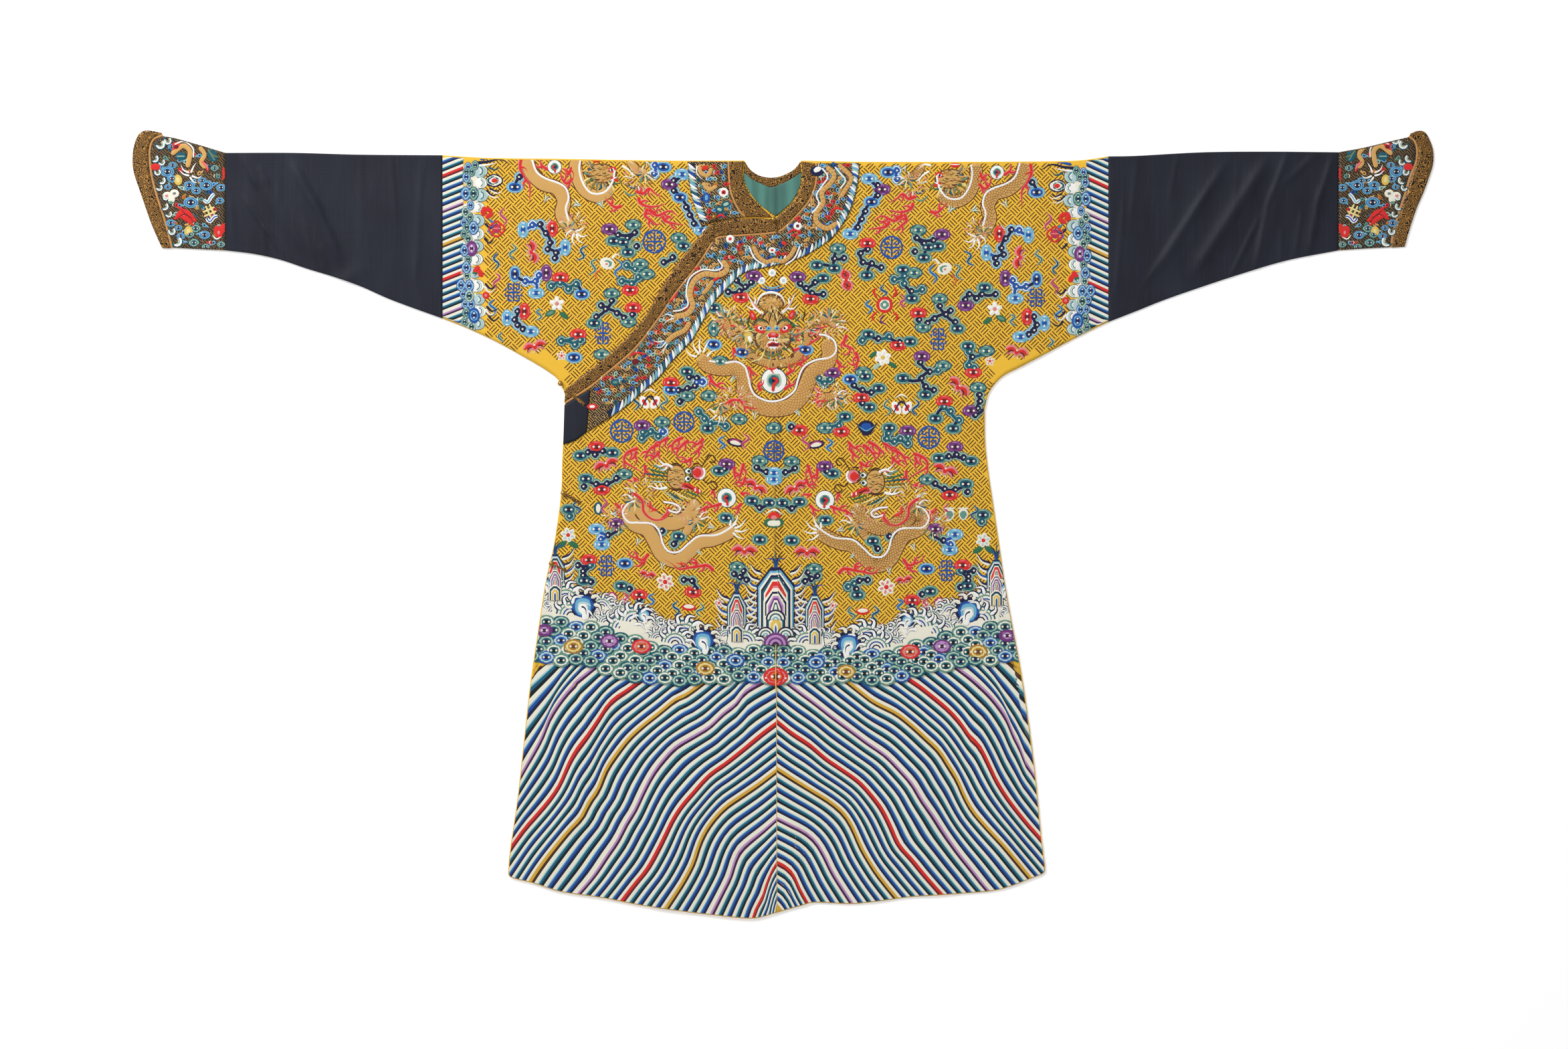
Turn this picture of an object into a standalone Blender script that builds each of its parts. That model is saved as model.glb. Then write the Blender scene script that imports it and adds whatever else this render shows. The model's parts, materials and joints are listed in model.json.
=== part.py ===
# Chinese court robe of the Qing kind, laid flat on its back with the sleeves straight out.
# +X is the wearer's left, +Y points to the collar, +Z is up, and the surface it lies on is Z = 0.
# Every cloth piece is an open grid laid along its cut edges, folded where the real cloth is folded
# (shoulder line, sleeve edges), and given its thickness by a Solidify modifier.

import math

import bmesh
import bpy
import numpy as np

MM = 0.001

# ---- cloth ---------------------------------------------------------------------------------
CLOTH = 1.2            # thickness of every cloth wall
LAYER_GAP = 0.5        # air between two layers that lie on each other
SEAM_GAP = 0.3         # gap between two pieces sewn edge to edge
CUFF_GAP = 0.6         # the same along the slanting cuff piping
PITCH = CLOTH + LAYER_GAP
BACK_Z = CLOTH / 2     # middle of the back layer, which lies on the surface
FRONT_Z = BACK_Z + PITCH
PIPING_WIDTH = 3.2
PIPING_HEIGHT = 1.4
LINING = 1.0

# ---- the overlap lifts the cloth beside the centre seam ------------------------------------
LIFT_WIDTH = 70.0      # the left front comes down over this width
LIFT_TOP = (525.0, 605.0)   # the lift fades out between these heights

ORIGIN_SHIFT = (-0.305, 0.198, 0.027)   # brings the origin under the middle of the laid-out robe

# ---- cut lines, each row x_mm, y_mm ---------------------------------------------------------
SEAM_KNEE = (-12, 215)      # where the centre seam bends a little, level with the underarms

LEFT_HEM = [(-10, -656), (11, -650), (33, -644), (56, -639), (124, -641), (214, -630), (260, -627),
            (350, -620), (384, -612), (418, -599), (441, -589), (443, -575)]
LEFT_SIDE = [(443, -575), (437, -527), (426, -414), (411, -301), (400, -233), (387, -165), (375, -97),
             (365, -29), (355, 38), (348, 84), (342, 140), (341, 195)]
LEFT_UPPER_SLEEVE_LOW = [(341, 195), (346, 217), (355, 233), (373, 251), (402, 266), (442, 287),
                         (485, 310), (531, 333), (550, 342)]
LEFT_SHOULDER = [(31, 615), (146, 613), (327, 613), (463, 614), (508, 616), (550, 622)]
LEFT_SLEEVE_LOW = [(550, 342), (599, 361), (644, 379), (704, 400), (774, 423), (852, 446), (939, 463)]
LEFT_SLEEVE_TOP = [(550, 622), (599, 623), (712, 629), (825, 630), (939, 629)]
LEFT_CUFF_LOW = [(939, 463), (983, 466), (1028, 468)]
LEFT_CUFF_TOP = [(939, 629), (983, 637), (1029, 648), (1058, 656)]
LEFT_CUFF_LINE = [(1028, 468), (1032, 495), (1041, 526), (1052, 559), (1061, 589), (1070, 612),
                  (1072, 632), (1068, 647), (1058, 656)]
LEFT_CUFF_MOUTH = [(1051, 469), (1057, 491), (1064, 513), (1072, 536), (1082, 559), (1093, 589),
                   (1099, 610), (1099, 632), (1093, 650), (1085, 663), (1073, 665), (1061, 660.2)]

RIGHT_HEM = [(-10, -656), (-34, -663), (-57, -666), (-102, -662), (-170, -654), (-238, -644),
             (-306, -631), (-374, -621), (-419, -607), (-460, -596), (-464, -584)]
RIGHT_SIDE = [(-464, -584), (-461, -550), (-448, -459), (-438, -369), (-428, -278), (-415, -188),
              (-401, -97), (-386, -29), (-375, 50), (-373, 106), (-370, 163), (-368, 219)]
RIGHT_UPPER_SLEEVE_LOW = [(-368, 219), (-374, 235), (-383, 248), (-407, 265), (-445, 287),
                          (-487, 310), (-532, 331), (-575, 348)]
RIGHT_SHOULDER = [(-65, 615), (-193, 615), (-374, 618), (-464, 619), (-510, 620), (-575, 624)]
RIGHT_SLEEVE_LOW = [(-575, 348), (-623, 365), (-668, 382), (-713, 402), (-758, 418), (-804, 432),
                    (-849, 447), (-894, 457), (-942, 463)]
RIGHT_SLEEVE_TOP = [(-575, 624), (-713, 625), (-826, 628), (-942, 628)]
RIGHT_CUFF_LOW = [(-942, 463), (-985, 465), (-1032, 467)]
RIGHT_CUFF_TOP = [(-942, 628), (-985, 641), (-1028, 653), (-1048, 658)]
RIGHT_CUFF_LINE = [(-1032, 467), (-1043, 509), (-1052, 537), (-1059, 559), (-1066, 586),
                   (-1069, 607), (-1070, 632), (-1064, 650), (-1048, 658)]
RIGHT_CUFF_MOUTH = [(-1049, 467), (-1059, 489), (-1069, 513), (-1086, 562), (-1097, 595),
                    (-1099, 618), (-1097, 638), (-1090, 657), (-1080, 665), (-1066, 665), (-1050, 661.5)]

LEFT_FRONT_NECK = [(-13, 518), (-5, 523), (5, 532), (15, 541), (24, 555), (31, 572), (33, 595), (31, 615)]
RIGHT_FRONT_NECK = [(-13, 520), (-17, 522), (-37, 536), (-51, 550), (-60, 564), (-66, 578), (-68, 596),
                    (-65, 615)]
LEFT_BACK_NECK = [(-20, 586), (-5, 588), (11, 595), (22, 603), (31, 615)]
RIGHT_BACK_NECK = [(-20, 586), (-35, 588), (-48, 594), (-58, 603), (-65, 615)]
FACING_LOW = [(-66, 595), (-51, 583), (-34, 575), (-20, 570), (-5, 575), (11, 582), (31, 595)]

# sections across the collar: edge of the cloth, piping, outer edge of the dark band (x, y of each)
COLLAR_SECTIONS = [(31, 615, 56, 612, 129, 612), (33, 595, 57, 590, 129, 593),
                   (31, 572, 54, 569, 125, 567), (24, 555, 46, 549, 117, 538),
                   (15, 541, 33, 532, 103, 509), (5, 532, 19, 517, 82, 483),
                   (-5, 523, 6, 504, 51, 461), (-15, 516, -7, 495, 22, 447),
                   (-37, 517, -30, 491, -6, 439), (-59, 517, -59, 489, -32, 433),
                   (-84, 515, -87, 487, -53, 429), (-105, 511, -110, 484, -71, 421),
                   (-123, 506, -121, 473, -82, 411), (-141, 487, -131, 457, -93, 400),
                   (-156, 469, -141, 442, -105, 388), (-170, 451, -153, 426, -116, 375),
                   (-186, 430, -169, 406, -127, 357), (-202, 404, -184, 387, -139, 336),
                   (-217, 379, -200, 362, -152, 313), (-231, 353, -218, 337, -169, 294),
                   (-249, 331, -237, 312, -188, 274), (-271, 308, -257, 290, -209, 248),
                   (-294, 287, -281, 269, -235, 225), (-314, 271, -303, 251, -261, 202),
                   (-336, 253, -325, 233, -292, 180), (-367, 229, -368, 205, -329, 157)]
NECK_END = 7                                # the row at the centre front, where the neck edging ends
BAND_END = [(-323.5, 230), (-329, 157)]     # where the dark band stops beside the side facing
BAND_STATIONS = 36                          # stations of the overlap stretch before that end
FACING_TOP = [(-369, 201.5), (-349, 214.5), (-325, 228.5)]
FACING_BOTTOM = [(-371, 135), (-350, 142), (-331, 156)]
INNER_OUTER = [(-137, 502), (-143, 519), (-151, 542), (-157, 566), (-160, 590), (-161, 613)]
INNER_PIPING = [(-63, 519.5), (-73, 529), (-83, 548), (-89, 567), (-91, 590), (-92, 613)]
INNER_EDGE = [(-19, 520.5), (-37, 536), (-51, 550), (-60, 564), (-66, 578), (-68, 596), (-66, 613)]
INNER_LOW = [(-140, 498), (-124, 509), (-105, 513), (-84, 517), (-59, 519.3), (-37, 519.3), (-19, 519)]
LINING_LOW = [(-66, 589), (-64, 578), (-58, 565), (-49.5, 552), (-36, 538), (-17, 524.5), (-13, 521.5),
              (-5.5, 525.5), (3.5, 534), (13, 543), (22, 556.5), (29, 572.5), (31, 589)]

# ---- largest soft folds: x0, y0, x1, y1, half width, height --------------------------------
FOLDS = [(-899, 601, -812, 470, 13, 2.2), (-826, 596, -758, 452, 17, 3.2), (-785, 372, -713, 430, 15, 1.8),
         (-700, 590, -690, 470, 20, 1.4), (735, 600, 650, 430, 18, 2.6), (815, 606, 700, 436, 18, 3.0),
         (851, 620, 803, 440, 12, 2.4), (925, 612, 888, 470, 12, 2.2), (590, 540, 575, 400, 20, 1.6),
         (12, -500, 36, -640, 16, 3.0), (-150, -420, -196, -648, 30, 2.2), (210, -400, 262, -626, 30, 2.2),
         (-330, -300, -392, -600, 28, 2.0), (330, -300, 385, -600, 28, 2.0)]
FOLD_END = 60.0        # a fold dies away over this length at each end

# ---- ball buttons, named by place: x, y, cloth layers between the front and the ball,
# ---- strip x0, y0, x1, y1, cloth layers between the front and the strip ---------------------
BALL_RADIUS = 4.5
STRIP_WIDTH = 5.5
STRIP_HEIGHT = 1.6
TRIM_GAP = 0.5
BUTTONS = [("neck", -16, 515, 2, -14, 507.5, -10, 494, 2),
           ("corner", -116, 519, 1, -117, 508, -118, 478, 2),
           ("underarm", -376, 238, 0, -364, 226, -335, 202, 2),
           ("side_upper", -371, 53, 1, -366, 50, -342, 36, 1),
           ("side_lower", -391, -66, 1, -385, -69, -364, -80, 1)]

MATERIALS = {          # colour, roughness, metallic
    "yellow_silk": ((0.62, 0.38, 0.05), 0.62, 0.0),
    "navy_silk": ((0.030, 0.032, 0.055), 0.5, 0.0),
    "gold_brocade": ((0.30, 0.19, 0.08), 0.45, 0.3),
    "dark_band": ((0.09, 0.07, 0.06), 0.6, 0.0),
    "orange_piping": ((0.52, 0.24, 0.09), 0.5, 0.0),
    "turquoise_lining": ((0.10, 0.26, 0.27), 0.5, 0.0),
    "gilt": ((0.62, 0.40, 0.14), 0.3, 1.0),
}


def make_material(name):
    colour, roughness, metallic = MATERIALS[name]
    material = bpy.data.materials.new(name)
    material.use_nodes = True
    shader = material.node_tree.nodes["Principled BSDF"]
    shader.inputs["Base Color"].default_value = (*colour, 1.0)
    shader.inputs["Roughness"].default_value = roughness
    shader.inputs["Metallic"].default_value = metallic
    return material


# ---- lines -----------------------------------------------------------------------------------
STEPS = 12             # points on a smooth line for each row of its table


def smooth(rows):
    """Dense smooth line through the rows (Catmull-Rom), any number of columns."""
    p = np.asarray(rows, float)
    p = np.vstack([2 * p[0] - p[1], p, 2 * p[-1] - p[-2]])
    t = np.linspace(0, 1, STEPS, endpoint=False)[:, None]
    parts = []
    for a, b, c, d in zip(p[:-3], p[1:-2], p[2:-1], p[3:]):
        parts.append(0.5 * (2 * b + (c - a) * t + (2 * a - 5 * b + 4 * c - d) * t ** 2
                            + (3 * b - a - 3 * c + d) * t ** 3))
    return np.vstack(parts + [p[-2:-1]])


def along(rows, where):
    """Points at fractions of the length of the smooth line through rows."""
    return sample(smooth(rows), where)


def sample(line, where):
    """Points at fractions of the length of a line, measured on its first two columns."""
    step = np.hypot(*np.diff(line[:, :2], axis=0).T)
    length = np.concatenate([[0], np.cumsum(step)])
    where = np.asarray(where) * length[-1]
    return np.stack([np.interp(where, length, column) for column in line.T], axis=1)


def shifted(rows, distance):
    """The rows moved sideways by a distance, to the left of the direction they run in."""
    p = np.asarray(rows, float)
    d = np.gradient(p, axis=0)
    d /= np.linalg.norm(d, axis=1)[:, None]
    return p + distance * np.stack([-d[:, 1], d[:, 0]], axis=1)


def beside(rows, distance):
    """Sampler of the line beside the smooth line through rows, at fractions of the length of that line."""
    line = smooth(rows)
    line = np.hstack([line, shifted(line, distance)])
    return lambda where: sample(line, where)[:, 2:]


def patch(low, top, start, end):
    """Grid between four edges (Coons): low and top run along u, start and end along v."""
    u = np.linspace(0, 1, len(low))[:, None, None]
    v = np.linspace(0, 1, len(start))[None, :, None]
    low, top = low[:, None, :], top[:, None, :]
    start, end = start[None, :, :], end[None, :, :]
    corners = ((1 - u) * (1 - v) * low[:1] + u * (1 - v) * low[-1:] + (1 - u) * v * top[:1]
               + u * v * top[-1:])
    return (1 - v) * low + v * top + (1 - u) * start + u * end - corners


def even(count):
    return np.linspace(0, 1, count + 1)


def straight(a, b, where):
    return np.asarray(a, float) + (np.asarray(b, float) - np.asarray(a, float)) * np.asarray(where)[:, None]


# ---- height of the cloth ----------------------------------------------------------------------
def ease(t):
    t = np.clip(t, 0, 1)
    return t * t * (3 - 2 * t)


def lift(x, y):
    """1 where the overlap lies below the trimming, easing to 0 on the left front and at the shoulder."""
    return (1 - ease((x + 13) / LIFT_WIDTH)) * (1 - ease((y - LIFT_TOP[0]) / (LIFT_TOP[1] - LIFT_TOP[0])))


def folds(x, y):
    """Sum of the soft ridges: each is round across and dies away at its ends."""
    height = np.zeros_like(x)
    for x0, y0, x1, y1, width, top in FOLDS:
        length = math.hypot(x1 - x0, y1 - y0)
        dx, dy = (x1 - x0) / length, (y1 - y0) / length
        along_fold = (x - x0) * dx + (y - y0) * dy
        across = (x - x0) * dy - (y - y0) * dx
        ends = ease((along_fold + FOLD_END / 2) / FOLD_END) * ease((length + FOLD_END / 2 - along_fold) / FOLD_END)
        height += top * np.exp(-(across / width) ** 2) * ends
    return height


def front_height(points):
    """Middle of the left front, sleeves and cuffs."""
    x, y = points[..., 0], points[..., 1]
    return FRONT_Z + PITCH * lift(x, y) + folds(x, y)


def flat_height(level):
    return lambda points: np.full(points.shape[:-1], level)


# ---- cloth pieces ---------------------------------------------------------------------------------
def sheet(name, points, material, thickness=CLOTH, keep=None, ring=False):
    """Cloth piece from a grid of points [column, row, xyz] in mm, thickened equally to both sides."""
    columns, rows = points.shape[0], points.shape[1]
    mesh = bpy.data.meshes.new(name)
    bm = bmesh.new()
    bmesh.ops.create_grid(bm, x_segments=rows - 1, y_segments=columns - 1, size=0.5)
    bm.verts.ensure_lookup_table()
    for vert, co in zip(bm.verts, (points + ORIGIN_SHIFT).reshape(-1, 3) * MM):
        vert.co = co
    if keep is not None:
        cut = [face for face in bm.faces
               if not keep(min(v.index // rows for v in face.verts), min(v.index % rows for v in face.verts))]
        bmesh.ops.delete(bm, geom=cut, context="FACES")
    if ring:
        bmesh.ops.remove_doubles(bm, verts=bm.verts, dist=0.00001)
    bm.to_mesh(mesh)
    bm.free()
    mesh.shade_smooth()
    piece = bpy.data.objects.new(name, mesh)
    piece.data.materials.append(materials[material])
    robe.objects.link(piece)
    solid = piece.modifiers.new("Thickness", "SOLIDIFY")
    solid.thickness = thickness * MM
    solid.offset = 0.0
    solid.use_even_offset = True
    return piece


def with_height(grid, height):
    return np.concatenate([grid, height(grid)[..., None]], axis=2)


def fold_line(edge, front, back):
    """Rows round a folded edge between two grids whose last rows end at it. The last rows move in along
    their columns by the fold's radius, and three rows go round it."""
    radius = PITCH / 2
    run = np.gradient(edge, axis=0)
    run /= np.linalg.norm(run, axis=1)[:, None]
    normal = np.stack([-run[:, 1], run[:, 0]], axis=1)
    out = edge - front[:, -2, :2]
    out /= np.linalg.norm(out, axis=1)[:, None]
    out /= np.maximum(abs((out * normal).sum(axis=1)), 0.5)[:, None]
    base = edge - out * (radius + CLOTH / 2)
    front[:, -1, :2] = base
    back[:, -1, :2] = base
    middle = (front[:, -1, 2] + back[:, -1, 2]) / 2
    reach = (front[:, -1, 2] - back[:, -1, 2]) / 2
    rows = []
    for angle in (45, 0, -45):
        a = math.radians(angle)
        rows.append(np.column_stack([base + out * radius * math.cos(a), middle + reach * math.sin(a)]))
    return np.stack(rows, axis=1)


BODY_TORSO = np.array([0, 0.04, 0.08, 0.12, 0.16, 0.2, 0.24, 0.32, 0.41, 0.5, 0.6, 0.7, 0.8, 0.89, 0.96, 1.0])
NECK_COLUMNS = 6       # the first columns end at the neck edge
SLEEVE_COLUMNS = 7
ROWS_LOW = (13, 6)     # rows from hem to underarm, front and back
ROWS_HIGH = (6, 3)     # rows from underarm to shoulder
CUFF_ROWS = (14, 8)    # rows across the cuff, front and back


def half_grid(hem, side, low, shoulder, neck, rows_low, rows_high):
    """Grid of one layer of a body half: hem to underarm, underarm to neck and shoulder, and upper sleeve."""
    corner, centre = np.array(side[-1], float), np.array(SEAM_KNEE, float)
    armhole_top = along(shoulder, even(60))
    armhole_top = armhole_top[np.argmin(abs(armhole_top[:, 0] - corner[0]))]
    outer = [p for p in shoulder if abs(p[0]) > abs(armhole_top[0]) + 20]
    inner = [p for p in shoulder if abs(p[0]) < abs(armhole_top[0]) - 20]
    t = BODY_TORSO
    split = t[NECK_COLUMNS]
    level = straight(centre, corner, t)
    top = np.vstack([along(neck, t[:NECK_COLUMNS] / split),
                     along(inner + [tuple(armhole_top)], (t[NECK_COLUMNS:] - split) / (1 - split))])
    lower = patch(along(hem, t), level, straight(hem[0], centre, even(rows_low)),
                  along(side, even(rows_low)))
    armhole = straight(corner, armhole_top, even(rows_high))
    upper = patch(level, top, straight(centre, neck[0], even(rows_high)), armhole)
    across = even(SLEEVE_COLUMNS) ** 1.3
    sleeve = patch(along(low, across), along([tuple(armhole_top)] + outer, across), armhole,
                   straight(low[-1], shoulder[-1], even(rows_high)))
    torso = np.concatenate([lower, upper[:, 1:]], axis=1)
    torso[0, :, 0] += math.copysign(SEAM_GAP / 2, corner[0])
    filler = np.repeat(sleeve[:, :1], rows_low, axis=1)
    return np.concatenate([torso, np.concatenate([filler, sleeve], axis=1)[1:]], axis=0)


def body_half(name, hem, side, low, shoulder, front_neck, back_neck, height):
    """Front and back of one half of the body in one folded length of cloth."""
    front = with_height(half_grid(hem, side, low, shoulder, front_neck, ROWS_LOW[0], ROWS_HIGH[0]), height)
    back = with_height(half_grid(hem, side, low, shoulder, back_neck, ROWS_LOW[1], ROWS_HIGH[1]),
                       flat_height(BACK_Z))
    fold = fold_line(front[NECK_COLUMNS:, -1, :2].copy(), front[NECK_COLUMNS:], back[NECK_COLUMNS:])
    fold = np.concatenate([np.repeat(fold[:1], NECK_COLUMNS, axis=0), fold])
    points = np.concatenate([back, fold[:, ::-1], front[:, ::-1]], axis=1)
    torso = len(BODY_TORSO) - 1
    first_fold = back.shape[1] - 1
    last_low = points.shape[1] - 1 - ROWS_LOW[0]

    def keep(column, row):
        in_fold = first_fold <= row < first_fold + 4
        below_underarm = row < ROWS_LOW[1] or row >= last_low
        return not (in_fold and column < NECK_COLUMNS) and not (column >= torso and below_underarm)

    return sheet(name, points, "yellow_silk", keep=keep)


def tube(name, low, top, start, end, columns, material, rows=(6, 3)):
    """Flattened tube with two folded edges: low and top run along it, and start and end are samplers of
    the lines across it."""
    u = even(columns)
    grids = []
    for count in rows:
        v = even(count)
        grids.append(patch(along(low, u), along(top, u), start(v), end(v)))
    front = with_height(grids[0], front_height)
    back = with_height(grids[1], flat_height(BACK_Z))
    top_fold = fold_line(front[:, -1, :2].copy(), front, back)
    front_low, back_low = front[:, ::-1], back[:, ::-1]
    low_fold = fold_line(front_low[:, -1, :2].copy(), front_low, back_low)
    points = np.concatenate([front, top_fold, back[:, ::-1], low_fold[:, ::-1], front[:, :1]], axis=1)
    return sheet(name, points, material, ring=True)


def strip(name, one, two, height, material, rows=1, thickness=CLOTH):
    """Strip of cloth between two lines with matching points."""
    v = even(rows)[None, :, None]
    return sheet(name, with_height(one[:, None] * (1 - v) + two[:, None] * v, height), material, thickness)


def collar_stations(first, last, count, trim):
    """Points across the collar at even stations along its piping, from one row of the table to another,
    shortened by trim in mm at its ends: piping, cloth edge, end of the brocade, the two edges of the
    piping, start of the dark band, and its outer edge."""
    table = np.asarray(COLLAR_SECTIONS, float)
    edge, piping, outer = table[:, 0:2], table[:, 2:4], table[:, 4:6]
    across = outer - piping
    across /= np.linalg.norm(across, axis=1)[:, None]
    half, clear = across * PIPING_WIDTH / 2, across * (PIPING_WIDTH / 2 + SEAM_GAP)
    line = smooth(np.hstack([piping, edge, piping - clear, piping - half, piping + half, piping + clear, outer]))
    length = np.concatenate([[0], np.cumsum(np.hypot(*np.diff(line[:, :2], axis=0).T))])
    where = np.linspace(length[STEPS * first] + trim[0], length[STEPS * last] - trim[1], count + 1)
    return sample(line, where / length[-1]).reshape(count + 1, -1, 2).swapaxes(0, 1)


def raised(height, layers=1, thickness=CLOTH):
    """Height of a piece that lies this many layers above another, measured to its middle."""
    return lambda points: height(points) + PITCH * layers + (thickness - CLOTH) / 2


def add_button(place, x, y, layers, x0, y0, x1, y1, strip_layers):
    """Gilt ball on the cloth, and the flat cloth strip that holds it."""
    top = FRONT_Z + CLOTH / 2 + TRIM_GAP
    centre = np.add((x, y, top + layers * PITCH + BALL_RADIUS), ORIGIN_SHIFT) * MM
    bpy.ops.mesh.primitive_uv_sphere_add(segments=12, ring_count=8, radius=BALL_RADIUS * MM, location=centre)
    ball = bpy.context.object
    ball.name = "button_" + place
    ball.data.shade_smooth()
    ball.data.materials.append(materials["gilt"])
    for collection in list(ball.users_collection):
        collection.objects.unlink(ball)
    robe.objects.link(ball)
    line = np.array([(x0, y0), (x1, y1)], float)
    side = shifted(line, STRIP_WIDTH / 2) - line
    line = straight(*line, even(5))
    strip("loop_" + place, line - side[0], line + side[0],
          flat_height(top + strip_layers * PITCH + STRIP_HEIGHT / 2), "gold_brocade", 2, STRIP_HEIGHT)


# ---- build ---------------------------------------------------------------------------------------------
for leftover in list(bpy.data.objects):
    bpy.data.objects.remove(leftover, do_unlink=True)

robe = bpy.data.collections.new("dragon_robe")
bpy.context.scene.collection.children.link(robe)
materials = {name: make_material(name) for name in MATERIALS}

# body
body_half("left_half", LEFT_HEM, LEFT_SIDE, LEFT_UPPER_SLEEVE_LOW, LEFT_SHOULDER, LEFT_FRONT_NECK,
          LEFT_BACK_NECK, front_height)
body_half("right_half", RIGHT_HEM, RIGHT_SIDE, RIGHT_UPPER_SLEEVE_LOW, RIGHT_SHOULDER, RIGHT_FRONT_NECK,
          RIGHT_BACK_NECK, flat_height(FRONT_Z))

columns, rows = even(16), even(24)
cut_edge = [(-13, 517)] + [row[:2] for row in COLLAR_SECTIONS[NECK_END + 1:-1]] + [(-367.5, 229)]
overlap = patch(along(RIGHT_HEM, columns), along(cut_edge, columns),
                straight(RIGHT_HEM[0], cut_edge[0], rows), along(RIGHT_SIDE + [cut_edge[-1]], rows))
overlap[0, :, 0] -= SEAM_GAP / 2
sheet("right_overlap", with_height(overlap, front_height), "yellow_silk")

# sleeves and horse-hoof cuffs
for side, sign, low, top, cuff_low, cuff_top, line, mouth in (
        ("left", 1, LEFT_SLEEVE_LOW, LEFT_SLEEVE_TOP, LEFT_CUFF_LOW, LEFT_CUFF_TOP, LEFT_CUFF_LINE,
         LEFT_CUFF_MOUTH),
        ("right", -1, RIGHT_SLEEVE_LOW, RIGHT_SLEEVE_TOP, RIGHT_CUFF_LOW, RIGHT_CUFF_TOP, RIGHT_CUFF_LINE,
         RIGHT_CUFF_MOUTH)):
    gap = sign * SEAM_GAP / 2
    step = np.array([gap, 0])
    low, top, cuff_low, cuff_top = (np.array(rows, float) for rows in (low, top, cuff_low, cuff_top))
    low[0] += 2 * step
    top[0] += 2 * step
    low[-1] -= step
    top[-1] -= step
    cuff_low[0] += step
    cuff_top[0] += step
    tube(side + "_sleeve", low, top, beside([low[0], top[0]], 0), beside([low[-1], top[-1]], 0), 16,
         "navy_silk")
    bed = -sign * PIPING_WIDTH / 2
    cuff_end, inside, outside, binding = (
        beside(line, d) for d in (-bed + sign * CUFF_GAP, -bed, bed, bed - sign * CUFF_GAP))
    ends = (0.0, 1.0)
    tube(side + "_cuff", np.vstack([cuff_low[:-1], cuff_end(ends)[:1]]),
         np.vstack([cuff_top[:-1], cuff_end(ends)[1:]]), beside([cuff_low[0], cuff_top[0]], 0), cuff_end, 4,
         "dark_band", CUFF_ROWS)
    tube(side + "_cuff_piping", [inside(ends)[0], outside(ends)[0]], [inside(ends)[1], outside(ends)[1]],
         inside, outside, 1, "orange_piping", CUFF_ROWS)
    tube(side + "_cuff_binding", [binding(ends)[0], mouth[0]], [binding(ends)[1], mouth[-1]],
         binding, beside(mouth, 0), 2, "gold_brocade", CUFF_ROWS)

# collar
last_row = len(COLLAR_SECTIONS) - 1
stretches = (("neck", collar_stations(0, NECK_END, 18, (2.0, SEAM_GAP / 2))),
             ("overlap", collar_stations(NECK_END, last_row, 40, (SEAM_GAP / 2, 0.0))))
for name, (_, edge, brocade_end, inside, outside, _, _) in stretches:
    strip(name + "_binding", edge, brocade_end, raised(front_height), "gold_brocade", 2)
    strip(name + "_piping", inside, outside, raised(front_height, thickness=PIPING_HEIGHT), "orange_piping",
          thickness=PIPING_HEIGHT)
neck, overlap_run = (stations[5:] for _, stations in stretches)
band = np.concatenate([neck, overlap_run[:, :BAND_STATIONS], np.reshape(BAND_END, (2, 1, 2))], axis=1)
strip("collar_band", band[0], band[1], raised(front_height), "dark_band", 3)
side_facing = patch(along(FACING_BOTTOM, even(3)), along(FACING_TOP, even(3)),
                    straight(FACING_BOTTOM[0], FACING_TOP[0], even(4)),
                    straight(FACING_BOTTOM[-1], FACING_TOP[-1], even(4)))
sheet("side_facing", with_height(side_facing, raised(front_height)), "navy_silk")

# inner front's collar, trimmed along the overlap's edge
inner_level = flat_height(FRONT_Z + PITCH)
half = PIPING_WIDTH / 2
cut = smooth(INNER_LOW)
for name, start, end, count, material in (
        ("inner_collar_band", INNER_OUTER, shifted(INNER_PIPING, half + SEAM_GAP), 6, "dark_band"),
        ("inner_neck_piping", shifted(INNER_PIPING, half), shifted(INNER_PIPING, -half), 1, "orange_piping"),
        ("inner_neck_binding", shifted(INNER_PIPING, -half - SEAM_GAP), INNER_EDGE, 4, "gold_brocade")):
    start, end = along(start, even(10)), along(end, even(10))
    for line in (start, end):
        line[0, 1] = np.interp(line[0, 0], cut[:, 0], cut[:, 1])
    low = straight(start[0], end[0], even(count))
    low[:, 1] = np.interp(low[:, 0], cut[:, 0], cut[:, 1])
    grid = patch(low, straight(start[-1], end[-1], even(count)), start, end)
    sheet(name, with_height(grid, inner_level), material)

# inside the back neck
facing_low = along(FACING_LOW, even(12))
back_neck = along(RIGHT_BACK_NECK[:0:-1] + LEFT_BACK_NECK, 0.04 + 0.92 * even(12))
lining_level = flat_height(CLOTH + SEAM_GAP + LINING / 2)
crescent = patch(facing_low, back_neck, straight(facing_low[0], back_neck[0], even(2)),
                 straight(facing_low[-1], back_neck[-1], even(2)))
sheet("back_neck_facing", with_height(crescent, lining_level), "gold_brocade", LINING)
lining_low = along(LINING_LOW, even(20))
lining_top = along(shifted(FACING_LOW, -SEAM_GAP), even(20))
lining = patch(lining_low, lining_top, straight(lining_low[0], lining_top[0], even(5)),
               straight(lining_low[-1], lining_top[-1], even(5)))
sheet("neck_lining", with_height(lining, lining_level), "turquoise_lining", LINING)

for row in BUTTONS:
    add_button(*row)
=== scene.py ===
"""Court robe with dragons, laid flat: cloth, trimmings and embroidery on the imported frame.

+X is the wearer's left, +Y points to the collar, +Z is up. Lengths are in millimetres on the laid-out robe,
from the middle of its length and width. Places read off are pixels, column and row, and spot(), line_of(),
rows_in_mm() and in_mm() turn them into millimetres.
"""
import json
import math
import re

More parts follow.
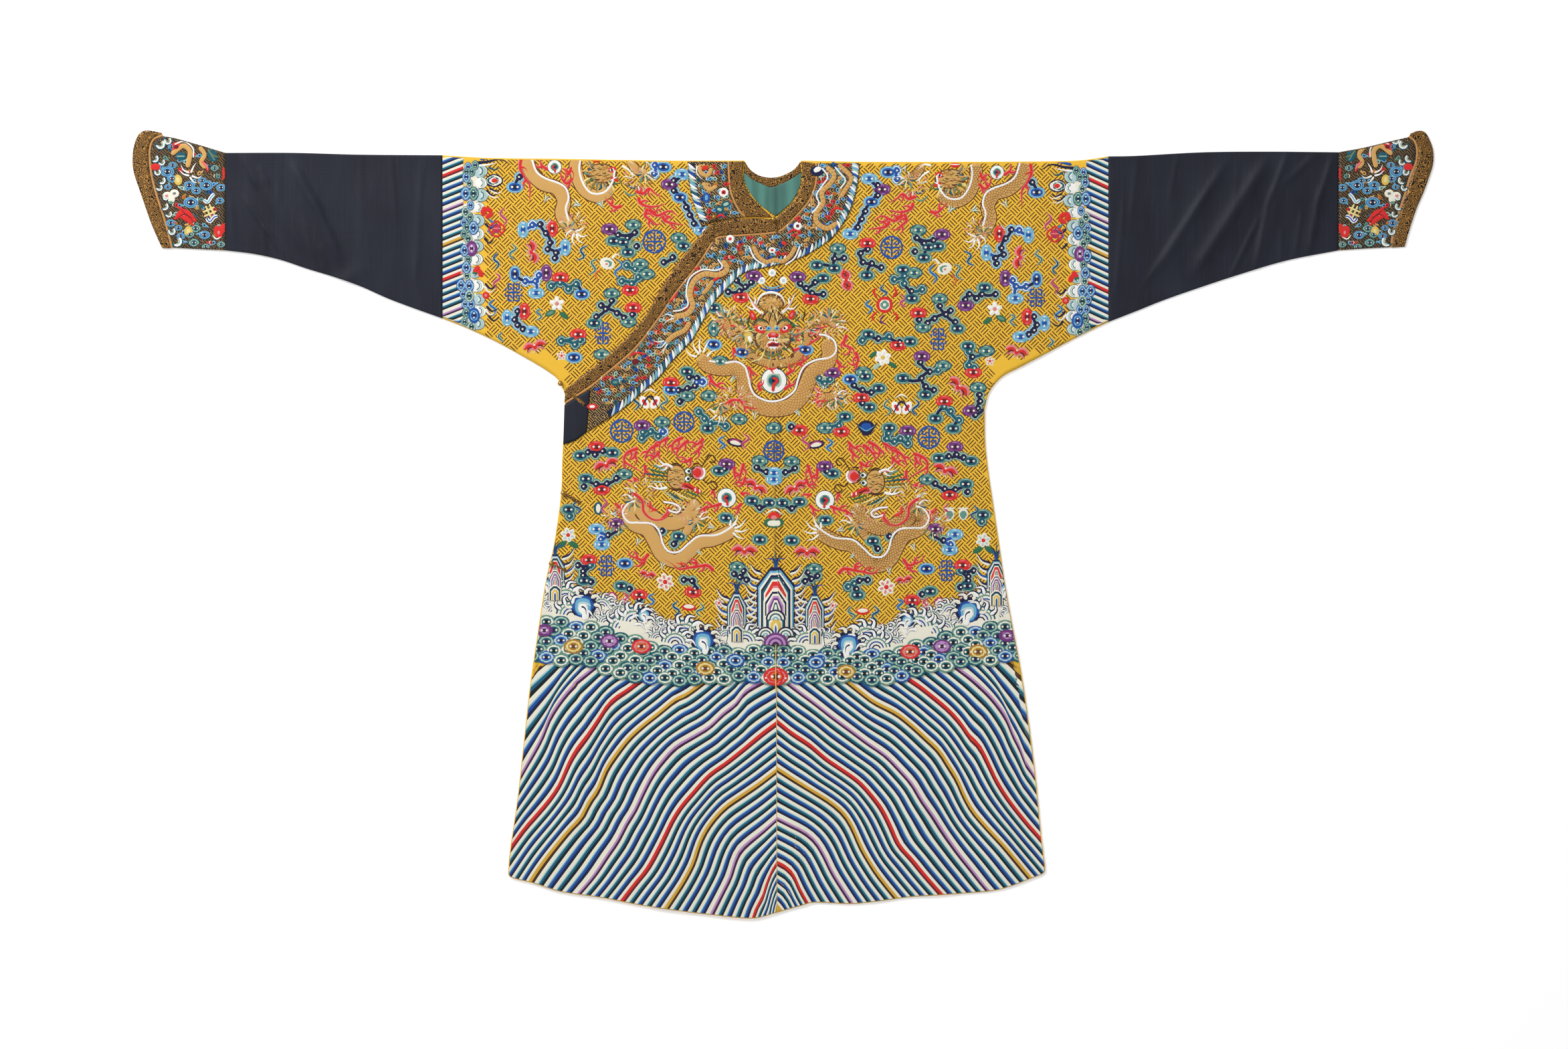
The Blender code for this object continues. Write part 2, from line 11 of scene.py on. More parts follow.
import bmesh
import bpy
import numpy as np
from bpy.props import FloatProperty, FloatVectorProperty, PointerProperty
from mathutils import Vector
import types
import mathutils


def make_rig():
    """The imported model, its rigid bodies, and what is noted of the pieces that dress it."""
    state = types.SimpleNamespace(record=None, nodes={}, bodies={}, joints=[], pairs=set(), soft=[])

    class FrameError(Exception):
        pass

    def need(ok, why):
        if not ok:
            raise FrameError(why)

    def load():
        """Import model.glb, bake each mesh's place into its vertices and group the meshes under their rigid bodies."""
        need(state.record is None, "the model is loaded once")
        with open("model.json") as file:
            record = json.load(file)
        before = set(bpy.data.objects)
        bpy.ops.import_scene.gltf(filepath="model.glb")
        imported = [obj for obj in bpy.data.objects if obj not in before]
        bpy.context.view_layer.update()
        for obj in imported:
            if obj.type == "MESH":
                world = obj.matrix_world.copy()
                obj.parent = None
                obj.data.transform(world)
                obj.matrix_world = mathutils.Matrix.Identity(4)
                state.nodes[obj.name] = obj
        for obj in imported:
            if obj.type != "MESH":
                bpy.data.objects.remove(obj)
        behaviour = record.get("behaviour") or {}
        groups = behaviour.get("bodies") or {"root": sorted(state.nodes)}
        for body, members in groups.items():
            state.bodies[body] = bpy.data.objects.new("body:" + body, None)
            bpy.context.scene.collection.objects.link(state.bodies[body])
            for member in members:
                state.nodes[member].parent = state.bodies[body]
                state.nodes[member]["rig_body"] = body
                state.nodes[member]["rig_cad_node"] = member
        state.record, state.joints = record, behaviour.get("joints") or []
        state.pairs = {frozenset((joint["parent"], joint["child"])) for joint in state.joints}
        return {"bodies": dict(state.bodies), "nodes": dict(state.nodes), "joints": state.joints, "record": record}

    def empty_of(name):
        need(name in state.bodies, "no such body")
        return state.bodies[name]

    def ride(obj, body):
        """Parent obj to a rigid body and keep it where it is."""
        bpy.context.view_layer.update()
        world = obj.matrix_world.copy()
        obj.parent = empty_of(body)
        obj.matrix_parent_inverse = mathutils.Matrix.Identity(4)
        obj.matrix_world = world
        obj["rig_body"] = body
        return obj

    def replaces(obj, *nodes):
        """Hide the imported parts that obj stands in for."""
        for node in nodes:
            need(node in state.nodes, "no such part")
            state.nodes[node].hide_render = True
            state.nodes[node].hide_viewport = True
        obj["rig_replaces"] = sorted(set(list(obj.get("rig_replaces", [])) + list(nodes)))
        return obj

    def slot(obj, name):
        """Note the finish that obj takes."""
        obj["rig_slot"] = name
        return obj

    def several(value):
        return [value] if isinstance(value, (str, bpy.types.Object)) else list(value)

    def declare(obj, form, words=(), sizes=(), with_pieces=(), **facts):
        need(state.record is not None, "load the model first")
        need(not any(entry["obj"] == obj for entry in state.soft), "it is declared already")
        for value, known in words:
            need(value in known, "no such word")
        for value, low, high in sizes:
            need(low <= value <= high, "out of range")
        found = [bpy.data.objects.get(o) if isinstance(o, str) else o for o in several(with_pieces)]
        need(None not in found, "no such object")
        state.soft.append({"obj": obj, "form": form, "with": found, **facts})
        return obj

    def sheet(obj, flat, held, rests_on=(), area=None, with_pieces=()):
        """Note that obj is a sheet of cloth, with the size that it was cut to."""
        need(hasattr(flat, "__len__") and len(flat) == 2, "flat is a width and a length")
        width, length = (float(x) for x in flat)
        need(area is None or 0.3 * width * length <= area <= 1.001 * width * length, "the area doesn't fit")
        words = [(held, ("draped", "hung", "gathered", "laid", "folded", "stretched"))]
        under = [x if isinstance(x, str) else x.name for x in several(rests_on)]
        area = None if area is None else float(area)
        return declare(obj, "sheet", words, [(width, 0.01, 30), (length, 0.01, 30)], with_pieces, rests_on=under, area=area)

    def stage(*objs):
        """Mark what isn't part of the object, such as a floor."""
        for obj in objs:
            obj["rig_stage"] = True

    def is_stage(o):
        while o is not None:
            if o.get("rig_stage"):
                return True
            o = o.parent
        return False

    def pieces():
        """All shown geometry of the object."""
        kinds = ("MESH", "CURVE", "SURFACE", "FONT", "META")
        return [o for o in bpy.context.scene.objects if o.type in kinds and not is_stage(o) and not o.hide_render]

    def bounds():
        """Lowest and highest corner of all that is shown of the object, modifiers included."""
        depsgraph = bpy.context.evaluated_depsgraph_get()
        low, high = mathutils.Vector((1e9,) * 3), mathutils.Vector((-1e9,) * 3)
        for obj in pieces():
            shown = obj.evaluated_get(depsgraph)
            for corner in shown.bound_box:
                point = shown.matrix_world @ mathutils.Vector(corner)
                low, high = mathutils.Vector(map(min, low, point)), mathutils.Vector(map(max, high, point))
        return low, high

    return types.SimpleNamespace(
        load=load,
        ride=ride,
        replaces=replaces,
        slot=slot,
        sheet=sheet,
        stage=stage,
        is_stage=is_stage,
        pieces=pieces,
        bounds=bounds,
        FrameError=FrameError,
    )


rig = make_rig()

bl_info = {
    "name": "Dragon Robe",
    "version": (1, 0, 0),
    "blender": (4, 5, 0),
    "location": "View3D > Sidebar > Robe",
    "description": "Builds the cloth, trimmings and embroidery of a court robe laid flat",
    "category": "Object",
}

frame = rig.load()
CAD_BOX = [list(map(float, corner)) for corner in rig.bounds()]

MM = 0.001
SPAN = 2200.0          # cuff tip to cuff tip on the robe
SPAN_IN_PIXELS = 1945
PIXEL = round(SPAN / SPAN_IN_PIXELS, 3)  # length of one pixel on the robe
MIDDLE_PIXEL = (1170.5, 784.0)          # column and row of the lengths' origin
PIXEL_PAIR = re.compile(r"(?<![\d.])(\d+(?:\.\d+)?),(\d+(?:\.\d+)?)")
ORIGIN_SHIFT = (-0.305, 0.198, 0.027)   # the frame's origin against the lengths' origin


def spot(column, row):
    """Place on the robe of a pixel, to the whole millimetre."""
    return round((column - MIDDLE_PIXEL[0]) * PIXEL), round((MIDDLE_PIXEL[1] - row) * PIXEL)


def in_mm(table):
    """The same table with each pair of column and row, joined by a comma, in millimetres."""
    return PIXEL_PAIR.sub(lambda pair: "%d,%d" % spot(float(pair[1]), float(pair[2])), table)


def line_of(marks):
    """Places of a row of pixels."""
    return [spot(*map(float, mark.split(","))) for mark in marks.split()]


def rows_in_mm(table):
    """Numbers of each line of a table, pixels in millimetres."""
    return [tuple(map(float, row.replace(",", " ").split())) for row in in_mm(table).strip().splitlines()]


# ---- cloth ----------------------------------------------------------------------------------------
CLOTH = 1.2            # thickness of every cloth wall
LINING = 1.0
LAYER_GAP = 0.5        # air between two layers that lie on each other
SEAM_GAP = 0.3
CUFF_GAP = 0.6
PITCH = CLOTH + LAYER_GAP
BACK_Z = CLOTH / 2
FRONT_Z = BACK_Z + PITCH
PIPING_WIDTH = 3.2
LIFT_WIDTH = 70.0
LIFT_TOP = (525.0, 605.0)
SEAM_KNEE = (-12, 215)
NECK_END = 7
BAND_END = [(-323.5, 230), (-329, 157)]
BAND_SHARE = 36 / 40   # the share of the overlap stretch that the dark band covers
PIPING_HEIGHT = 1.4
BALL_RADIUS = 4.5
STRIP_WIDTH = 5.5
STRIP_HEIGHT = 1.6
TRIM_GAP = 0.5
LATTICE_CELL = 15.0    # one square of the couched lattice, three bars in each
LATTICE_REACH = 1500.0  # the lattice is laid out this far from the middle, then cut to the cloth
LINING_SEAM = 0.012    # metres from the middle of the frame to the seam of the back neck lining, where the lining's painted shade is darkest
CUFFS_FROM = 0.93      # metres from the middle at which the cuffs begin; their gold is darker
FRET_CELL = 10.0       # one square of the bands' gold key fret
DIAGONAL = 0.7071      # sine and cosine of 45 degrees
BACK_WAVES_TOP = -300.0  # the hidden back has plain slanting stripes below this height
BACK_WAVES_SLOPE = 0.75
BACK_WAVES_SPACING = 110.0
OVERLAP_COLUMNS = 64   # cells across the overlap and up it
OVERLAP_ROWS = 110
TUBE_COLUMNS = 108     # cells along a sleeve, and across its front and its back
TUBE_ROWS = (64, 12)
CUFF_COLUMNS = 20
NECK_STATIONS = 72     # cells along the collar at the neck, then along the overlap
OVERLAP_STATIONS = 160
BAND_STATIONS = round(OVERLAP_STATIONS * BAND_SHARE)  # before the dark band's end
# width and length of the flat cloth of each piece but the body halves, the sleeves and the strips
CUT_SIZES = {"overlap": (480, 1190), "cuff": (136, 390), "cuff_edging": (36, 420), "side_silk": (52, 82),
             "inner_silk": (80, 132), "inner_edging": (46, 118), "neck_brocade": (24, 118),
             "neck_silk": (72, 104)}
SLEEVE_GIRTH = 580     # round a sleeve's wide end, with some to spare
SLEEVE_SLANT = 8       # a sleeve's mean length is this much more than its reach to the side


# cut lines: line_of() reads columns and rows of pixels, the plain lists are x, y in millimetres
LEFT_HEM = line_of("1161.5,1364 1180,1359 1200,1353 1220,1349 1280,1351 1360,1341 1400,1338 1480,1332 "
                   "1510,1325 1540,1314 1560,1305 1562,1292")
LEFT_SIDE = line_of("1562,1292 1557,1250 1547,1150 1534,1050 1524,990 1513,930 1502,870 1493,810 1484,750 "
                    "1478,710 1473,660 1472,612")
LEFT_UPPER_SLEEVE_LOW = line_of("1472,612 1476,592 1484,578 1500,562 1526,549 1561,530 1599,510 1640,490 "
                                "1657,482")
LEFT_SHOULDER = line_of("1198,240 1300,242 1460,242 1580,241 1620,239 1657,234")
LEFT_SLEEVE_LOW = line_of("1657,482 1700,465 1740,449 1793,430 1855,410 1924,390 2001,375")
LEFT_SLEEVE_TOP = line_of("1657,234 1700,233 1800,228 1900,227 2001,228")
LEFT_CUFF_LOW = line_of("2001,375 2040,372 2079,370")
LEFT_CUFF_TOP = line_of("2001,228 2040,221 2080,211 2106,204")
LEFT_CUFF_LINE = [(1028, 468)] + line_of("2083,346 2091,319 2101,290 2109,263 2117,243 2118,225 2115,212 "
                                         "2106,204")
LEFT_CUFF_MOUTH = line_of("2100,369 2105,350 2111,330 2118,310 2127,290 2137,263 2142,245 2142,225 2137,209 "
                          "2130,198 2119,196") + [(1061, 660.2)]

RIGHT_HEM = line_of("1161.5,1364 1140,1370 1120,1373 1080,1369 1020,1362 960,1353 900,1342 840,1333 "
                    "800,1321 764,1311 760,1300")
RIGHT_SIDE = line_of("760,1300 763,1270 774,1190 783,1110 792,1030 804,950 816,870 829,810 839,740 841,690 "
                     "843,640 845,590")
RIGHT_UPPER_SLEEVE_LOW = line_of("845,590 840,576 832,565 811,550 777,530 740,510 700,491 662,476")
RIGHT_SHOULDER = line_of("1113,240 1000,240 840,238 760,237 720,236 662,232")
RIGHT_SLEEVE_LOW = line_of("662,476 620,461 580,446 540,429 500,414 460,402 420,389 380,380 338,375")
RIGHT_SLEEVE_TOP = line_of("662,232 540,231 440,229 338,229")
RIGHT_CUFF_LOW = line_of("338,375 300,373 258,371")
RIGHT_CUFF_TOP = line_of("338,229 300,217 262,207 244,202")
RIGHT_CUFF_LINE = line_of("258,371 248,334 240,309 234,290 228,266 225,247 224.5,225 230,209 244,202")
RIGHT_CUFF_MOUTH = line_of("243,371 234,352 225,330 210,287 201,258 199,238 201,220 207,203 "
                           "216,196") + [(-1066, 665), (-1050, 661.5)]

LEFT_FRONT_NECK = [(-13, 518), (-5, 523), (5, 532), (15, 541), (24, 555), (31, 572), (33, 595), (31, 615)]
RIGHT_FRONT_NECK = [(-13, 520), (-17, 522), (-37, 536), (-51, 550), (-60, 564), (-66, 578), (-68, 596),
                    (-65, 615)]
LEFT_BACK_NECK = [(-20, 586), (-5, 588), (11, 595), (22, 603), (31, 615)]
RIGHT_BACK_NECK = [(-20, 586), (-35, 588), (-48, 594), (-58, 603), (-65, 615)]
FACING_LOW = [(-66, 595), (-51, 583), (-34, 575), (-20, 570), (-5, 575), (11, 582), (31, 595)]

# sections across the collar: edge of the cloth, piping, outer edge of the dark band (x, y of each)
COLLAR_SECTIONS = [(31, 615, 56, 612, 129, 612), (33, 595, 57, 590, 129, 593),
                   (31, 572, 54, 569, 125, 567), (24, 555, 46, 549, 117, 538),
                   (15, 541, 33, 532, 103, 509), (5, 532, 19, 517, 82, 483),
                   (-5, 523, 6, 504, 51, 461), (-15, 516, -7, 495, 22, 447),
                   (-37, 517, -30, 491, -6, 439), (-59, 517, -59, 489, -32, 433),
                   (-84, 515, -87, 487, -53, 429), (-105, 511, -110, 484, -71, 421),
                   (-123, 506, -121, 473, -82, 411), (-141, 487, -131, 457, -93, 400),
                   (-156, 469, -141, 442, -105, 388), (-170, 451, -153, 426, -116, 375),
                   (-186, 430, -169, 406, -127, 357), (-202, 404, -184, 387, -139, 336),
                   (-217, 379, -200, 362, -152, 313), (-231, 353, -218, 337, -169, 294),
                   (-249, 331, -237, 312, -188, 274), (-271, 308, -257, 290, -209, 248),
                   (-294, 287, -281, 269, -235, 225), (-314, 271, -303, 251, -261, 202),
                   (-336, 253, -325, 233, -292, 180), (-367, 229, -368, 205, -329, 157)]
FACING_TOP = [(-369, 201.5), (-349, 214.5), (-325, 228.5)]
FACING_BOTTOM = [(-371, 135), (-350, 142), (-331, 156)]
INNER_OUTER = [(-137, 502), (-143, 519), (-151, 542), (-157, 566), (-160, 590), (-161, 613)]
INNER_PIPING = [(-63, 519.5), (-73, 529), (-83, 548), (-89, 567), (-91, 590), (-92, 613)]
INNER_EDGE = [(-19, 520.5), (-37, 536), (-51, 550), (-60, 564), (-66, 578), (-68, 596), (-66, 613)]
INNER_LOW = [(-140, 498), (-124, 509), (-105, 513), (-84, 517), (-59, 519.3), (-37, 519.3), (-19, 519)]
LINING_LOW = [(-66, 589), (-64, 578), (-58, 565), (-49.5, 552), (-36, 538), (-17, 524.5), (-13, 521.5),
              (-5.5, 525.5), (3.5, 534), (13, 543), (22, 556.5), (29, 572.5), (31, 589)]


# ---- soft folds: x0, y0, x1, y1, half width, height ----
FOLDS = [(-899, 601, -812, 470, 13, 2.2), (-826, 596, -758, 452, 17, 3.2), (-785, 372, -713, 430, 15, 1.8),
         (-700, 590, -690, 470, 20, 1.4), (735, 600, 650, 430, 18, 2.6), (815, 606, 700, 436, 18, 3.0),
         (851, 620, 803, 440, 12, 2.4), (925, 612, 888, 470, 12, 2.2), (590, 540, 575, 400, 20, 1.6),
         (12, -500, 36, -640, 16, 3.0), (-150, -420, -196, -648, 30, 2.2), (210, -400, 262, -626, 30, 2.2),
         (-330, -300, -392, -600, 28, 2.0), (330, -300, 385, -600, 28, 2.0)]
FOLD_END = 60.0        # a fold dies away over this length at each end

# ball buttons: place, x, y, layers under the ball, strip from x0, y0 to x1, y1, layers under the strip
BUTTONS = [("neck", -16, 515, 2, -14, 507.5, -10, 494, 2),
           ("corner", -116, 519, 1, -117, 508, -118, 478, 2),
           ("underarm", -376, 238, 0, -364, 226, -335, 202, 2),
           ("side_upper", -371, 53, 1, -366, 50, -342, 36, 1),
           ("side_lower", -391, -66, 1, -385, -69, -364, -80, 1)]

STEPS = 12             # points on a smooth line for each row of its table


def smooth(rows):
    """Dense smooth line through the rows (Catmull-Rom), any number of columns."""
    p = np.asarray(rows, float)
    p = np.vstack([2 * p[0] - p[1], p, 2 * p[-1] - p[-2]])
    t = np.linspace(0, 1, STEPS, endpoint=False)[:, None]
    parts = []
    for a, b, c, d in zip(p[:-3], p[1:-2], p[2:-1], p[3:]):
        parts.append(0.5 * (2 * b + (c - a) * t + (2 * a - 5 * b + 4 * c - d) * t ** 2
                            + (3 * b - a - 3 * c + d) * t ** 3))
    return np.vstack(parts + [p[-2:-1]])


def along(rows, where):
    """Points at fractions of the length of the smooth line through rows."""
    return sample(smooth(rows), where)


def sample(line, where):
    """Points at fractions of the length of a line, measured on its first two columns."""
    step = np.hypot(*np.diff(line[:, :2], axis=0).T)
    length = np.concatenate([[0], np.cumsum(step)])
    where = np.asarray(where) * length[-1]
    return np.stack([np.interp(where, length, column) for column in line.T], axis=1)


def shifted(rows, distance):
    """The rows moved sideways by a distance, to the left of the direction they run in."""
    p = np.asarray(rows, float)
    d = np.gradient(p, axis=0)
    d /= np.linalg.norm(d, axis=1)[:, None]
    return p + distance * np.stack([-d[:, 1], d[:, 0]], axis=1)


def beside(rows, distance):
    """Sampler of the line beside the smooth line through rows, at fractions of the length of that line."""
    line = smooth(rows)
    line = np.hstack([line, shifted(line, distance)])
    return lambda where: sample(line, where)[:, 2:]


def patch(low, top, start, end):
    """Grid between four edges (Coons): low and top run along u, start and end along v."""
    u = np.linspace(0, 1, len(low))[:, None, None]
    v = np.linspace(0, 1, len(start))[None, :, None]
    low, top = low[:, None, :], top[:, None, :]
    start, end = start[None, :, :], end[None, :, :]
    corners = ((1 - u) * (1 - v) * low[:1] + u * (1 - v) * low[-1:] + (1 - u) * v * top[:1]
               + u * v * top[-1:])
    return (1 - v) * low + v * top + (1 - u) * start + u * end - corners


def even(count):
    return np.linspace(0, 1, count + 1)


def straight(a, b, where):
    return np.asarray(a, float) + (np.asarray(b, float) - np.asarray(a, float)) * np.asarray(where)[:, None]


# ---- height of the cloth --------------------------------------------------------------------------
# fine creases: both ends in pixels, half width, height
LEFT_SLEEVE_CREASES = rows_in_mm("""
1828,250 1735,400 7 2.3
1800,290 1715,420 5 1.5
1890,245 1790,400 9 2.6
1922,235 1898,300 4 2.1
1898,290 1878,395 4 1.9
1880,330 1842,410 4 1.9
1962,235 1920,275 6 1.7
1990,240 1972,300 4 2.1
1972,290 1957,378 4 1.9
1945,320 1935,385 4 1.3
1915,345 1915,395 4 1.3
1700,240 1690,330 5 1.1
1680,300 1668,440 4 1.1
1760,235 1748,300 4 1.1
1850,240 1846,300 4 0.8
""")
RIGHT_SLEEVE_CREASES = rows_in_mm("""
365,236 385,278 6 1.7
390,250 400,275 4 1.3
368,298 402,350 4 1.7
400,342 422,378 4 1.7
395,340 397,385 4 1.3
438,246 475,312 8 2.6
473,305 507,385 7 2.5
480,368 488,402 4 1.3
418,236 418,300 4 0.8
540,236 541,350 4 0.8
585,236 592,330 4 1.1
630,250 622,420 5 1.1
345,300 352,360 4 1.3
455,330 470,385 4 1.1
""")
BODY_CREASES = rows_in_mm("""
1480,560 1440,640 14 1.2
1470,600 1400,760 16 1.0
860,640 900,780 16 1.0
1560,300 1470,520 12 0.7
760,300 840,500 12 0.7
1300,260 1320,400 14 0.6
1163,700 1164,960 5 0.7
1163,1000 1164,1180 6 0.8
1200,1040 1240,1340 18 1.2
1350,1080 1400,1330 22 1.3
1440,1000 1520,1290 20 1.2
1000,1060 985,1350 20 1.2
890,1020 850,1320 22 1.2
1090,1180 1080,1360 14 1.0
1290,1200 1310,1345 14 1.0
""")
CREASES = LEFT_SLEEVE_CREASES + RIGHT_SLEEVE_CREASES + BODY_CREASES
RIPPLES = ((61.0, 23.0, 0.9), (-37.0, 71.0, 2.1), (19.0, -47.0, 4.0))   # wavelength-like x, y, phase
RIPPLE_HEIGHT = 0.16


def ease(t):
    t = np.clip(t, 0, 1)
    return t * t * (3 - 2 * t)


def lift(x, y):
    """1 where the overlap lies below the trimming, easing to 0 on the left front and at the shoulder."""
    return (1 - ease((x + 13) / LIFT_WIDTH)) * (1 - ease((y - LIFT_TOP[0]) / (LIFT_TOP[1] - LIFT_TOP[0])))


def folds(x, y, rows):
    """Sum of ridges: height * exp(-(across / half width)^2), dying away at both ends."""
    height = np.zeros_like(x)
    for x0, y0, x1, y1, width, top in rows:
        length = math.hypot(x1 - x0, y1 - y0)
        dx, dy = (x1 - x0) / length, (y1 - y0) / length
        along_fold = (x - x0) * dx + (y - y0) * dy
        across = (x - x0) * dy - (y - y0) * dx
        end = min(FOLD_END, length / 2)
        ends = ease((along_fold + end / 2) / end) * ease((length + end / 2 - along_fold) / end)
        height += top * np.exp(-(across / width) ** 2) * ends
    return height


def ripples(x, y):
    """Faint unevenness of the silk: mean of three slanting sine waves, never below zero."""
    waves = [1 + np.sin(x / a + y / b + phase) for a, b, phase in RIPPLES]
    return RIPPLE_HEIGHT * sum(waves)


def front_height(points):
    """Middle of the left front, the overlap, sleeves and cuffs."""
    x, y = points[..., 0], points[..., 1]
    return FRONT_Z + PITCH * lift(x, y) + folds(x, y, FOLDS + CREASES) + ripples(x, y)


def under_height(points):
    """Middle of the right front, which the overlap covers up to the collar."""
    x, y = points[..., 0], points[..., 1]
    return FRONT_Z + ripples(x, y) + folds(x, y, CREASES) * ease((y - 250) / 80)


def flat_height(level):
    return lambda points: np.full(points.shape[:-1], level)


def raised(height, layers=1, thickness=CLOTH):
    """Height of a piece that lies this many layers above another, measured to its middle."""
    return lambda points: height(points) + PITCH * layers + (thickness - CLOTH) / 2


OVERLAP_EDGE = np.array([row[:2] for row in COLLAR_SECTIONS[NECK_END:]], float)[::-1]


def embroidered_top(points):
    """Upper face of the cloth that shows: the right front above the overlap's edge, else the front."""
    x, y = points[..., 0], points[..., 1]
    edge = np.interp(x, OVERLAP_EDGE[:, 0], OVERLAP_EDGE[:, 1])
    under = (x < -15) & (y > edge)
    return np.where(under, under_height(points), front_height(points)) + CLOTH / 2


# ---- meshes ---------------------------------------------------------------------------------------
def grid_faces(columns, rows, first=0):
    """Quads of a grid of points [column, row], wound upwards when rows run left of the columns."""
    index = np.arange(columns * rows).reshape(columns, rows) + first
    quads = np.stack([index[:-1, :-1], index[1:, :-1], index[1:, 1:], index[:-1, 1:]], axis=-1)
    return quads.reshape(-1, 4)


def make_object(name, points, faces, materials, smooth=True, slots=None):
    """Object from points in table millimetres and quads, placed in the frame in metres."""
    mesh = bpy.data.meshes.new(name)
    points = (np.asarray(points, float).reshape(-1, 3) + ORIGIN_SHIFT) * MM
    faces = np.asarray(faces, np.int32)
    mesh.vertices.add(len(points))
    mesh.vertices.foreach_set("co", points.ravel())
    mesh.loops.add(faces.size)
    mesh.loops.foreach_set("vertex_index", faces.ravel())
    mesh.polygons.add(len(faces))
    mesh.polygons.foreach_set("loop_start", np.arange(0, faces.size, faces.shape[1], dtype=np.int32))
    if slots is not None:
        mesh.polygons.foreach_set("material_index", np.asarray(slots, np.int32))
    mesh.update(calc_edges=True)
    mesh.validate()
    if smooth:
        mesh.shade_smooth()
    piece = bpy.data.objects.new(name, mesh)
    for material in materials:
        mesh.materials.append(material)
    bpy.context.scene.collection.objects.link(piece)
    return piece


def weld(mesh):
    bm = bmesh.new()
    bm.from_mesh(mesh)
    bmesh.ops.remove_doubles(bm, verts=bm.verts, dist=0.00001)
    bm.to_mesh(mesh)
    bm.free()


def close_and_turn(mesh):
    """Caps on the open ends, then every face turned outwards."""
    bm = bmesh.new()
    bm.from_mesh(mesh)
    bmesh.ops.holes_fill(bm, edges=bm.edges, sides=0)
    bmesh.ops.recalc_face_normals(bm, faces=bm.faces)
    bm.to_mesh(mesh)
    bm.free()


def patch_area(grid):
    """Area of a grid of points: half the cross products of its cells' diagonals, summed (mm^2)."""
    a = grid[1:, 1:] - grid[:-1, :-1]
    b = grid[:-1, 1:] - grid[1:, :-1]
    return np.linalg.norm(np.cross(a, b), axis=-1) / 2


def cloth(name, points, material, flat, rests_on, thickness=CLOTH, keep=None, ring=False, slot=None,
          nodes=None, attributes=None, shown=(0, 0)):
    """Piece of cloth from a grid of points [column, row, xyz] in mm, thickened equally to both sides.
    shown is a cell of the grid that looks up."""
    columns, rows = points.shape[:2]
    faces = grid_faces(columns, rows)
    area = patch_area(points).ravel()
    i, j = shown
    if np.cross(points[i + 1, j] - points[i, j], points[i, j + 1] - points[i, j])[2] < 0:
        faces = faces[:, ::-1]
    if keep is not None:
        faces, area = faces[keep.ravel()], area[keep.ravel()]
    used, faces = np.unique(faces, return_inverse=True)
    faces = faces.reshape(-1, 4)
    piece = make_object(name, points.reshape(-1, 3)[used], faces, [material])
    for key, values in (attributes or {}).items():
        layer = piece.data.attributes.new(key, "FLOAT", "POINT")
        values = np.broadcast_to(values, points.shape[:2]).reshape(-1)[used]
        layer.data.foreach_set("value", values.astype(np.float32))
    if ring:
        weld(piece.data)
    solid = piece.modifiers.new("Thickness", "SOLIDIFY")
    solid.thickness = thickness * MM
    solid.offset = 0.0
    if flat is not None:
        flat = (flat[0] * MM, flat[1] * MM)
        SHEETS.append((piece, flat, min(float(area.sum()) * MM * MM, flat[0] * flat[1]), rests_on))
    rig.ride(piece, "root")
    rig.slot(piece, slot)
    if nodes:
        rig.replaces(piece, nodes)
    return piece


def with_height(grid, height):
    return np.concatenate([grid, height(grid)[..., None]], axis=2)


FOLD_ANGLES = (68, 45, 22, 0, -22, -45, -68)


def fold_line(edge, front, back):
    """Rows round a folded edge: edge - out * r + (out * r * cos a, reach * sin a) for each angle a."""
    radius = PITCH / 2
    run = np.gradient(edge, axis=0)
    run /= np.linalg.norm(run, axis=1)[:, None]
    normal = np.stack([-run[:, 1], run[:, 0]], axis=1)
    out = edge - front[:, -2, :2]
    out /= np.linalg.norm(out, axis=1)[:, None]
    out /= np.maximum(abs((out * normal).sum(axis=1)), 0.5)[:, None]
    base = edge - out * (radius + CLOTH / 2)
    front[:, -1, :2] = base
    back[:, -1, :2] = base
    middle = (front[:, -1, 2] + back[:, -1, 2]) / 2
    reach = (front[:, -1, 2] - back[:, -1, 2]) / 2
    rows = []
    for angle in FOLD_ANGLES:
        a = math.radians(angle)
        rows.append(np.column_stack([base + out * radius * math.cos(a), middle + reach * math.sin(a)]))
    return np.stack(rows, axis=1)


def finer(stations, times):
    """Each interval of the stations cut into this many."""
    stations = np.asarray(stations, float)
    index = np.linspace(0, len(stations) - 1, (len(stations) - 1) * times + 1)
    return np.interp(index, np.arange(len(stations)), stations)


COLUMN_SPLIT = 4       # finer columns than the frame's solids
FRONT_ROWS = (86, 44)  # rows from hem to underarm, and from there to the shoulder
BACK_ROWS = (36, 16)
CUFF_ROWS = (44, 16)   # rows across the cuff, front and back
BODY_TORSO = finer([0, 0.04, 0.08, 0.12, 0.16, 0.2, 0.24, 0.32, 0.41, 0.5, 0.6, 0.7, 0.8, 0.89, 0.96, 1.0],
                   COLUMN_SPLIT)
NECK_COLUMNS = 6 * COLUMN_SPLIT
SLEEVE_COLUMNS = 7 * COLUMN_SPLIT


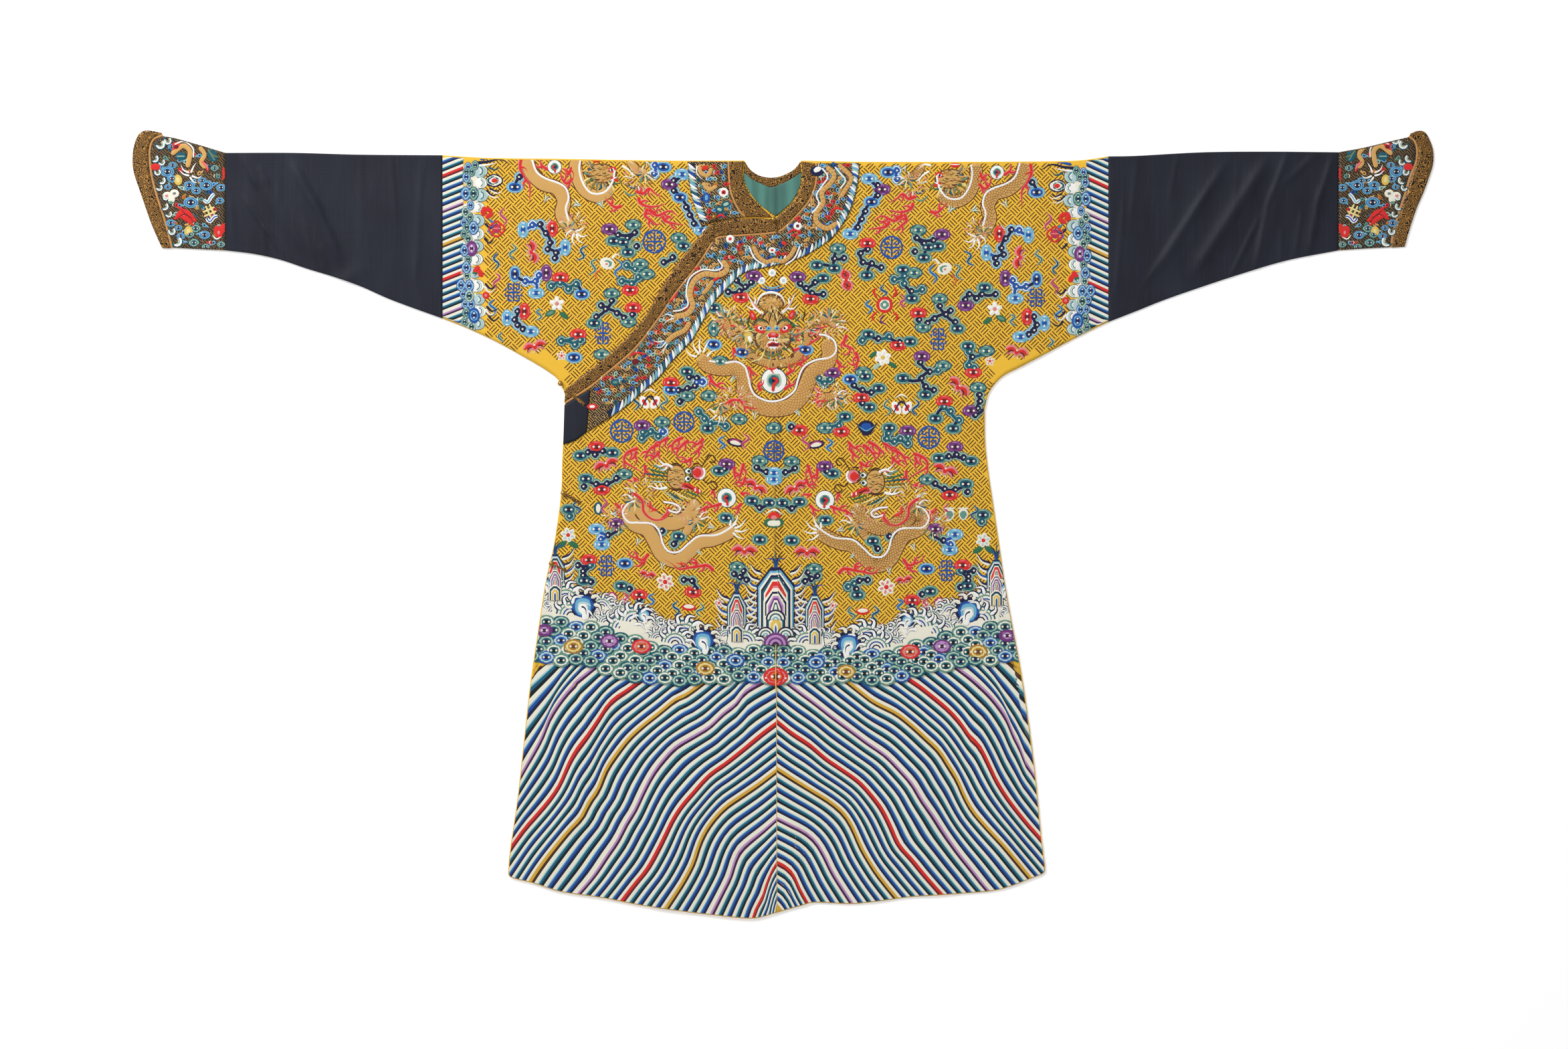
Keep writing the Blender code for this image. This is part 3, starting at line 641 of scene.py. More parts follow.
def half_grid(hem, side, low, shoulder, neck, rows_low, rows_high):
    """Grid of one layer of a body half: Coons patches from hem to underarm, underarm to neck and
    shoulder, and out along the upper sleeve."""
    corner, centre = np.array(side[-1], float), np.array(SEAM_KNEE, float)
    armhole_top = along(shoulder, even(60))
    armhole_top = armhole_top[np.argmin(abs(armhole_top[:, 0] - corner[0]))]
    outer = [p for p in shoulder if abs(p[0]) > abs(armhole_top[0]) + 20]
    inner = [p for p in shoulder if abs(p[0]) < abs(armhole_top[0]) - 20]
    t = BODY_TORSO
    split = t[NECK_COLUMNS]
    level = straight(centre, corner, t)
    top = np.vstack([along(neck, t[:NECK_COLUMNS] / split),
                     along(inner + [tuple(armhole_top)], (t[NECK_COLUMNS:] - split) / (1 - split))])
    lower = patch(along(hem, t), level, straight(hem[0], centre, even(rows_low)),
                  along(side, even(rows_low)))
    armhole = straight(corner, armhole_top, even(rows_high))
    upper = patch(level, top, straight(centre, neck[0], even(rows_high)), armhole)
    across = even(SLEEVE_COLUMNS) ** 1.3
    sleeve = patch(along(low, across), along([tuple(armhole_top)] + outer, across), armhole,
                   straight(low[-1], shoulder[-1], even(rows_high)))
    torso = np.concatenate([lower, upper[:, 1:]], axis=1)
    torso[0, :, 0] += math.copysign(SEAM_GAP / 2, corner[0])
    filler = np.repeat(sleeve[:, :1], rows_low, axis=1)
    return np.concatenate([torso, np.concatenate([filler, sleeve], axis=1)[1:]], axis=0)


def body_half(name, material, tables, height, front_rows, back_rows, node):
    """Front and back of one half of the body in one folded length of cloth."""
    hem, side, low, shoulder, front_neck, back_neck = tables
    front = with_height(half_grid(hem, side, low, shoulder, front_neck, *front_rows), height)
    back = with_height(half_grid(hem, side, low, shoulder, back_neck, *back_rows), flat_height(BACK_Z))
    fold = fold_line(front[NECK_COLUMNS:, -1, :2].copy(), front[NECK_COLUMNS:], back[NECK_COLUMNS:])
    fold = np.concatenate([np.repeat(fold[:1], NECK_COLUMNS, axis=0), fold])
    points = np.concatenate([back, fold[:, ::-1], front[:, ::-1]], axis=1)
    torso = len(BODY_TORSO) - 1
    columns, rows = np.meshgrid(np.arange(points.shape[0] - 1), np.arange(points.shape[1] - 1), indexing="ij")
    first_fold = back.shape[1] - 1
    in_fold = (rows >= first_fold) & (rows <= first_fold + len(FOLD_ANGLES))
    below = (rows < back_rows[0]) | (rows >= points.shape[1] - 1 - front_rows[0])
    keep = ~(in_fold & (columns < NECK_COLUMNS)) & ~((columns >= torso) & below)
    under = np.arange(points.shape[1]) < back.shape[1]
    x, y = abs(points[..., 0]), points[..., 1]
    waves = np.where(under, (BACK_WAVES_TOP + x * BACK_WAVES_SLOPE - y) / BACK_WAVES_SPACING, -1.0)
    waves = np.where(y < BACK_WAVES_TOP, waves, -1.0)
    reach = max(abs(p[0]) for p in shoulder)
    length = shoulder[0][1] - min(p[1] for p in hem)
    return cloth(name, points, material, (reach, 2 * length), (), keep=keep, slot="yellow_silk", nodes=node,
                 attributes={"lattice": under * 1.0, "waves": waves}, shown=(5, points.shape[1] - 4))


def tube(name, low, top, start, end, columns, material, slot, rows, node, flat=None):
    """Flattened tube with two folded edges: low and top run along it, and start and end are samplers of
    the lines across it."""
    u = even(columns)
    grids = []
    for count in rows:
        v = even(count)
        grids.append(patch(along(low, u), along(top, u), start(v), end(v)))
    front = with_height(grids[0], front_height)
    back = with_height(grids[1], flat_height(BACK_Z))
    top_fold = fold_line(front[:, -1, :2].copy(), front, back)
    front_low, back_low = front[:, ::-1], back[:, ::-1]
    low_fold = fold_line(front_low[:, -1, :2].copy(), front_low, back_low)
    points = np.concatenate([front, top_fold, back[:, ::-1], low_fold[:, ::-1], front[:, :1]], axis=1)
    return cloth(name, points, material, flat, (), ring=True, slot=slot, nodes=node,
                 shown=(0, rows[0] // 2))


def strip(name, one, two, height, material, slot, rows, thickness=CLOTH, node=None, declared=True):
    """Strip of cloth between two lines with matching points: (1 - v) * one + v * two. It was cut as
    wide as its widest place and as long as its longer edge."""
    v = even(rows)[None, :, None]
    grid = with_height(one[:, None] * (1 - v) + two[:, None] * v, height)
    edges = np.linalg.norm(np.diff(grid[:, [0, -1]], axis=0), axis=2).sum(axis=0)
    flat = (float(np.linalg.norm(one - two, axis=1).max()), float(edges.max())) if declared else None
    return cloth(name, grid, material, flat, ["left_body", "overlap"], thickness=thickness, slot=slot,
                 nodes=node, shown=(len(one) // 2, 0))


def collar_stations(first, last, count, trim):
    """Points across the collar at even stations along its piping: piping, cloth edge, end of the
    brocade, the two edges of the piping, start of the dark band, and its outer edge."""
    table = np.asarray(COLLAR_SECTIONS, float)
    edge, piping, outer = table[:, 0:2], table[:, 2:4], table[:, 4:6]
    across = outer - piping
    across /= np.linalg.norm(across, axis=1)[:, None]
    half, clear = across * PIPING_WIDTH / 2, across * (PIPING_WIDTH / 2 + SEAM_GAP)
    line = smooth(np.hstack([piping, edge, piping - clear, piping - half, piping + half,
                             piping + clear, outer]))
    length = np.concatenate([[0], np.cumsum(np.hypot(*np.diff(line[:, :2], axis=0).T))])
    where = np.linspace(length[STEPS * first] + trim[0], length[STEPS * last] - trim[1], count + 1)
    return sample(line, where / length[-1]).reshape(count + 1, -1, 2).swapaxes(0, 1)


def ball(name, x, y, z, node):
    """Ball button: radius r * (1 + 0.02 * cos(5 * height angle)) turned round, with a chased waist."""
    u, v = np.meshgrid(np.linspace(0, math.tau, 25), np.linspace(0.02, math.pi - 0.02, 17), indexing="ij")
    r = BALL_RADIUS * (1 + 0.02 * np.cos(5 * v)) * (1 + 0.012 * np.cos(8 * u) * np.sin(v))
    points = np.stack([x + r * np.sin(v) * np.cos(u), y + r * np.sin(v) * np.sin(u), z + r * np.cos(v)],
                      axis=2)
    piece = make_object(name, points, grid_faces(25, 17)[:, ::-1], [finishes["gilt"]])
    weld(piece.data)
    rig.ride(piece, "root")
    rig.slot(piece, "gilt_brass")
    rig.replaces(piece, node)
    return piece


def loop(name, line, level, node):
    """Folded strip, crowned across: height 0.55 + 0.45 * cos(pi * v) of its thickness, v from -1 to 1."""
    side = shifted(line, STRIP_WIDTH / 2) - line
    run = straight(*line, even(16))
    v = np.linspace(-1, 1, 9)
    side = side[0]
    top = run[:, None] + side * v[:, None]
    crown = STRIP_HEIGHT * (0.55 + 0.45 * np.cos(math.pi * v * 0.96))
    upper = np.concatenate([top, np.broadcast_to(level + crown, top.shape[:2])[..., None]], axis=2)
    lower = np.concatenate([top, np.full(top.shape[:2] + (1,), level)], axis=2)[:, ::-1]
    points = np.concatenate([upper, lower, upper[:, :1]], axis=1)
    piece = make_object(name, points, grid_faces(17, points.shape[1]), [finishes["gold_brocade"]])
    weld(piece.data)
    close_and_turn(piece.data)
    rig.ride(piece, "root")
    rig.slot(piece, "gold_brocade")
    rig.replaces(piece, node)
    return piece


# ---- finishes -------------------------------------------------------------------------------------
class Wire:
    """Output of a shader node. Sums, products and comparisons of values add Math nodes."""

    def __init__(self, socket):
        self.socket = socket

    @staticmethod
    def node(tree, kind, sockets=None, stops=(), output=0, **settings):
        """New node: its settings, a ramp's stops, then the values or wires of its sockets."""
        made = tree.nodes.new(kind)
        for key, value in settings.items():
            setattr(made, key, value)
        for number, (place, colour) in enumerate(stops):
            ramp = made.color_ramp.elements
            stop = ramp[number] if number < 2 else ramp.new(place)
            stop.position, stop.color = place, (*colour, 1.0)
        for key, value in (sockets or {}).items():
            if isinstance(value, Wire):
                tree.links.new(value.socket, made.inputs[key])
            else:
                made.inputs[key].default_value = value
        return Wire(made.outputs[output])

    def math(self, operation, *others, first=None):
        values = ([] if first is None else [first]) + [self] + list(others)
        return Wire.node(self.socket.id_data, "ShaderNodeMath", dict(enumerate(values)), operation=operation)

    def part(self, output):
        """Another output of the same node."""
        return Wire(self.socket.node.outputs[output])

    def __add__(self, other):
        return self.math("ADD", other)

    def __sub__(self, other):
        return self.math("SUBTRACT", other)

    def __rsub__(self, other):
        return self.math("SUBTRACT", first=other)

    def __mul__(self, other):
        return self.math("MULTIPLY", other)

    def __truediv__(self, other):
        return self.math("DIVIDE", other)

    def __mod__(self, other):
        return self.math("FLOORED_MODULO", other)

    def __lt__(self, other):
        return self.math("LESS_THAN", other)

    def __gt__(self, other):
        return self.math("GREATER_THAN", other)

    def __abs__(self):
        return self.math("ABSOLUTE")

    __radd__, __rmul__ = __add__, __mul__

    def sine(self):
        return self.math("SINE")


class Finish:
    """A material under construction."""

    def __init__(self, name):
        self.material = bpy.data.materials.new(name)
        self.material.use_nodes = True
        self.tree = self.material.node_tree
        self.tree.nodes.clear()
        place = self.node("ShaderNodeTexCoord", output="Object")
        self.place = place
        axes = self.node("ShaderNodeSeparateXYZ", {0: place})
        self.x, self.y, self.z = axes, axes.part(1), axes.part(2)

    def node(self, kind, sockets=None, stops=(), output=0, **settings):
        return Wire.node(self.tree, kind, sockets, stops, output, **settings)

    def noise(self, scale, detail=2.0, stretch=(1, 1, 1)):
        """Smooth noise from 0 to 1, scale in cells per metre, drawn out along each axis."""
        size = tuple(1 / s for s in stretch)
        place = self.node("ShaderNodeMapping", {0: self.place, "Scale": size})
        return self.node("ShaderNodeTexNoise", {"Vector": place, "Scale": scale, "Detail": detail})

    def mix(self, share, one, two):
        """Colour one where share is 0 and two where it is 1."""
        sockets = {0: share, 6: one, 7: two}
        sockets = {k: (*v, 1.0) if isinstance(v, tuple) else v for k, v in sockets.items()}
        return self.node("ShaderNodeMix", sockets, output=2, data_type="RGBA")

    def attribute(self, name):
        return self.node("ShaderNodeAttribute", output="Fac", attribute_name=name)

    def weave(self, warp, weft, depth):
        """Height of a plain weave: product of two sine waves with these thread pitches in metres."""
        return ((self.x * (math.tau / warp)).sine() + (self.y * (math.tau / weft)).sine()) * depth

    def surface(self, colour, roughness, height=None, depth=0.0005, **constants):
        """Principled shader with a bump of this height (0 to 1 for the depth in metres)."""
        colour = (*colour, 1.0) if isinstance(colour, tuple) else colour
        sockets = {"Base Color": colour, "Roughness": roughness, "Specular IOR Level": 0.3}
        if height is not None:
            sockets["Normal"] = self.node("ShaderNodeBump", {"Height": height, "Distance": depth})
        sockets.update(constants)
        shader = self.node("ShaderNodeBsdfPrincipled", sockets)
        end = self.tree.nodes.new("ShaderNodeOutputMaterial")
        self.tree.links.new(shader.socket, end.inputs["Surface"])
        return self.material


def linear(red, green, blue):
    """Scene-linear colour from display values of 0 to 255."""
    values = np.array([red, green, blue]) / 255
    values = np.where(values <= 0.04045, values / 12.92, ((values + 0.055) / 1.055) ** 2.4)
    return tuple(values.tolist())


def yellow_silk(yellow):
    """Ground silk: uneven dye, a basket lattice on the hidden back and a satin weave."""
    f = Finish("yellow_silk")
    patches = f.noise(9.0, 3.0)
    slubs = f.noise(260.0, 2.0, stretch=(14, 1, 1))
    pale = tuple(min(1.0, c * 1.10) for c in yellow)
    deep = tuple(c * 0.86 for c in yellow)
    colour = f.mix(patches * 0.7 + slubs * 0.3, deep, pale)
    u, v = (f.x + f.y) * DIAGONAL / LATTICE_CELL / MM, (f.y - f.x) * DIAGONAL / LATTICE_CELL / MM
    turn = ((u.math("FLOOR") + v.math("FLOOR")) % 2.0) < 0.5
    across = f.node("ShaderNodeMix", {0: turn, 2: u % 1.0, 3: v % 1.0}, data_type="FLOAT")
    bars = (abs((across * 3.0) % 1.0 - 0.5) < 0.21) * f.attribute("lattice")
    colour = f.mix(bars, colour, linear(*THREADS["bronze"]))
    waves = f.attribute("waves")
    ramp = [(0.0, "cream"), (0.08, "mint"), (0.17, "teal"), (0.25, "black_teal"), (0.33, "cream"),
            (0.42, "sky"), (0.5, "royal"), (0.58, "navy"), (0.66, "cream"), (0.75, "pink"), (0.83, "red"),
            (0.92, "maroon")]
    stops = [(place, linear(*THREADS[name])) for place, name in ramp]
    stripes = f.node("ShaderNodeValToRGB", {0: waves % 1.0}, stops=stops)
    stripes.socket.node.color_ramp.interpolation = "CONSTANT"
    colour = f.mix(waves > 0.0, colour, stripes)
    height = f.weave(0.0016, 0.0011, 0.25) + slubs
    return f.surface(colour, 0.5 + patches * 0.14, height, 0.00012, **{"Sheen Weight": 0.25,
                     "Sheen Roughness": 0.5})


def navy_silk(navy):
    """Sleeve silk: dark satin with drawn slubs, and painted sheen: broad lighter, greyer patches and streaks, with
    darker navy between them.
    """
    f = Finish("navy_silk")
    mottle = f.noise(7.0, 4.0)
    slubs = f.noise(240.0, 3.0, stretch=(1, 16, 1))
    sheen_streaks = f.noise(30.0, 4.0, stretch=(1, 7, 1))
    # painted sheen: grey is the lighter navy painted where the satin catches the light, dark the painted shade between
    # the patches
    grey = (navy[0] * 1.35 + 0.003, navy[1] * 1.6 + 0.005, navy[2] * 1.6 + 0.006)
    dark = tuple(c * 0.62 for c in navy)
    # noise patches and streaks mix the painted shade and the painted sheen; the streaks also raise the bump
    colour = f.mix((mottle * 0.5 + sheen_streaks * 0.6 - 0.22) * 1.5, dark, grey)
    colour = f.mix((slubs - 0.55) * 0.9, colour, tuple(c * 2.1 + 0.01 for c in navy))
    return f.surface(colour, 0.42 + mottle * 0.2, f.weave(0.0013, 0.0018, 0.2) + slubs + sheen_streaks * 1.5, 0.00018,
                     **{"Sheen Weight": 0.02, "Specular IOR Level": 0.2})


def fret_band(dark, gold):
    """Band ground: couched gold key fret on near-black silk, turned 45 degrees. In each cell two nested
    hooks: lines where the greater or lesser coordinate crosses set levels."""
    f = Finish("fret_band")
    cell = FRET_CELL * MM
    u, v = (f.x + f.y) * DIAGONAL / cell, (f.y - f.x) * DIAGONAL / cell
    turn = ((u.math("FLOOR") + v.math("FLOOR")) % 2.0) < 0.5
    a, b = u % 1.0, v % 1.0
    far = abs(a - 0.5).math("MAXIMUM", abs(b - 0.5))
    frame_line = far > 0.465
    hook = (abs(far - 0.2) < 0.042) * (1 - (abs(a - 0.5) < 0.1) * (b > 0.5))
    tail = (abs(a - 0.5) < 0.06) * (b < 0.32)
    bars = abs((a * 3.0) % 1.0 - 0.5) < 0.12
    key = frame_line.math("MAXIMUM", hook).math("MAXIMUM", tail)
    lines = f.node("ShaderNodeMix", {0: turn, 2: key, 3: bars}, data_type="FLOAT")
    mottle = f.noise(40.0, 4.0)
    gold_mix = f.mix(mottle, tuple(c * 0.75 for c in gold), tuple(c * 1.25 for c in gold))
    tarnished = (abs(f.x) > CUFFS_FROM) * 0.5
    share = lines * (0.7 + mottle * 0.3) * (1 - tarnished)
    colour = f.mix(share, f.mix(mottle, tuple(c * 0.7 for c in dark), tuple(c * 1.3 for c in dark)), gold_mix)
    return f.surface(colour, 0.55 - lines * 0.12, lines + f.noise(900.0), 0.0003, **{"Sheen Weight": 0.1})


def brocade(dark, gold):
    """Edging brocade: small gold scrolls on brown, from rings of a warped cell pattern."""
    f = Finish("gold_brocade")
    warp = f.noise(90.0, 1.0)
    push = f.node("ShaderNodeVectorMath", {0: warp.part("Color"), "Scale": 0.009}, operation="SCALE")
    place = f.node("ShaderNodeVectorMath", {0: f.place, 1: push}, operation="ADD")
    cells = f.node("ShaderNodeTexVoronoi", {"Vector": place, "Scale": 150.0}, output="Distance")
    rings = ((cells * 23.0).sine() - 0.05).math("GREATER_THAN", 0.0)
    fine = f.noise(420.0, 2.0)
    share = rings * (0.55 + fine * 0.55)
    mottle = f.noise(14.0, 3.0)
    colour = f.mix(share * (0.65 + mottle * 0.55), f.mix(fine, tuple(c * 0.6 for c in dark), dark),
                   f.mix(fine, gold, tuple(c * 1.35 for c in gold)))
    return f.surface(colour, 0.52 - rings * 0.14, share + fine * 0.4, 0.0003, Metallic=0.25,
                     **{"Sheen Weight": 0.1})


def cord_silk(name, colour):
    """Piping: satin bias strip with a slanting twill rib and soiled patches."""
    f = Finish(name)
    dirt = f.noise(60.0, 3.0)
    rib = ((f.x + f.y) * (math.tau / 0.0016)).sine()
    shade = f.mix(dirt, tuple(c * 0.72 for c in colour), tuple(min(1.0, c * 1.2) for c in colour))
    return f.surface(shade, 0.45 + dirt * 0.15, rib * 0.5 + dirt, 0.0002, **{"Sheen Weight": 0.2})


def lining_silk(colour):
    """Turquoise lining: thin damask with fine slubs and painted shade: broad soft painted shading, darkest along the
    back seam, with bands of painted fold shade.
    """
    f = Finish("lining_silk")
    broad = f.noise(26.0, 3.0)
    slubs = f.noise(300.0, 2.0, stretch=(1, 12, 1))
    creases = f.noise(22.0, 2.0, stretch=(1, 5, 1))
    # painted shade: darker within about 11 mm of the back seam, and bands of painted light and shade across the lining
    # for its folds
    from_seam = abs(f.x + LINING_SEAM)
    folds = (from_seam * 260.0 + creases * 3.0).sine() * 0.5 + 0.5
    lit = (from_seam * 90.0).math("MINIMUM", 1.0) * (0.4 + folds * 0.6)
    shade = f.mix(broad * 0.35 + slubs * 0.2 + lit * 0.6, tuple(c * 0.3 for c in colour),
                  tuple(min(1.0, c * 1.6) for c in colour))
    return f.surface(shade, 0.4 + broad * 0.15, slubs + creases * 4, 0.0004, **{"Sheen Weight": 0.2})


def gilt_brass(colour):
    """Gilt button: chased rings, darker in the hollows, with worn highlights."""
    f = Finish("gilt_brass")
    wear = f.noise(500.0, 3.0)
    shade = f.mix(wear, tuple(c * 0.35 for c in colour), colour)
    return f.surface(shade, 0.24 + wear * 0.25, wear, 0.0004, Metallic=1.0)


def thread(name, colour):
    """Embroidery floss: satin stitches side by side, as a slanting fine rib broken by noise."""
    f = Finish("floss_" + name)
    loose = f.noise(700.0, 2.0)
    rib = ((f.x * 0.8 + f.y * 0.6) * (math.tau / 0.0009) + loose * 5.0).sine()
    metal = 0.35 if name in METAL_THREADS else 0.0
    return f.surface(colour, 0.42 + loose * 0.22, rib * 0.4 + loose, 0.00025, Metallic=metal,
                     **{"Sheen Weight": 0.12})


# floss colours as display values
THREADS = {
    "white": (254, 253, 248), "cream": (248, 243, 224), "navy": (18, 25, 66), "royal": (28, 84, 168),
    "sky": (112, 180, 212), "pale": (188, 214, 216), "mint": (176, 204, 182), "sea": (104, 152, 136),
    "teal": (22, 92, 108), "black_teal": (8, 22, 30), "red": (226, 44, 40), "maroon": (112, 22, 34),
    "pink": (228, 138, 140), "purple": (116, 52, 122), "lilac": (190, 146, 200), "plum": (66, 24, 66),
    "yellow": (232, 196, 92), "straw": (240, 222, 150), "ochre": (190, 138, 50), "brown": (112, 66, 30),
    "umber": (70, 40, 15), "bronze": (104, 64, 20), "amber": (222, 172, 56),
    "aqua": (150, 206, 214), "lagoon": (18, 100, 130), "scale": (184, 126, 62), "fawn": (228, 192, 142),
    "tan": (230, 180, 106), "gold": (222, 178, 104), "olive": (128, 122, 62), "green": (48, 112, 76),
    "grey": (132, 136, 132), "ink": (26, 22, 28), "orange": (222, 112, 56), "magenta": (176, 48, 110)}
METAL_THREADS = ("tan", "gold", "ochre", "scale")
finishes = {}


def make_finishes(look):
    """Every material of the robe by name, from the colours in the sidebar."""
    finishes.update(
        yellow_silk=yellow_silk(tuple(look.yellow)), navy_silk=navy_silk(tuple(look.navy)),
        fret_band=fret_band(tuple(look.band_dark), tuple(look.band_gold)),
        gold_brocade=brocade(tuple(look.brocade_dark), tuple(look.brocade_gold)),
        orange_piping=cord_silk("orange_piping", tuple(look.piping)),
        turquoise_lining=lining_silk(tuple(look.lining)), gilt=gilt_brass(tuple(look.gilt)))
    for name, colour in THREADS.items():
        finishes[name] = thread(name, linear(*colour))


# ---- embroidery -----------------------------------------------------------------------------------
LAYER_RISE = 0.2       # each layer of stitching stands this much above the one below
FIRST_RISE = 0.15
SINK = 0.05            # edges dip this far into what they lie on
MIRROR_X = -11.9       # the centre seam, about which paired motifs repeat
MIRROR_RISE = 9.0      # motifs lie this much higher on the right half, away from the seam
MIRROR_REACH = 192.0
EDGE_MARGIN = 1.5      # stitching stops this far inside the side seams
SEAM_STEP = -6.6       # stitches ride over the turned edge of the centre seam here
SEAM_RISE = 0.32       # by this much
CUFF_MIRROR_X = -1.7   # the line about which the cuffs' motifs repeat
CUFF_ENDS = (-942.6, 939.6)  # the cuffs' stitching stops here, at the sleeves
CUFF_SEAM = [(-948, 466), (-948, 624)]  # line beside the right cuff's end from which its clouds are set out


def mirrored(points, line, rise):
    """The same motif on the other half: x -> 2 * line - x, and a little higher away from the line."""
    points = np.array(points, float)
    rise = rise * np.clip((points[..., 0] - line) / MIRROR_REACH, 0, 1)
    points[..., 0] = 2 * line - points[..., 0]
    points[..., 1] += rise
    return points


def top_of(level):
    return FIRST_RISE + LAYER_RISE * level


def edge_of(level):
    return LAYER_RISE * (level - 1) - SINK if level > 0 else -0.1


ACROSS = np.array([-1.0, -0.62, 0.0, 0.62, 1.0])
CROWN = np.array([0.0, 0.86, 1.0, 0.86, 0.0])


def round_grid(count):
    """Square grid drawn out to a disc of radius 1, and its crown 1 - r ^ 6."""
    u, v = np.meshgrid(np.linspace(-1, 1, count), np.linspace(-1, 1, count), indexing="ij")
    disc = np.stack([u * np.sqrt(1 - v ** 2 / 2), v * np.sqrt(1 - u ** 2 / 2)], axis=2)
    return disc, 1 - np.clip((disc ** 2).sum(axis=2), 0, 1) ** 3


DISCS = {count: round_grid(count) for count in (5, 7, 11)}


def upper_face(height):
    """Upper face of a cloth from the height of its middle."""
    return lambda points: height(points) + CLOTH / 2


def line_over(rows):
    """Sorted points of a line that runs from side to side."""
    return np.array(sorted(rows), float).T


def on_body(points):
    """Points beyond the side seams, the shoulder fold or the sleeves' lower edge moved back inside."""
    x, y = points.T
    left, right = (np.array(sorted(side, key=lambda row: row[1]), float) for side in (LEFT_SIDE, RIGHT_SIDE))
    y = np.minimum(y, np.interp(x, *line_over(RIGHT_SHOULDER + LEFT_SHOULDER)) - 2.5)
    low = np.interp(x, *line_over(RIGHT_UPPER_SLEEVE_LOW + LEFT_UPPER_SLEEVE_LOW)) + EDGE_MARGIN
    y = np.where((x > left[-1, 0]) & (y > left[-1, 1]) | (x < right[-1, 0]) & (y > right[-1, 1]),
                 np.maximum(y, low), y)
    x = np.where(y < left[-1, 1], np.minimum(x, np.interp(y, left[:, 1], left[:, 0]) - EDGE_MARGIN), x)
    x = np.where(y < right[-1, 1], np.maximum(x, np.interp(y, right[:, 1], right[:, 0]) + EDGE_MARGIN), x)
    return np.stack([x, y], axis=1)


def on_cuff(points):
    """Points beyond the cuffs' edges or the seam with the sleeve moved back inside."""
    x, y = points.T
    x = np.where(x > 0, np.maximum(x, CUFF_ENDS[1]), np.minimum(x, CUFF_ENDS[0]))
    y = np.minimum(y, np.interp(x, *line_over(RIGHT_CUFF_TOP + LEFT_CUFF_TOP)) - 2.0)
    low = np.interp(x, *line_over(RIGHT_CUFF_LOW + LEFT_CUFF_LOW))
    return np.stack([x, np.maximum(y, low + 2.0)], axis=1)


def as_drawn(points):
    return points


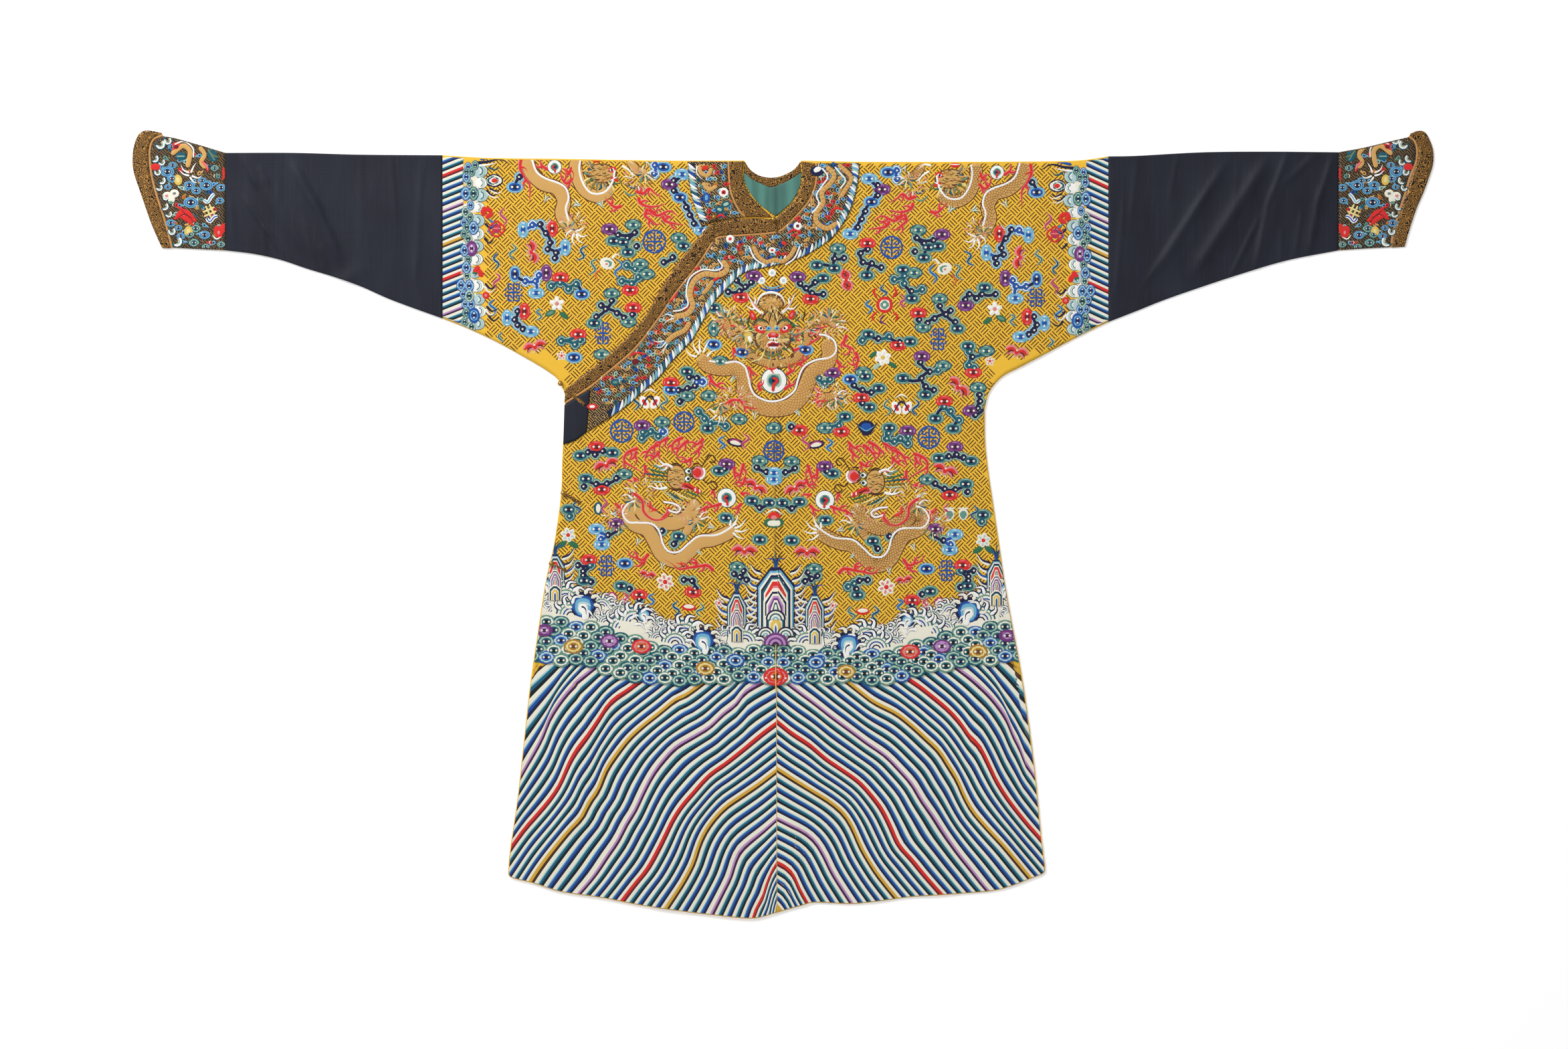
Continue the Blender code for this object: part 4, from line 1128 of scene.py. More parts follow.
class Stitching:
    """Raised stitching on a cloth, gathered stroke by stroke; flip repeats it on the other half."""

    def __init__(self, surface=embroidered_top, trim=on_body):
        self.surface, self.trim = surface, trim
        self.mirror = (MIRROR_X, MIRROR_RISE)
        self.turned = False
        self.points, self.faces, self.slots, self.floss = [], [], [], []
        self.count = 0
        self.flip = False

    def grid(self, floss, xy, rise):
        """Grid of points [column, row], each with its rise above the cloth."""
        xy = mirrored(xy, *self.mirror) if self.flip != self.turned else np.asarray(xy, float)
        columns, rows = xy.shape[:2]
        faces = grid_faces(columns, rows, self.count)
        a, b = xy[-1, rows // 2] - xy[0, rows // 2], xy[columns // 2, -1] - xy[columns // 2, 0]
        if a[0] * b[1] - a[1] * b[0] < 0:
            faces = faces[:, ::-1]
        if floss not in self.floss:
            self.floss.append(floss)
        rise = np.broadcast_to(rise, xy.shape[:2])
        self.points.append(np.concatenate([xy, rise[..., None]], axis=2).reshape(-1, 3))
        self.faces.append(faces)
        self.slots.append(np.full(len(faces), self.floss.index(floss)))
        self.count += columns * rows

    def cells(self, floss, xy, rise):
        """Many small grids of points [piece, column, row] at once, each row with its rise."""
        pieces, columns, rows = xy.shape[:3]
        if floss not in self.floss:
            self.floss.append(floss)
        rise = np.broadcast_to(rise, xy.shape[:3])
        one = grid_faces(columns, rows)
        a, b = xy[0, -1, 0] - xy[0, 0, 0], xy[0, 0, -1] - xy[0, 0, 0]
        if a[0] * b[1] - a[1] * b[0] < 0:
            one = one[:, ::-1]
        first = self.count + np.arange(pieces) * columns * rows
        faces = (first[:, None, None] + one).reshape(-1, 4)
        self.points.append(np.concatenate([xy, rise[..., None]], axis=3).reshape(-1, 3))
        self.faces.append(faces)
        self.slots.append(np.full(len(faces), self.floss.index(floss)))
        self.count += pieces * columns * rows

    def stroke(self, floss, path, width, level=1, shape="round", spacing=5.0):
        """Line of satin stitch: path + v * width / 2 * shape, crowned across. round has round ends,
        leaf is sin(pi * t), tail is (1 - t) ^ 0.7 and root is t ^ 0.7."""
        line = smooth(path) if len(path) > 2 else np.asarray(path, float)
        run = float(np.hypot(*np.diff(line, axis=0).T).sum())
        radius = min(width / 2, run / 2)
        body = np.linspace(radius, run - radius, max(2, int((run - 2 * radius) / spacing) + 2))
        ends = radius * np.array([0.0, 0.3])
        where = np.concatenate([ends, body, run - ends[::-1]])
        t = where / run
        if shape == "round":
            near = np.minimum(where, run - where) / radius
            size = np.sqrt(np.clip(1 - (1 - np.clip(near, 0, 1)) ** 2, 0.02, 1))
        elif shape == "leaf":
            size = np.clip(np.sin(math.pi * t), 0.0, 1) ** 0.7 + 0.04
        elif shape == "tail":
            size = (1 - t) ** 0.7 * np.clip(where / radius + 0.3, 0, 1) + 0.04
        else:
            size = t ** 0.7 * np.clip((run - where) / radius + 0.3, 0, 1) + 0.04
        points = sample(line, t)
        direction = np.gradient(points, axis=0)
        direction /= np.maximum(np.linalg.norm(direction, axis=1), 1e-9)[:, None]
        normal = np.stack([-direction[:, 1], direction[:, 0]], axis=1)
        xy = points[:, None] + normal[:, None] * (ACROSS[:, None] * (size * width / 2)[:, None, None])
        rise = edge_of(level) + (top_of(level) - edge_of(level)) * CROWN
        self.grid(floss, xy, rise)

    def pad(self, floss, x, y, rx, ry=None, level=1, turn=0.0):
        """Oval pad: a square grid drawn out to a disc, crown 1 - r ^ 6."""
        a = math.radians(turn)
        disc, crown = DISCS[5 if rx < 13 else 7 if rx < 24 else 11]
        disc = disc * (rx, rx if ry is None else ry)
        u, v = disc[..., 0], disc[..., 1]
        xy = np.stack([x + u * math.cos(a) - v * math.sin(a), y + u * math.sin(a) + v * math.cos(a)], axis=2)
        self.grid(floss, xy, edge_of(level) + (top_of(level) - edge_of(level)) * crown)

    def arc(self, floss, x, y, radius, start, end, width, level=1, squeeze=1.0, shape="round"):
        """Stroke along part of an ellipse, angles in degrees."""
        a = np.radians(np.linspace(start, end, 9))
        path = np.stack([x + radius * np.cos(a), y + radius * squeeze * np.sin(a)], axis=1)
        self.stroke(floss, path, width, level, shape)

    def arch(self, floss, x, low, width, height, level=1, lean=0.0):
        """Mountain outline: straight sides, then slanting in to a quarter of the width at the top, leaning
        sideways with t ^ 2."""
        t = np.concatenate([0.74 * even(10), (0.8, 0.86, 0.92, 0.97, 0.998)])
        across = np.array([-1.0, -0.965, -0.7, -0.35, 0.0, 0.35, 0.7, 0.965, 1.0])
        half = width / 2 * np.minimum(1, 0.24 + 0.76 * (1 - t) / 0.26)
        centre = np.stack([x + lean * t ** 2, low + height * t], axis=1)
        xy = centre[:, None] + np.stack([across * half[:, None], np.zeros((len(t), 9))], axis=2)
        crown = (abs(across) < 1) * np.minimum(1, (1 - t) * 30)[:, None]
        self.grid(floss, xy, edge_of(level) + (top_of(level) - edge_of(level)) * crown)

    def piece(self, name, cloth_name):
        """The gathered stitching as one object, sewn on a cloth."""
        points, faces = np.concatenate(self.points), np.concatenate(self.faces)
        slots = np.concatenate(self.slots)
        kept = self.trim(points[:, :2])
        outside = (kept != points[:, :2]).any(axis=1)
        points[:, :2] = kept
        stays = ~outside[faces].all(axis=1)
        faces, slots = faces[stays], slots[stays]
        over_seam = SEAM_RISE * np.exp(-((points[:, 0] - SEAM_STEP) / 4) ** 2)
        points[:, 2] += self.surface(points[:, :2]) + over_seam
        made = make_object(name, points, faces, [finishes[floss] for floss in self.floss], slots=slots)
        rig.ride(made, "root")
        sewn_on(cloth_name, made)
        return made


def both_halves(stitching, side, draw):
    """Calls draw on the half that side names: r as the tables give it, l on the other half, b on both."""
    for letter, flip in (("r", False), ("l", True)):
        if side in (letter, "b"):
            stitching.flip = flip
            draw()
    stitching.flip = False


def inside(points, outline):
    """Whether each point lies in a closed outline: an odd number of its sides cross the ray to +X."""
    x, y = points[..., 0], points[..., 1]
    found = np.zeros(x.shape, bool)
    for (x0, y0), (x1, y1) in zip(outline, np.roll(outline, -1, axis=0)):
        if y0 == y1:
            continue
        crosses = (y0 > y) != (y1 > y)
        found ^= crosses & (x < x0 + (y - y0) * (x1 - x0) / (y1 - y0))
    return found


# ---- couched lattice --------------------------------------------------------------------------
BAR_LENGTH = 13.2
BAR_WIDTH = 2.7
WAVES_TOP = line_of("790,985 804,990 848,992 886,995 929,1015 994,1022 1043,1022 1102,1018 1162,1018 "
                    "1211,1020 1281,1018 1324,1024 1373,1008 1444,994 1509,988 1540,985")
PLAIN_CLOTH = [line_of("766,515 808,522 842,536 845,552 852,580 800,600"),
               line_of("1474,540 1500,538 1548,530 1560,580 1495,590"),
               line_of("1098,215 1224,215 1214,332 1108,332")]
STRIPED_ENDS = [line_of("655,215 729,215 729,500 655,500"),
                line_of("1596,215 1664,215 1664,505 1596,505")]


def lattice(stitching):
    """Squares of three couched bars, turned 45 degrees and alternating like a basket weave."""
    reach = int(LATTICE_REACH / LATTICE_CELL)
    i, j = np.meshgrid(np.arange(-reach, reach), np.arange(-reach, reach), indexing="ij")
    u, v = (i + 0.5) * LATTICE_CELL, (j + 0.5) * LATTICE_CELL
    turned = ((i + j) % 2).astype(bool)
    c = math.sqrt(0.5)
    centres = np.stack([(u - v) * c, (u + v) * c], axis=2).reshape(-1, 2)
    turned = turned.reshape(-1)
    outline = np.vstack([smooth(RIGHT_HEM)[::-1], smooth(LEFT_HEM), smooth(LEFT_SIDE),
                         smooth(LEFT_UPPER_SLEEVE_LOW), LEFT_SHOULDER[::-1], LEFT_FRONT_NECK[::-1],
                         RIGHT_FRONT_NECK, RIGHT_SHOULDER, smooth(RIGHT_UPPER_SLEEVE_LOW)[::-1],
                         smooth(RIGHT_SIDE)[::-1]])
    top = np.array(WAVES_TOP, float)
    shown = inside(centres, outline) & (centres[:, 1] > np.interp(centres[:, 0], *top.T))
    for bare in PLAIN_CLOTH + STRIPED_ENDS:
        shown &= ~inside(centres, np.array(bare, float))
    centres, turned = centres[shown], turned[shown]
    for flip, (dx, dy) in ((False, (c, c)), (True, (-c, c))):
        chosen = centres[turned == flip]
        along_bar = np.array([dx, dy]) * BAR_LENGTH / 2
        across_bar = np.array([-dy, dx])
        for offset in (-LATTICE_CELL / 3, 0.0, LATTICE_CELL / 3):
            middle = chosen + across_bar * offset
            ends = np.linspace(-1, 1, 3)[None, :, None, None] * along_bar
            sides = np.array([-1.0, 0.0, 1.0])[None, None, :, None] * across_bar * BAR_WIDTH / 2
            stitching.cells("bronze", middle[:, None, None] + ends + sides, np.array([-0.1, 0.28, -0.1]))


# ---- standing water: slanting stripes above the hem ------------------------------------------------
# accent stripes from the centre seam outwards, on the right half and then the left
RIGHT_GUIDES = [
    ("yellow", line_of("1162,717 818,980 812,985 800,1000 797,1010")),
    ("purple", line_of("1162,790 886,998 860,1020 842,1040 822,1070 810,1100 795,1128 783,1148 740,1230")),
    ("red", line_of("1162,862 955,1018 930,1035 910,1052 895,1075 880,1097 862,1120 850,1140 840,1165 "
                    "832,1180 818,1200 800,1220 782,1240 750,1285")),
    ("yellow", line_of("1162,933 1037,1030 1010,1045 985,1065 960,1085 940,1103 922,1125 905,1150 893,1180 "
                       "880,1200 868,1222 850,1240 835,1258 818,1280 800,1305 775,1345")),
    ("purple", line_of("1162,1006 1117,1030 1100,1050 1080,1065 1060,1085 1035,1100 1010,1115 990,1135 "
                       "975,1155 962,1180 948,1210 935,1230 922,1255 905,1280 885,1310 850,1350")),
    ("red", line_of("1162,1079 1140,1095 1110,1120 1085,1140 1060,1158 1035,1185 1018,1205 1005,1225 "
                    "995,1245 980,1275 965,1300 945,1325 915,1365")),
    ("yellow", line_of("1162,1150 1135,1170 1110,1187 1085,1205 1065,1225 1052,1245 1043,1265 1035,1290 "
                       "1022,1315 1010,1335 985,1372")),
    ("purple", line_of("1162,1222 1140,1240 1120,1256 1105,1270 1097,1287 1090,1310 1078,1335 1055,1380")),
    ("red", line_of("1162,1289 1155,1300 1147,1320 1140,1340 1130,1360 1120,1392")),
    ("yellow", line_of("1162,1352 1158,1370 1156,1390 1154,1405"))]
LEFT_GUIDES = [
    ("yellow", line_of("1162,717 1490,968 1510,990 1522,1000 1560,1035")),
    ("purple", line_of("1162,790 1410,980 1440,1002 1462,1020 1485,1043 1505,1070 1515,1095 1525,1115 "
                       "1535,1140 1545,1155 1590,1230")),
    ("red", line_of("1162,862 1345,1003 1372,1023 1400,1045 1420,1062 1437,1080 1450,1100 1465,1115 "
                    "1478,1140 1490,1165 1505,1190 1520,1210 1540,1235 1555,1252 1590,1295")),
    ("yellow", line_of("1162,933 1285,1032 1310,1050 1340,1065 1365,1085 1385,1103 1405,1122 1420,1145 "
                       "1432,1165 1443,1190 1455,1212 1475,1235 1500,1262 1520,1285 1540,1310 1575,1350")),
    ("purple", line_of("1162,1006 1193,1030 1220,1050 1245,1070 1275,1092 1300,1110 1325,1128 1345,1147 "
                       "1365,1170 1380,1195 1398,1220 1415,1247 1435,1275 1455,1300 1475,1325 1510,1365")),
    ("red", line_of("1162,1077 1185,1095 1210,1112 1235,1133 1260,1150 1285,1168 1305,1190 1320,1210 "
                    "1332,1235 1345,1262 1365,1285 1385,1310 1430,1360")),
    ("yellow", line_of("1162,1147 1185,1162 1210,1178 1240,1197 1262,1215 1275,1235 1288,1265 1302,1290 "
                       "1320,1315 1365,1370")),
    ("purple", line_of("1162,1221 1185,1232 1205,1243 1222,1258 1235,1280 1245,1300 1260,1325 1300,1385")),
    ("red", line_of("1162,1288 1178,1297 1188,1310 1197,1330 1228,1385")),
    ("yellow", line_of("1162,1352 1170,1362 1178,1375 1190,1395"))]
SHADES = {"blue": ("cream", "sky", "royal", "navy"), "teal": ("cream", "aqua", "lagoon", "black_teal"),
          "red": ("cream", "red", "red", "maroon"), "purple": ("cream", "cream", "lilac", "plum"),
          "yellow": ("cream", "amber", "amber", "umber")}
SHADE_EDGES = (0.0, 0.36, 0.48, 0.72, 1.0)
BETWEEN = ("teal", "blue", "teal", "blue")
STRIPES = 5            # stripes from one accent to the next


def inside_part(line, margin, shortest=6.0):
    """The longest stretch of a dense line where margin is positive, its ends moved to where the margin
    is nought; None if there is none."""
    free = margin > 0
    if not free.any():
        return None
    edges = np.flatnonzero(np.diff(np.concatenate([[0], free.astype(int), [0]])))
    runs = edges.reshape(-1, 2)
    first, last = runs[np.argmax(runs[:, 1] - runs[:, 0])]
    part = [line[first:last]]
    for at, other, where in ((first, first - 1, 0), (last - 1, last, 1)):
        if 0 <= other < len(line):
            share = margin[at] / (margin[at] - margin[other])
            end = line[at] + (line[other] - line[at]) * share
            part.insert(0, end[None]) if where == 0 else part.append(end[None])
    part = np.vstack(part)
    run = np.hypot(*np.diff(part, axis=0).T).sum()
    return part if run > shortest else None


def water(stitching, guides, hem, side, sign):
    """Stripes between guide lines: at stripe count s the line is the mix of its two guides, cut off at
    the top of the water, the side seam, the hem and the centre seam."""
    lines = np.stack([along(points, even(150)) for _, points in guides])
    hem, side = smooth(hem), smooth(side)
    hem, side = hem[np.argsort(hem[:, 0])], side[np.argsort(side[:, 1])]
    top = np.array(WAVES_TOP, float)

    def cut(count):
        whole = min(int(count), len(lines) - 2)
        line = lines[whole] + (lines[whole + 1] - lines[whole]) * (count - whole)
        x, y = line.T
        seam = np.interp(y, *np.transpose([LEFT_HEM[0], SEAM_KNEE])[::-1])
        margin = np.minimum.reduce([y - np.interp(x, hem[:, 0], hem[:, 1]) - 1.5, (x - seam) * sign - 0.6,
                                    (np.interp(y, side[:, 1], side[:, 0]) - x) * sign - 1.5,
                                    np.interp(x, *top.T) - y])
        return inside_part(line, margin)

    for number in range(-2, (len(guides) - 1) * STRIPES + 3):
        accent = number % STRIPES == 0
        shade = guides[number // STRIPES][0] if accent else BETWEEN[number % STRIPES - 1]
        for low, high, floss in zip(SHADE_EDGES[:-1], SHADE_EDGES[1:], SHADES[shade]):
            pair = [cut((number - 0.5 + share) / STRIPES) for share in (low, high)]
            if any(line is None for line in pair):
                continue
            run = max(np.hypot(*np.diff(line, axis=0).T).sum() for line in pair)
            where = even(max(3, int(run / 14)))
            one, two = (sample(line, where) for line in pair)
            xy = np.stack([one, (one + two) / 2, two], axis=1)
            stitching.grid(floss, xy, (0.2, 0.5, 0.2))


# upper sleeves beside the navy silk: ends of the first stripe, its number to the first accent
SLEEVE_PERIOD = 11.7
SLEEVE_WATERS = [(spot(662, 237), spot(693, 224), 2), (spot(1624, 218), spot(1657, 233), 4)]
SLEEVE_ACCENTS = ("red", "purple", "yellow", "red", "purple")


def sleeve_water(stitching, start, end, first):
    """Parallel slanting stripes, cut at the shoulder fold and the sleeve's lower edge."""
    start, end = np.array(start, float), np.array(end, float)
    low_edge = np.array(sorted(LEFT_UPPER_SLEEVE_LOW + RIGHT_UPPER_SLEEVE_LOW), float)
    for number in range(28):
        step = number - first
        accent = step % STRIPES == 0 and 0 <= step < STRIPES * len(SLEEVE_ACCENTS)
        shade = SLEEVE_ACCENTS[step // STRIPES] if accent else BETWEEN[(step - 1) % 4]
        for low, high, floss in zip(SHADE_EDGES[:-1], SHADE_EDGES[1:], SHADES[shade]):
            rows = []
            for share in (low, (low + high) / 2, high):
                drop = np.array([0.0, -(number + share) * SLEEVE_PERIOD])
                rows.append(straight(start + drop, end + drop, even(4)))
            xy = np.stack(rows, axis=1)
            bottom = np.interp(xy[..., 0], *low_edge.T) + 3
            if (xy[..., 1] > 622).all() or (xy[..., 1] < bottom).all():
                continue
            xy[..., 1] = np.maximum(xy[..., 1], bottom)
            stitching.grid(floss, xy, (0.2, 0.5, 0.2))


# ---- clouds -----------------------------------------------------------------------------------
TONES = {"n": ("sea", "mint", "teal", "navy"), "b": ("sky", "pale", "royal", "navy"),
         "l": ("sky", "white", "sky", "royal"), "t": ("teal", "mint", "sea", "teal"),
         "r": ("red", "pink", "red", "maroon"), "v": ("purple", "lilac", "purple", "plum"),
         "g": ("ochre", "straw", "yellow", "brown")}
HEAD = (14.5, 10.0)    # half width and half height of a cloud's two-eyed head
LOBE = 9.6             # radius of a single lobe
# chains of lobes, one to a line: side, then kind, column and row of each lobe. Capitals are heads with two
# eyes, | turns a head upright, and . only carries the tail on. Side m is side l with its places
# given where they lie.
CHAINS = """
b V1193,414 n1196,424 n1205,431 n1214,438 n1231,440
b .1205,431 n1218,422 N1231,416
b R1212,447
r T1253,372 n1247,387 N1247,401 N1222,397
r .1247,387 n1262,386
r R1297,364 n1297,373 n1286,379 n1290,392 n1303,394 n1317,400
r .1303,394 N1296,412
r N1350,404 t1352,413 t1352,424 n1362,436 N1363,446
r t1337,418 .1352,413
r .1362,436 t1378,433
r T1367,408
b T1405,447 n1405,458 n1414,470 n1428,482 N1431,491
b .1414,470 n1421,465
b .1414,470 n1397,476 n1386,483
b R1373,468 n1374,478 T1380,490
b T1373,345 n1370,356 n1381,364 N1388,370
b .1381,364 N1402,368
b .1388,370 N1381,385
b .1370,356 n1395,360 V1408,351
b n1368,376
r N1472,430 n1468,440 n1488,440
r .1468,440 n1460,446 n1449,440 n1443,448 V1444,457
r N1299,500 n1313,506 t1329,504 n1345,512
r R1343,516
r N1361,511
r t1289,509 .1299,500
r V1378,533 n1376,542 n1390,556 n1377,566 n1384,578 N1384,590
r .1390,556 t1402,553 T1410,547
r N1350,566 .1377,568
r .1384,578 n1396,583
r T1291,557 N1293,563
r B1271,567 n1277,576 n1289,583 n1302,587 N1314,581
r R1288,595 n1289,603 N1300,609
r V1245,558
r t1224,566 t1232,574 t1240,567
r N1263,623 t1254,636 t1240,640
r R1258,645
r T1233,640
r N1330,640 t1328,648 t1325,656 t1337,660 t1346,656 t1357,663
r V1357,644 t1357,652
r R1412,600 t1411,608 t1421,615 t1433,628 N1425,641
r .1411,608 N1399,626
r N1447,518 t1449,526 n1453,534 T1475,525
r .1453,534 t1448,546 t1456,551
r R1455,557
r T1462,580 n1464,590 n1465,600 n1461,611
b V1452,614 n1458,620 .1470,612
r B1204,523
m T|1067,491
m B1067,515
m B1110,527
m T1077,541
m N1027,556 n1031,564 n1042,566 l1050,571
m l1042,572 n1040,577 n1028,581 n1015,583
m R1003,573
m B1003,583
m T1027,592 n1017,600
m T1060,592
m t1045,616 t1054,626 t1063,634 t1085,637
m N1058,641
m V960,636 t962,646 t973,645 t985,652 l992,645 T990,631
m .973,645 t960,655
m T1105,627
m T957,395 t950,402 t937,397
m T967,410 t955,414 t945,424
m t930,421 .945,424
m R942,434
m T1015,356 N1022,368
m n1006,385 n993,392
m N1068,460
m T900,530
m R838,415 t825,428
m t838,422 t850,432 t862,425 B870,440
m R865,500 t840,510 t860,515 t868,508
m B858,535
b R|1494,350 b1503,357 b1512,344 l1523,345 L|1537,352
b .1503,357 b1497,371 b1500,381 b1488,386 L|1475,378
b .1488,386 b1490,394
b V|1503,416 l1514,420 l1519,429 l1534,429 B|1550,418
b .1519,429 L1518,446
b R|1536,474 b1545,474 b1550,486 L|1561,483
b .1550,486 b1545,494 b1537,500 L1526,504
b B1550,288 b1543,273
b L1300,268 b1312,277 b1312,292 B1303,302
b .1303,302 b1293,316 b1288,328 b1282,340 L1271,350
b V1319,284
b B1328,258 l1340,255 l1341,268
r V1428,668 n1430,680
m R892,668 n890,680
b N1404,685 n1418,682 .1430,682 n1440,684 N1452,689
b V1233,697 n1236,704 N1245,708
r L1157,707 L1157,717
b n1174,706 n1188,700 T1184,690
b N1170,752 n1184,760 N1195,750
b N1184,808
b T1386,717 n1398,723 n1412,731 n1428,732 N1444,724
b n1446,735
b R1420,740
b V1399,791 n1397,800 n1410,808 L1428,799
b .1410,808 l1421,814 L1420,822
b R1439,845 t1437,853 n1447,862 N1446,876
b .1437,853 n1455,853
b n1447,868 n1436,878
b T1217,850 n1208,856 n1213,865 n1203,869
b .1213,865 n1222,861
r n1297,867 n1285,868 t1277,872 n1280,880 N1282,889
r t1268,877
m R1036,885
m n1023,867 n1035,868 n1040,880
b N1391,884 n1378,888
b R1364,897 n1363,903
b B1385,850
b N1234,778
b N1305,809 n1312,820
b n1330,802
b N1469,770 t1468,780
r R1195,643 n1183,638
r T1157,640
"""


def tail(stitching, tones, a, b):
    """A cloud's trail between two lobes: a light band with a dark core, bowed sideways."""
    a, b = np.array(a, float), np.array(b, float)
    bow = np.array([b[1] - a[1], a[0] - b[0]]) * 0.1
    path = [a, (a + b) / 2 + bow, b]
    stitching.stroke(tones[0], path, 10.5, 1)
    stitching.stroke(tones[1], path, 8.4, 2)
    stitching.stroke(tones[3], path, 6.2, 3)


def lobe(stitching, x, y, kind, turn=0.0):
    """A cloud's lobe: nested ovals, edge, light ring and dark middle, with one cream eye. A head has two."""
    edge, light, middle, dark = TONES[kind.lower()[0]]
    if kind[0].isupper():
        turn = 90.0 if kind.endswith("|") else turn
        width, height = HEAD
        for floss, size, level in ((edge, 1.0, 3), (light, 0.84, 4), (middle, 0.72, 5), (dark, 0.5, 6)):
            stitching.pad(floss, x, y, width * size, height * size, level, turn)
        a = math.radians(turn)
        for side in (-1, 1):
            reach = side * width * 0.3
            stitching.pad("cream", x + reach * math.cos(a), y + reach * math.sin(a), 2.3, 2.0, 7, turn)
    else:
        for floss, size, level in ((edge, 1.0, 2), (light, 0.8, 3), (dark, 0.64, 4)):
            stitching.pad(floss, x, y, LOBE * size, LOBE * size, level)
        stitching.pad("cream", x + LOBE * 0.1, y, 2.1, 2.1, 5)


def read_chain(line):
    """Side and lobes (x, y, kind) of one line of the table. Side m undoes what mirrored() will do."""
    side, *lobes = line.split()
    nodes = []
    for mark in lobes:
        kind = mark.rstrip("0123456789,")
        column, row = mark[len(kind):].split(",")
        x, y = spot(float(column), float(row))
        if side == "m":
            x = 2 * MIRROR_X - x
            rise = MIRROR_RISE * min(1, max(0, (x - MIRROR_X) / MIRROR_REACH))
            x, y = round(x), round(y - rise)
        nodes.append((float(x), float(y), kind))
    return "l" if side == "m" else side, nodes


def cloud_chain(stitching, nodes):
    for (x0, y0, one), (x1, y1, two) in zip(nodes[:-1], nodes[1:]):
        kind = (two if two != "." else one).lower()[0]
        tail(stitching, TONES[kind], (x0, y0), (x1, y1))
    for x, y, kind in nodes:
        if kind != ".":
            lobe(stitching, x, y, kind)


# ---- the band of clouds, waves and rocks above the water --------------------------------------------
CLOUD_RINGS = {"teal": ("teal", "mint", "sea", "teal", "navy"),
               "blue": ("royal", "pale", "sky", "royal", "navy"),
               "green": ("sea", "cream", "sea", "teal", "black_teal"),
               "pink": ("red", "pink", "red", "orange", "maroon"),
               "gold": ("ochre", "straw", "yellow", "ochre", "brown"),
               "lilac": ("purple", "lilac", "purple", "lilac", "plum")}
RING_SIZES = (1.0, 0.86, 0.74, 0.6, 0.42)
# lines of the band on the wearer's left: crest of the waves, then crest of the clouds
WAVE_CREST = line_of("1155,955 1190,950 1240,953 1290,946 1330,942 1370,928 1400,914 1440,900 1475,893 "
                     "1525,888")
CLOUD_CREST = line_of("1155,968 1215,975 1275,978 1330,978 1380,962 1430,945 1480,936 1530,932")
CLOUD_KINDS = ("teal", "green", "teal", "green", "blue", "teal", "green")
HUMPS = in_mm("""
1182,952,15 1206,960,17 1234,955,17 1250,972,15 1296,955,19 1322,950,17 1346,942,19 1372,936,18 1394,924,19
1420,914,20 1474,904,18 1500,898,19 1226,973,15 1310,968,17 1336,962,18 1364,955,18 1388,946,18 1414,938,18
1440,932,18 1466,926,18 1492,922,18 1512,916,15
""")
CURLS = in_mm("""1269,962,22 1448,912,23 1357,926,14 1503,880,14""")
CLOUD_SPECIALS = in_mm("""
gold 15 1265,1004
gold 15 1462,974
pink 15 1361,974
lilac 14 1408,966
blue 14 1220,990
lilac 13 1506,950
""")
STAGES = (("navy", "sky", "cream", "navy", "teal", "cream", "red", "red", "pink", "cream", "teal", "mint"),
          ("cream", "navy", "cream", "lilac", "purple", "cream", "teal", "cream", "red"),
          ("cream", "navy", "teal", "cream", "yellow", "yellow", "cream", "royal", "navy"))
# mountains: middle of the foot, then half width and height of each stage in mm
CENTRE_ROCK = spot(1160, 952) + (33, 118, 21, 82, 19, 46)
ROCKS = [spot(1218, 962) + (17, 84, 11, 57, 10.5, 28), spot(1490, 905) + (17, 78, 11, 52, 10.5, 26)]
# on the middle mountain: fans with radius and level, the knob under them and the cloud at its foot
ROCK_FANS = [(spot(1160, 926), 17.0, 20), (spot(1145, 950), 15.0, 22), (spot(1175, 950), 15.0, 22)]
ROCK_FAN_FLOSSES = ("navy", "cream", "teal", "cream", "sky", "cream")
ROCK_KNOB = spot(1160, 964)
ROCK_CLOUD = spot(1160, 1011)
SEAM_LINE = (-204, -230, -256, -283)  # heights of the yellow line down the centre seam


def bed(stitching, floss, top, low, level):
    """Filled ground between two lines: straight columns from one to the other."""
    one, two = (along(line, even(90)) for line in (top, low))
    rise = np.full(9, top_of(level))
    rise[[0, -1]] = edge_of(level)
    rows = np.linspace(0, 1, 9)[None, :, None]
    stitching.grid(floss, one[:, None] * (1 - rows) + two[:, None] * rows, rise)


def round_cloud(stitching, x, y, radius, colours, level=2, turn=0.0):
    """Cloud head: oval rings from edge to middle, and two cream eyes."""
    for number, (floss, size) in enumerate(zip(colours, RING_SIZES)):
        stitching.pad(floss, x, y, radius * size, radius * size * 0.74, level + number * 0.7, turn)
    a = math.radians(turn)
    for reach in (-0.26 * radius, 0.26 * radius):
        stitching.pad("cream", x + reach * math.cos(a), y + reach * math.sin(a), radius * 0.14,
                      radius * 0.13, level + 3.6)


def fan(stitching, x, y, radius, colours, start=0.0, end=180.0, level=2, squeeze=1.0):
    """Wave: nested arcs, each colour one stroke of the fan."""
    step = radius / len(colours)
    for number, floss in enumerate(colours):
        r = radius - (number + 0.5) * step
        stitching.arc(floss, x, y, r, start, end, step * 1.25, level + number % 2, squeeze)


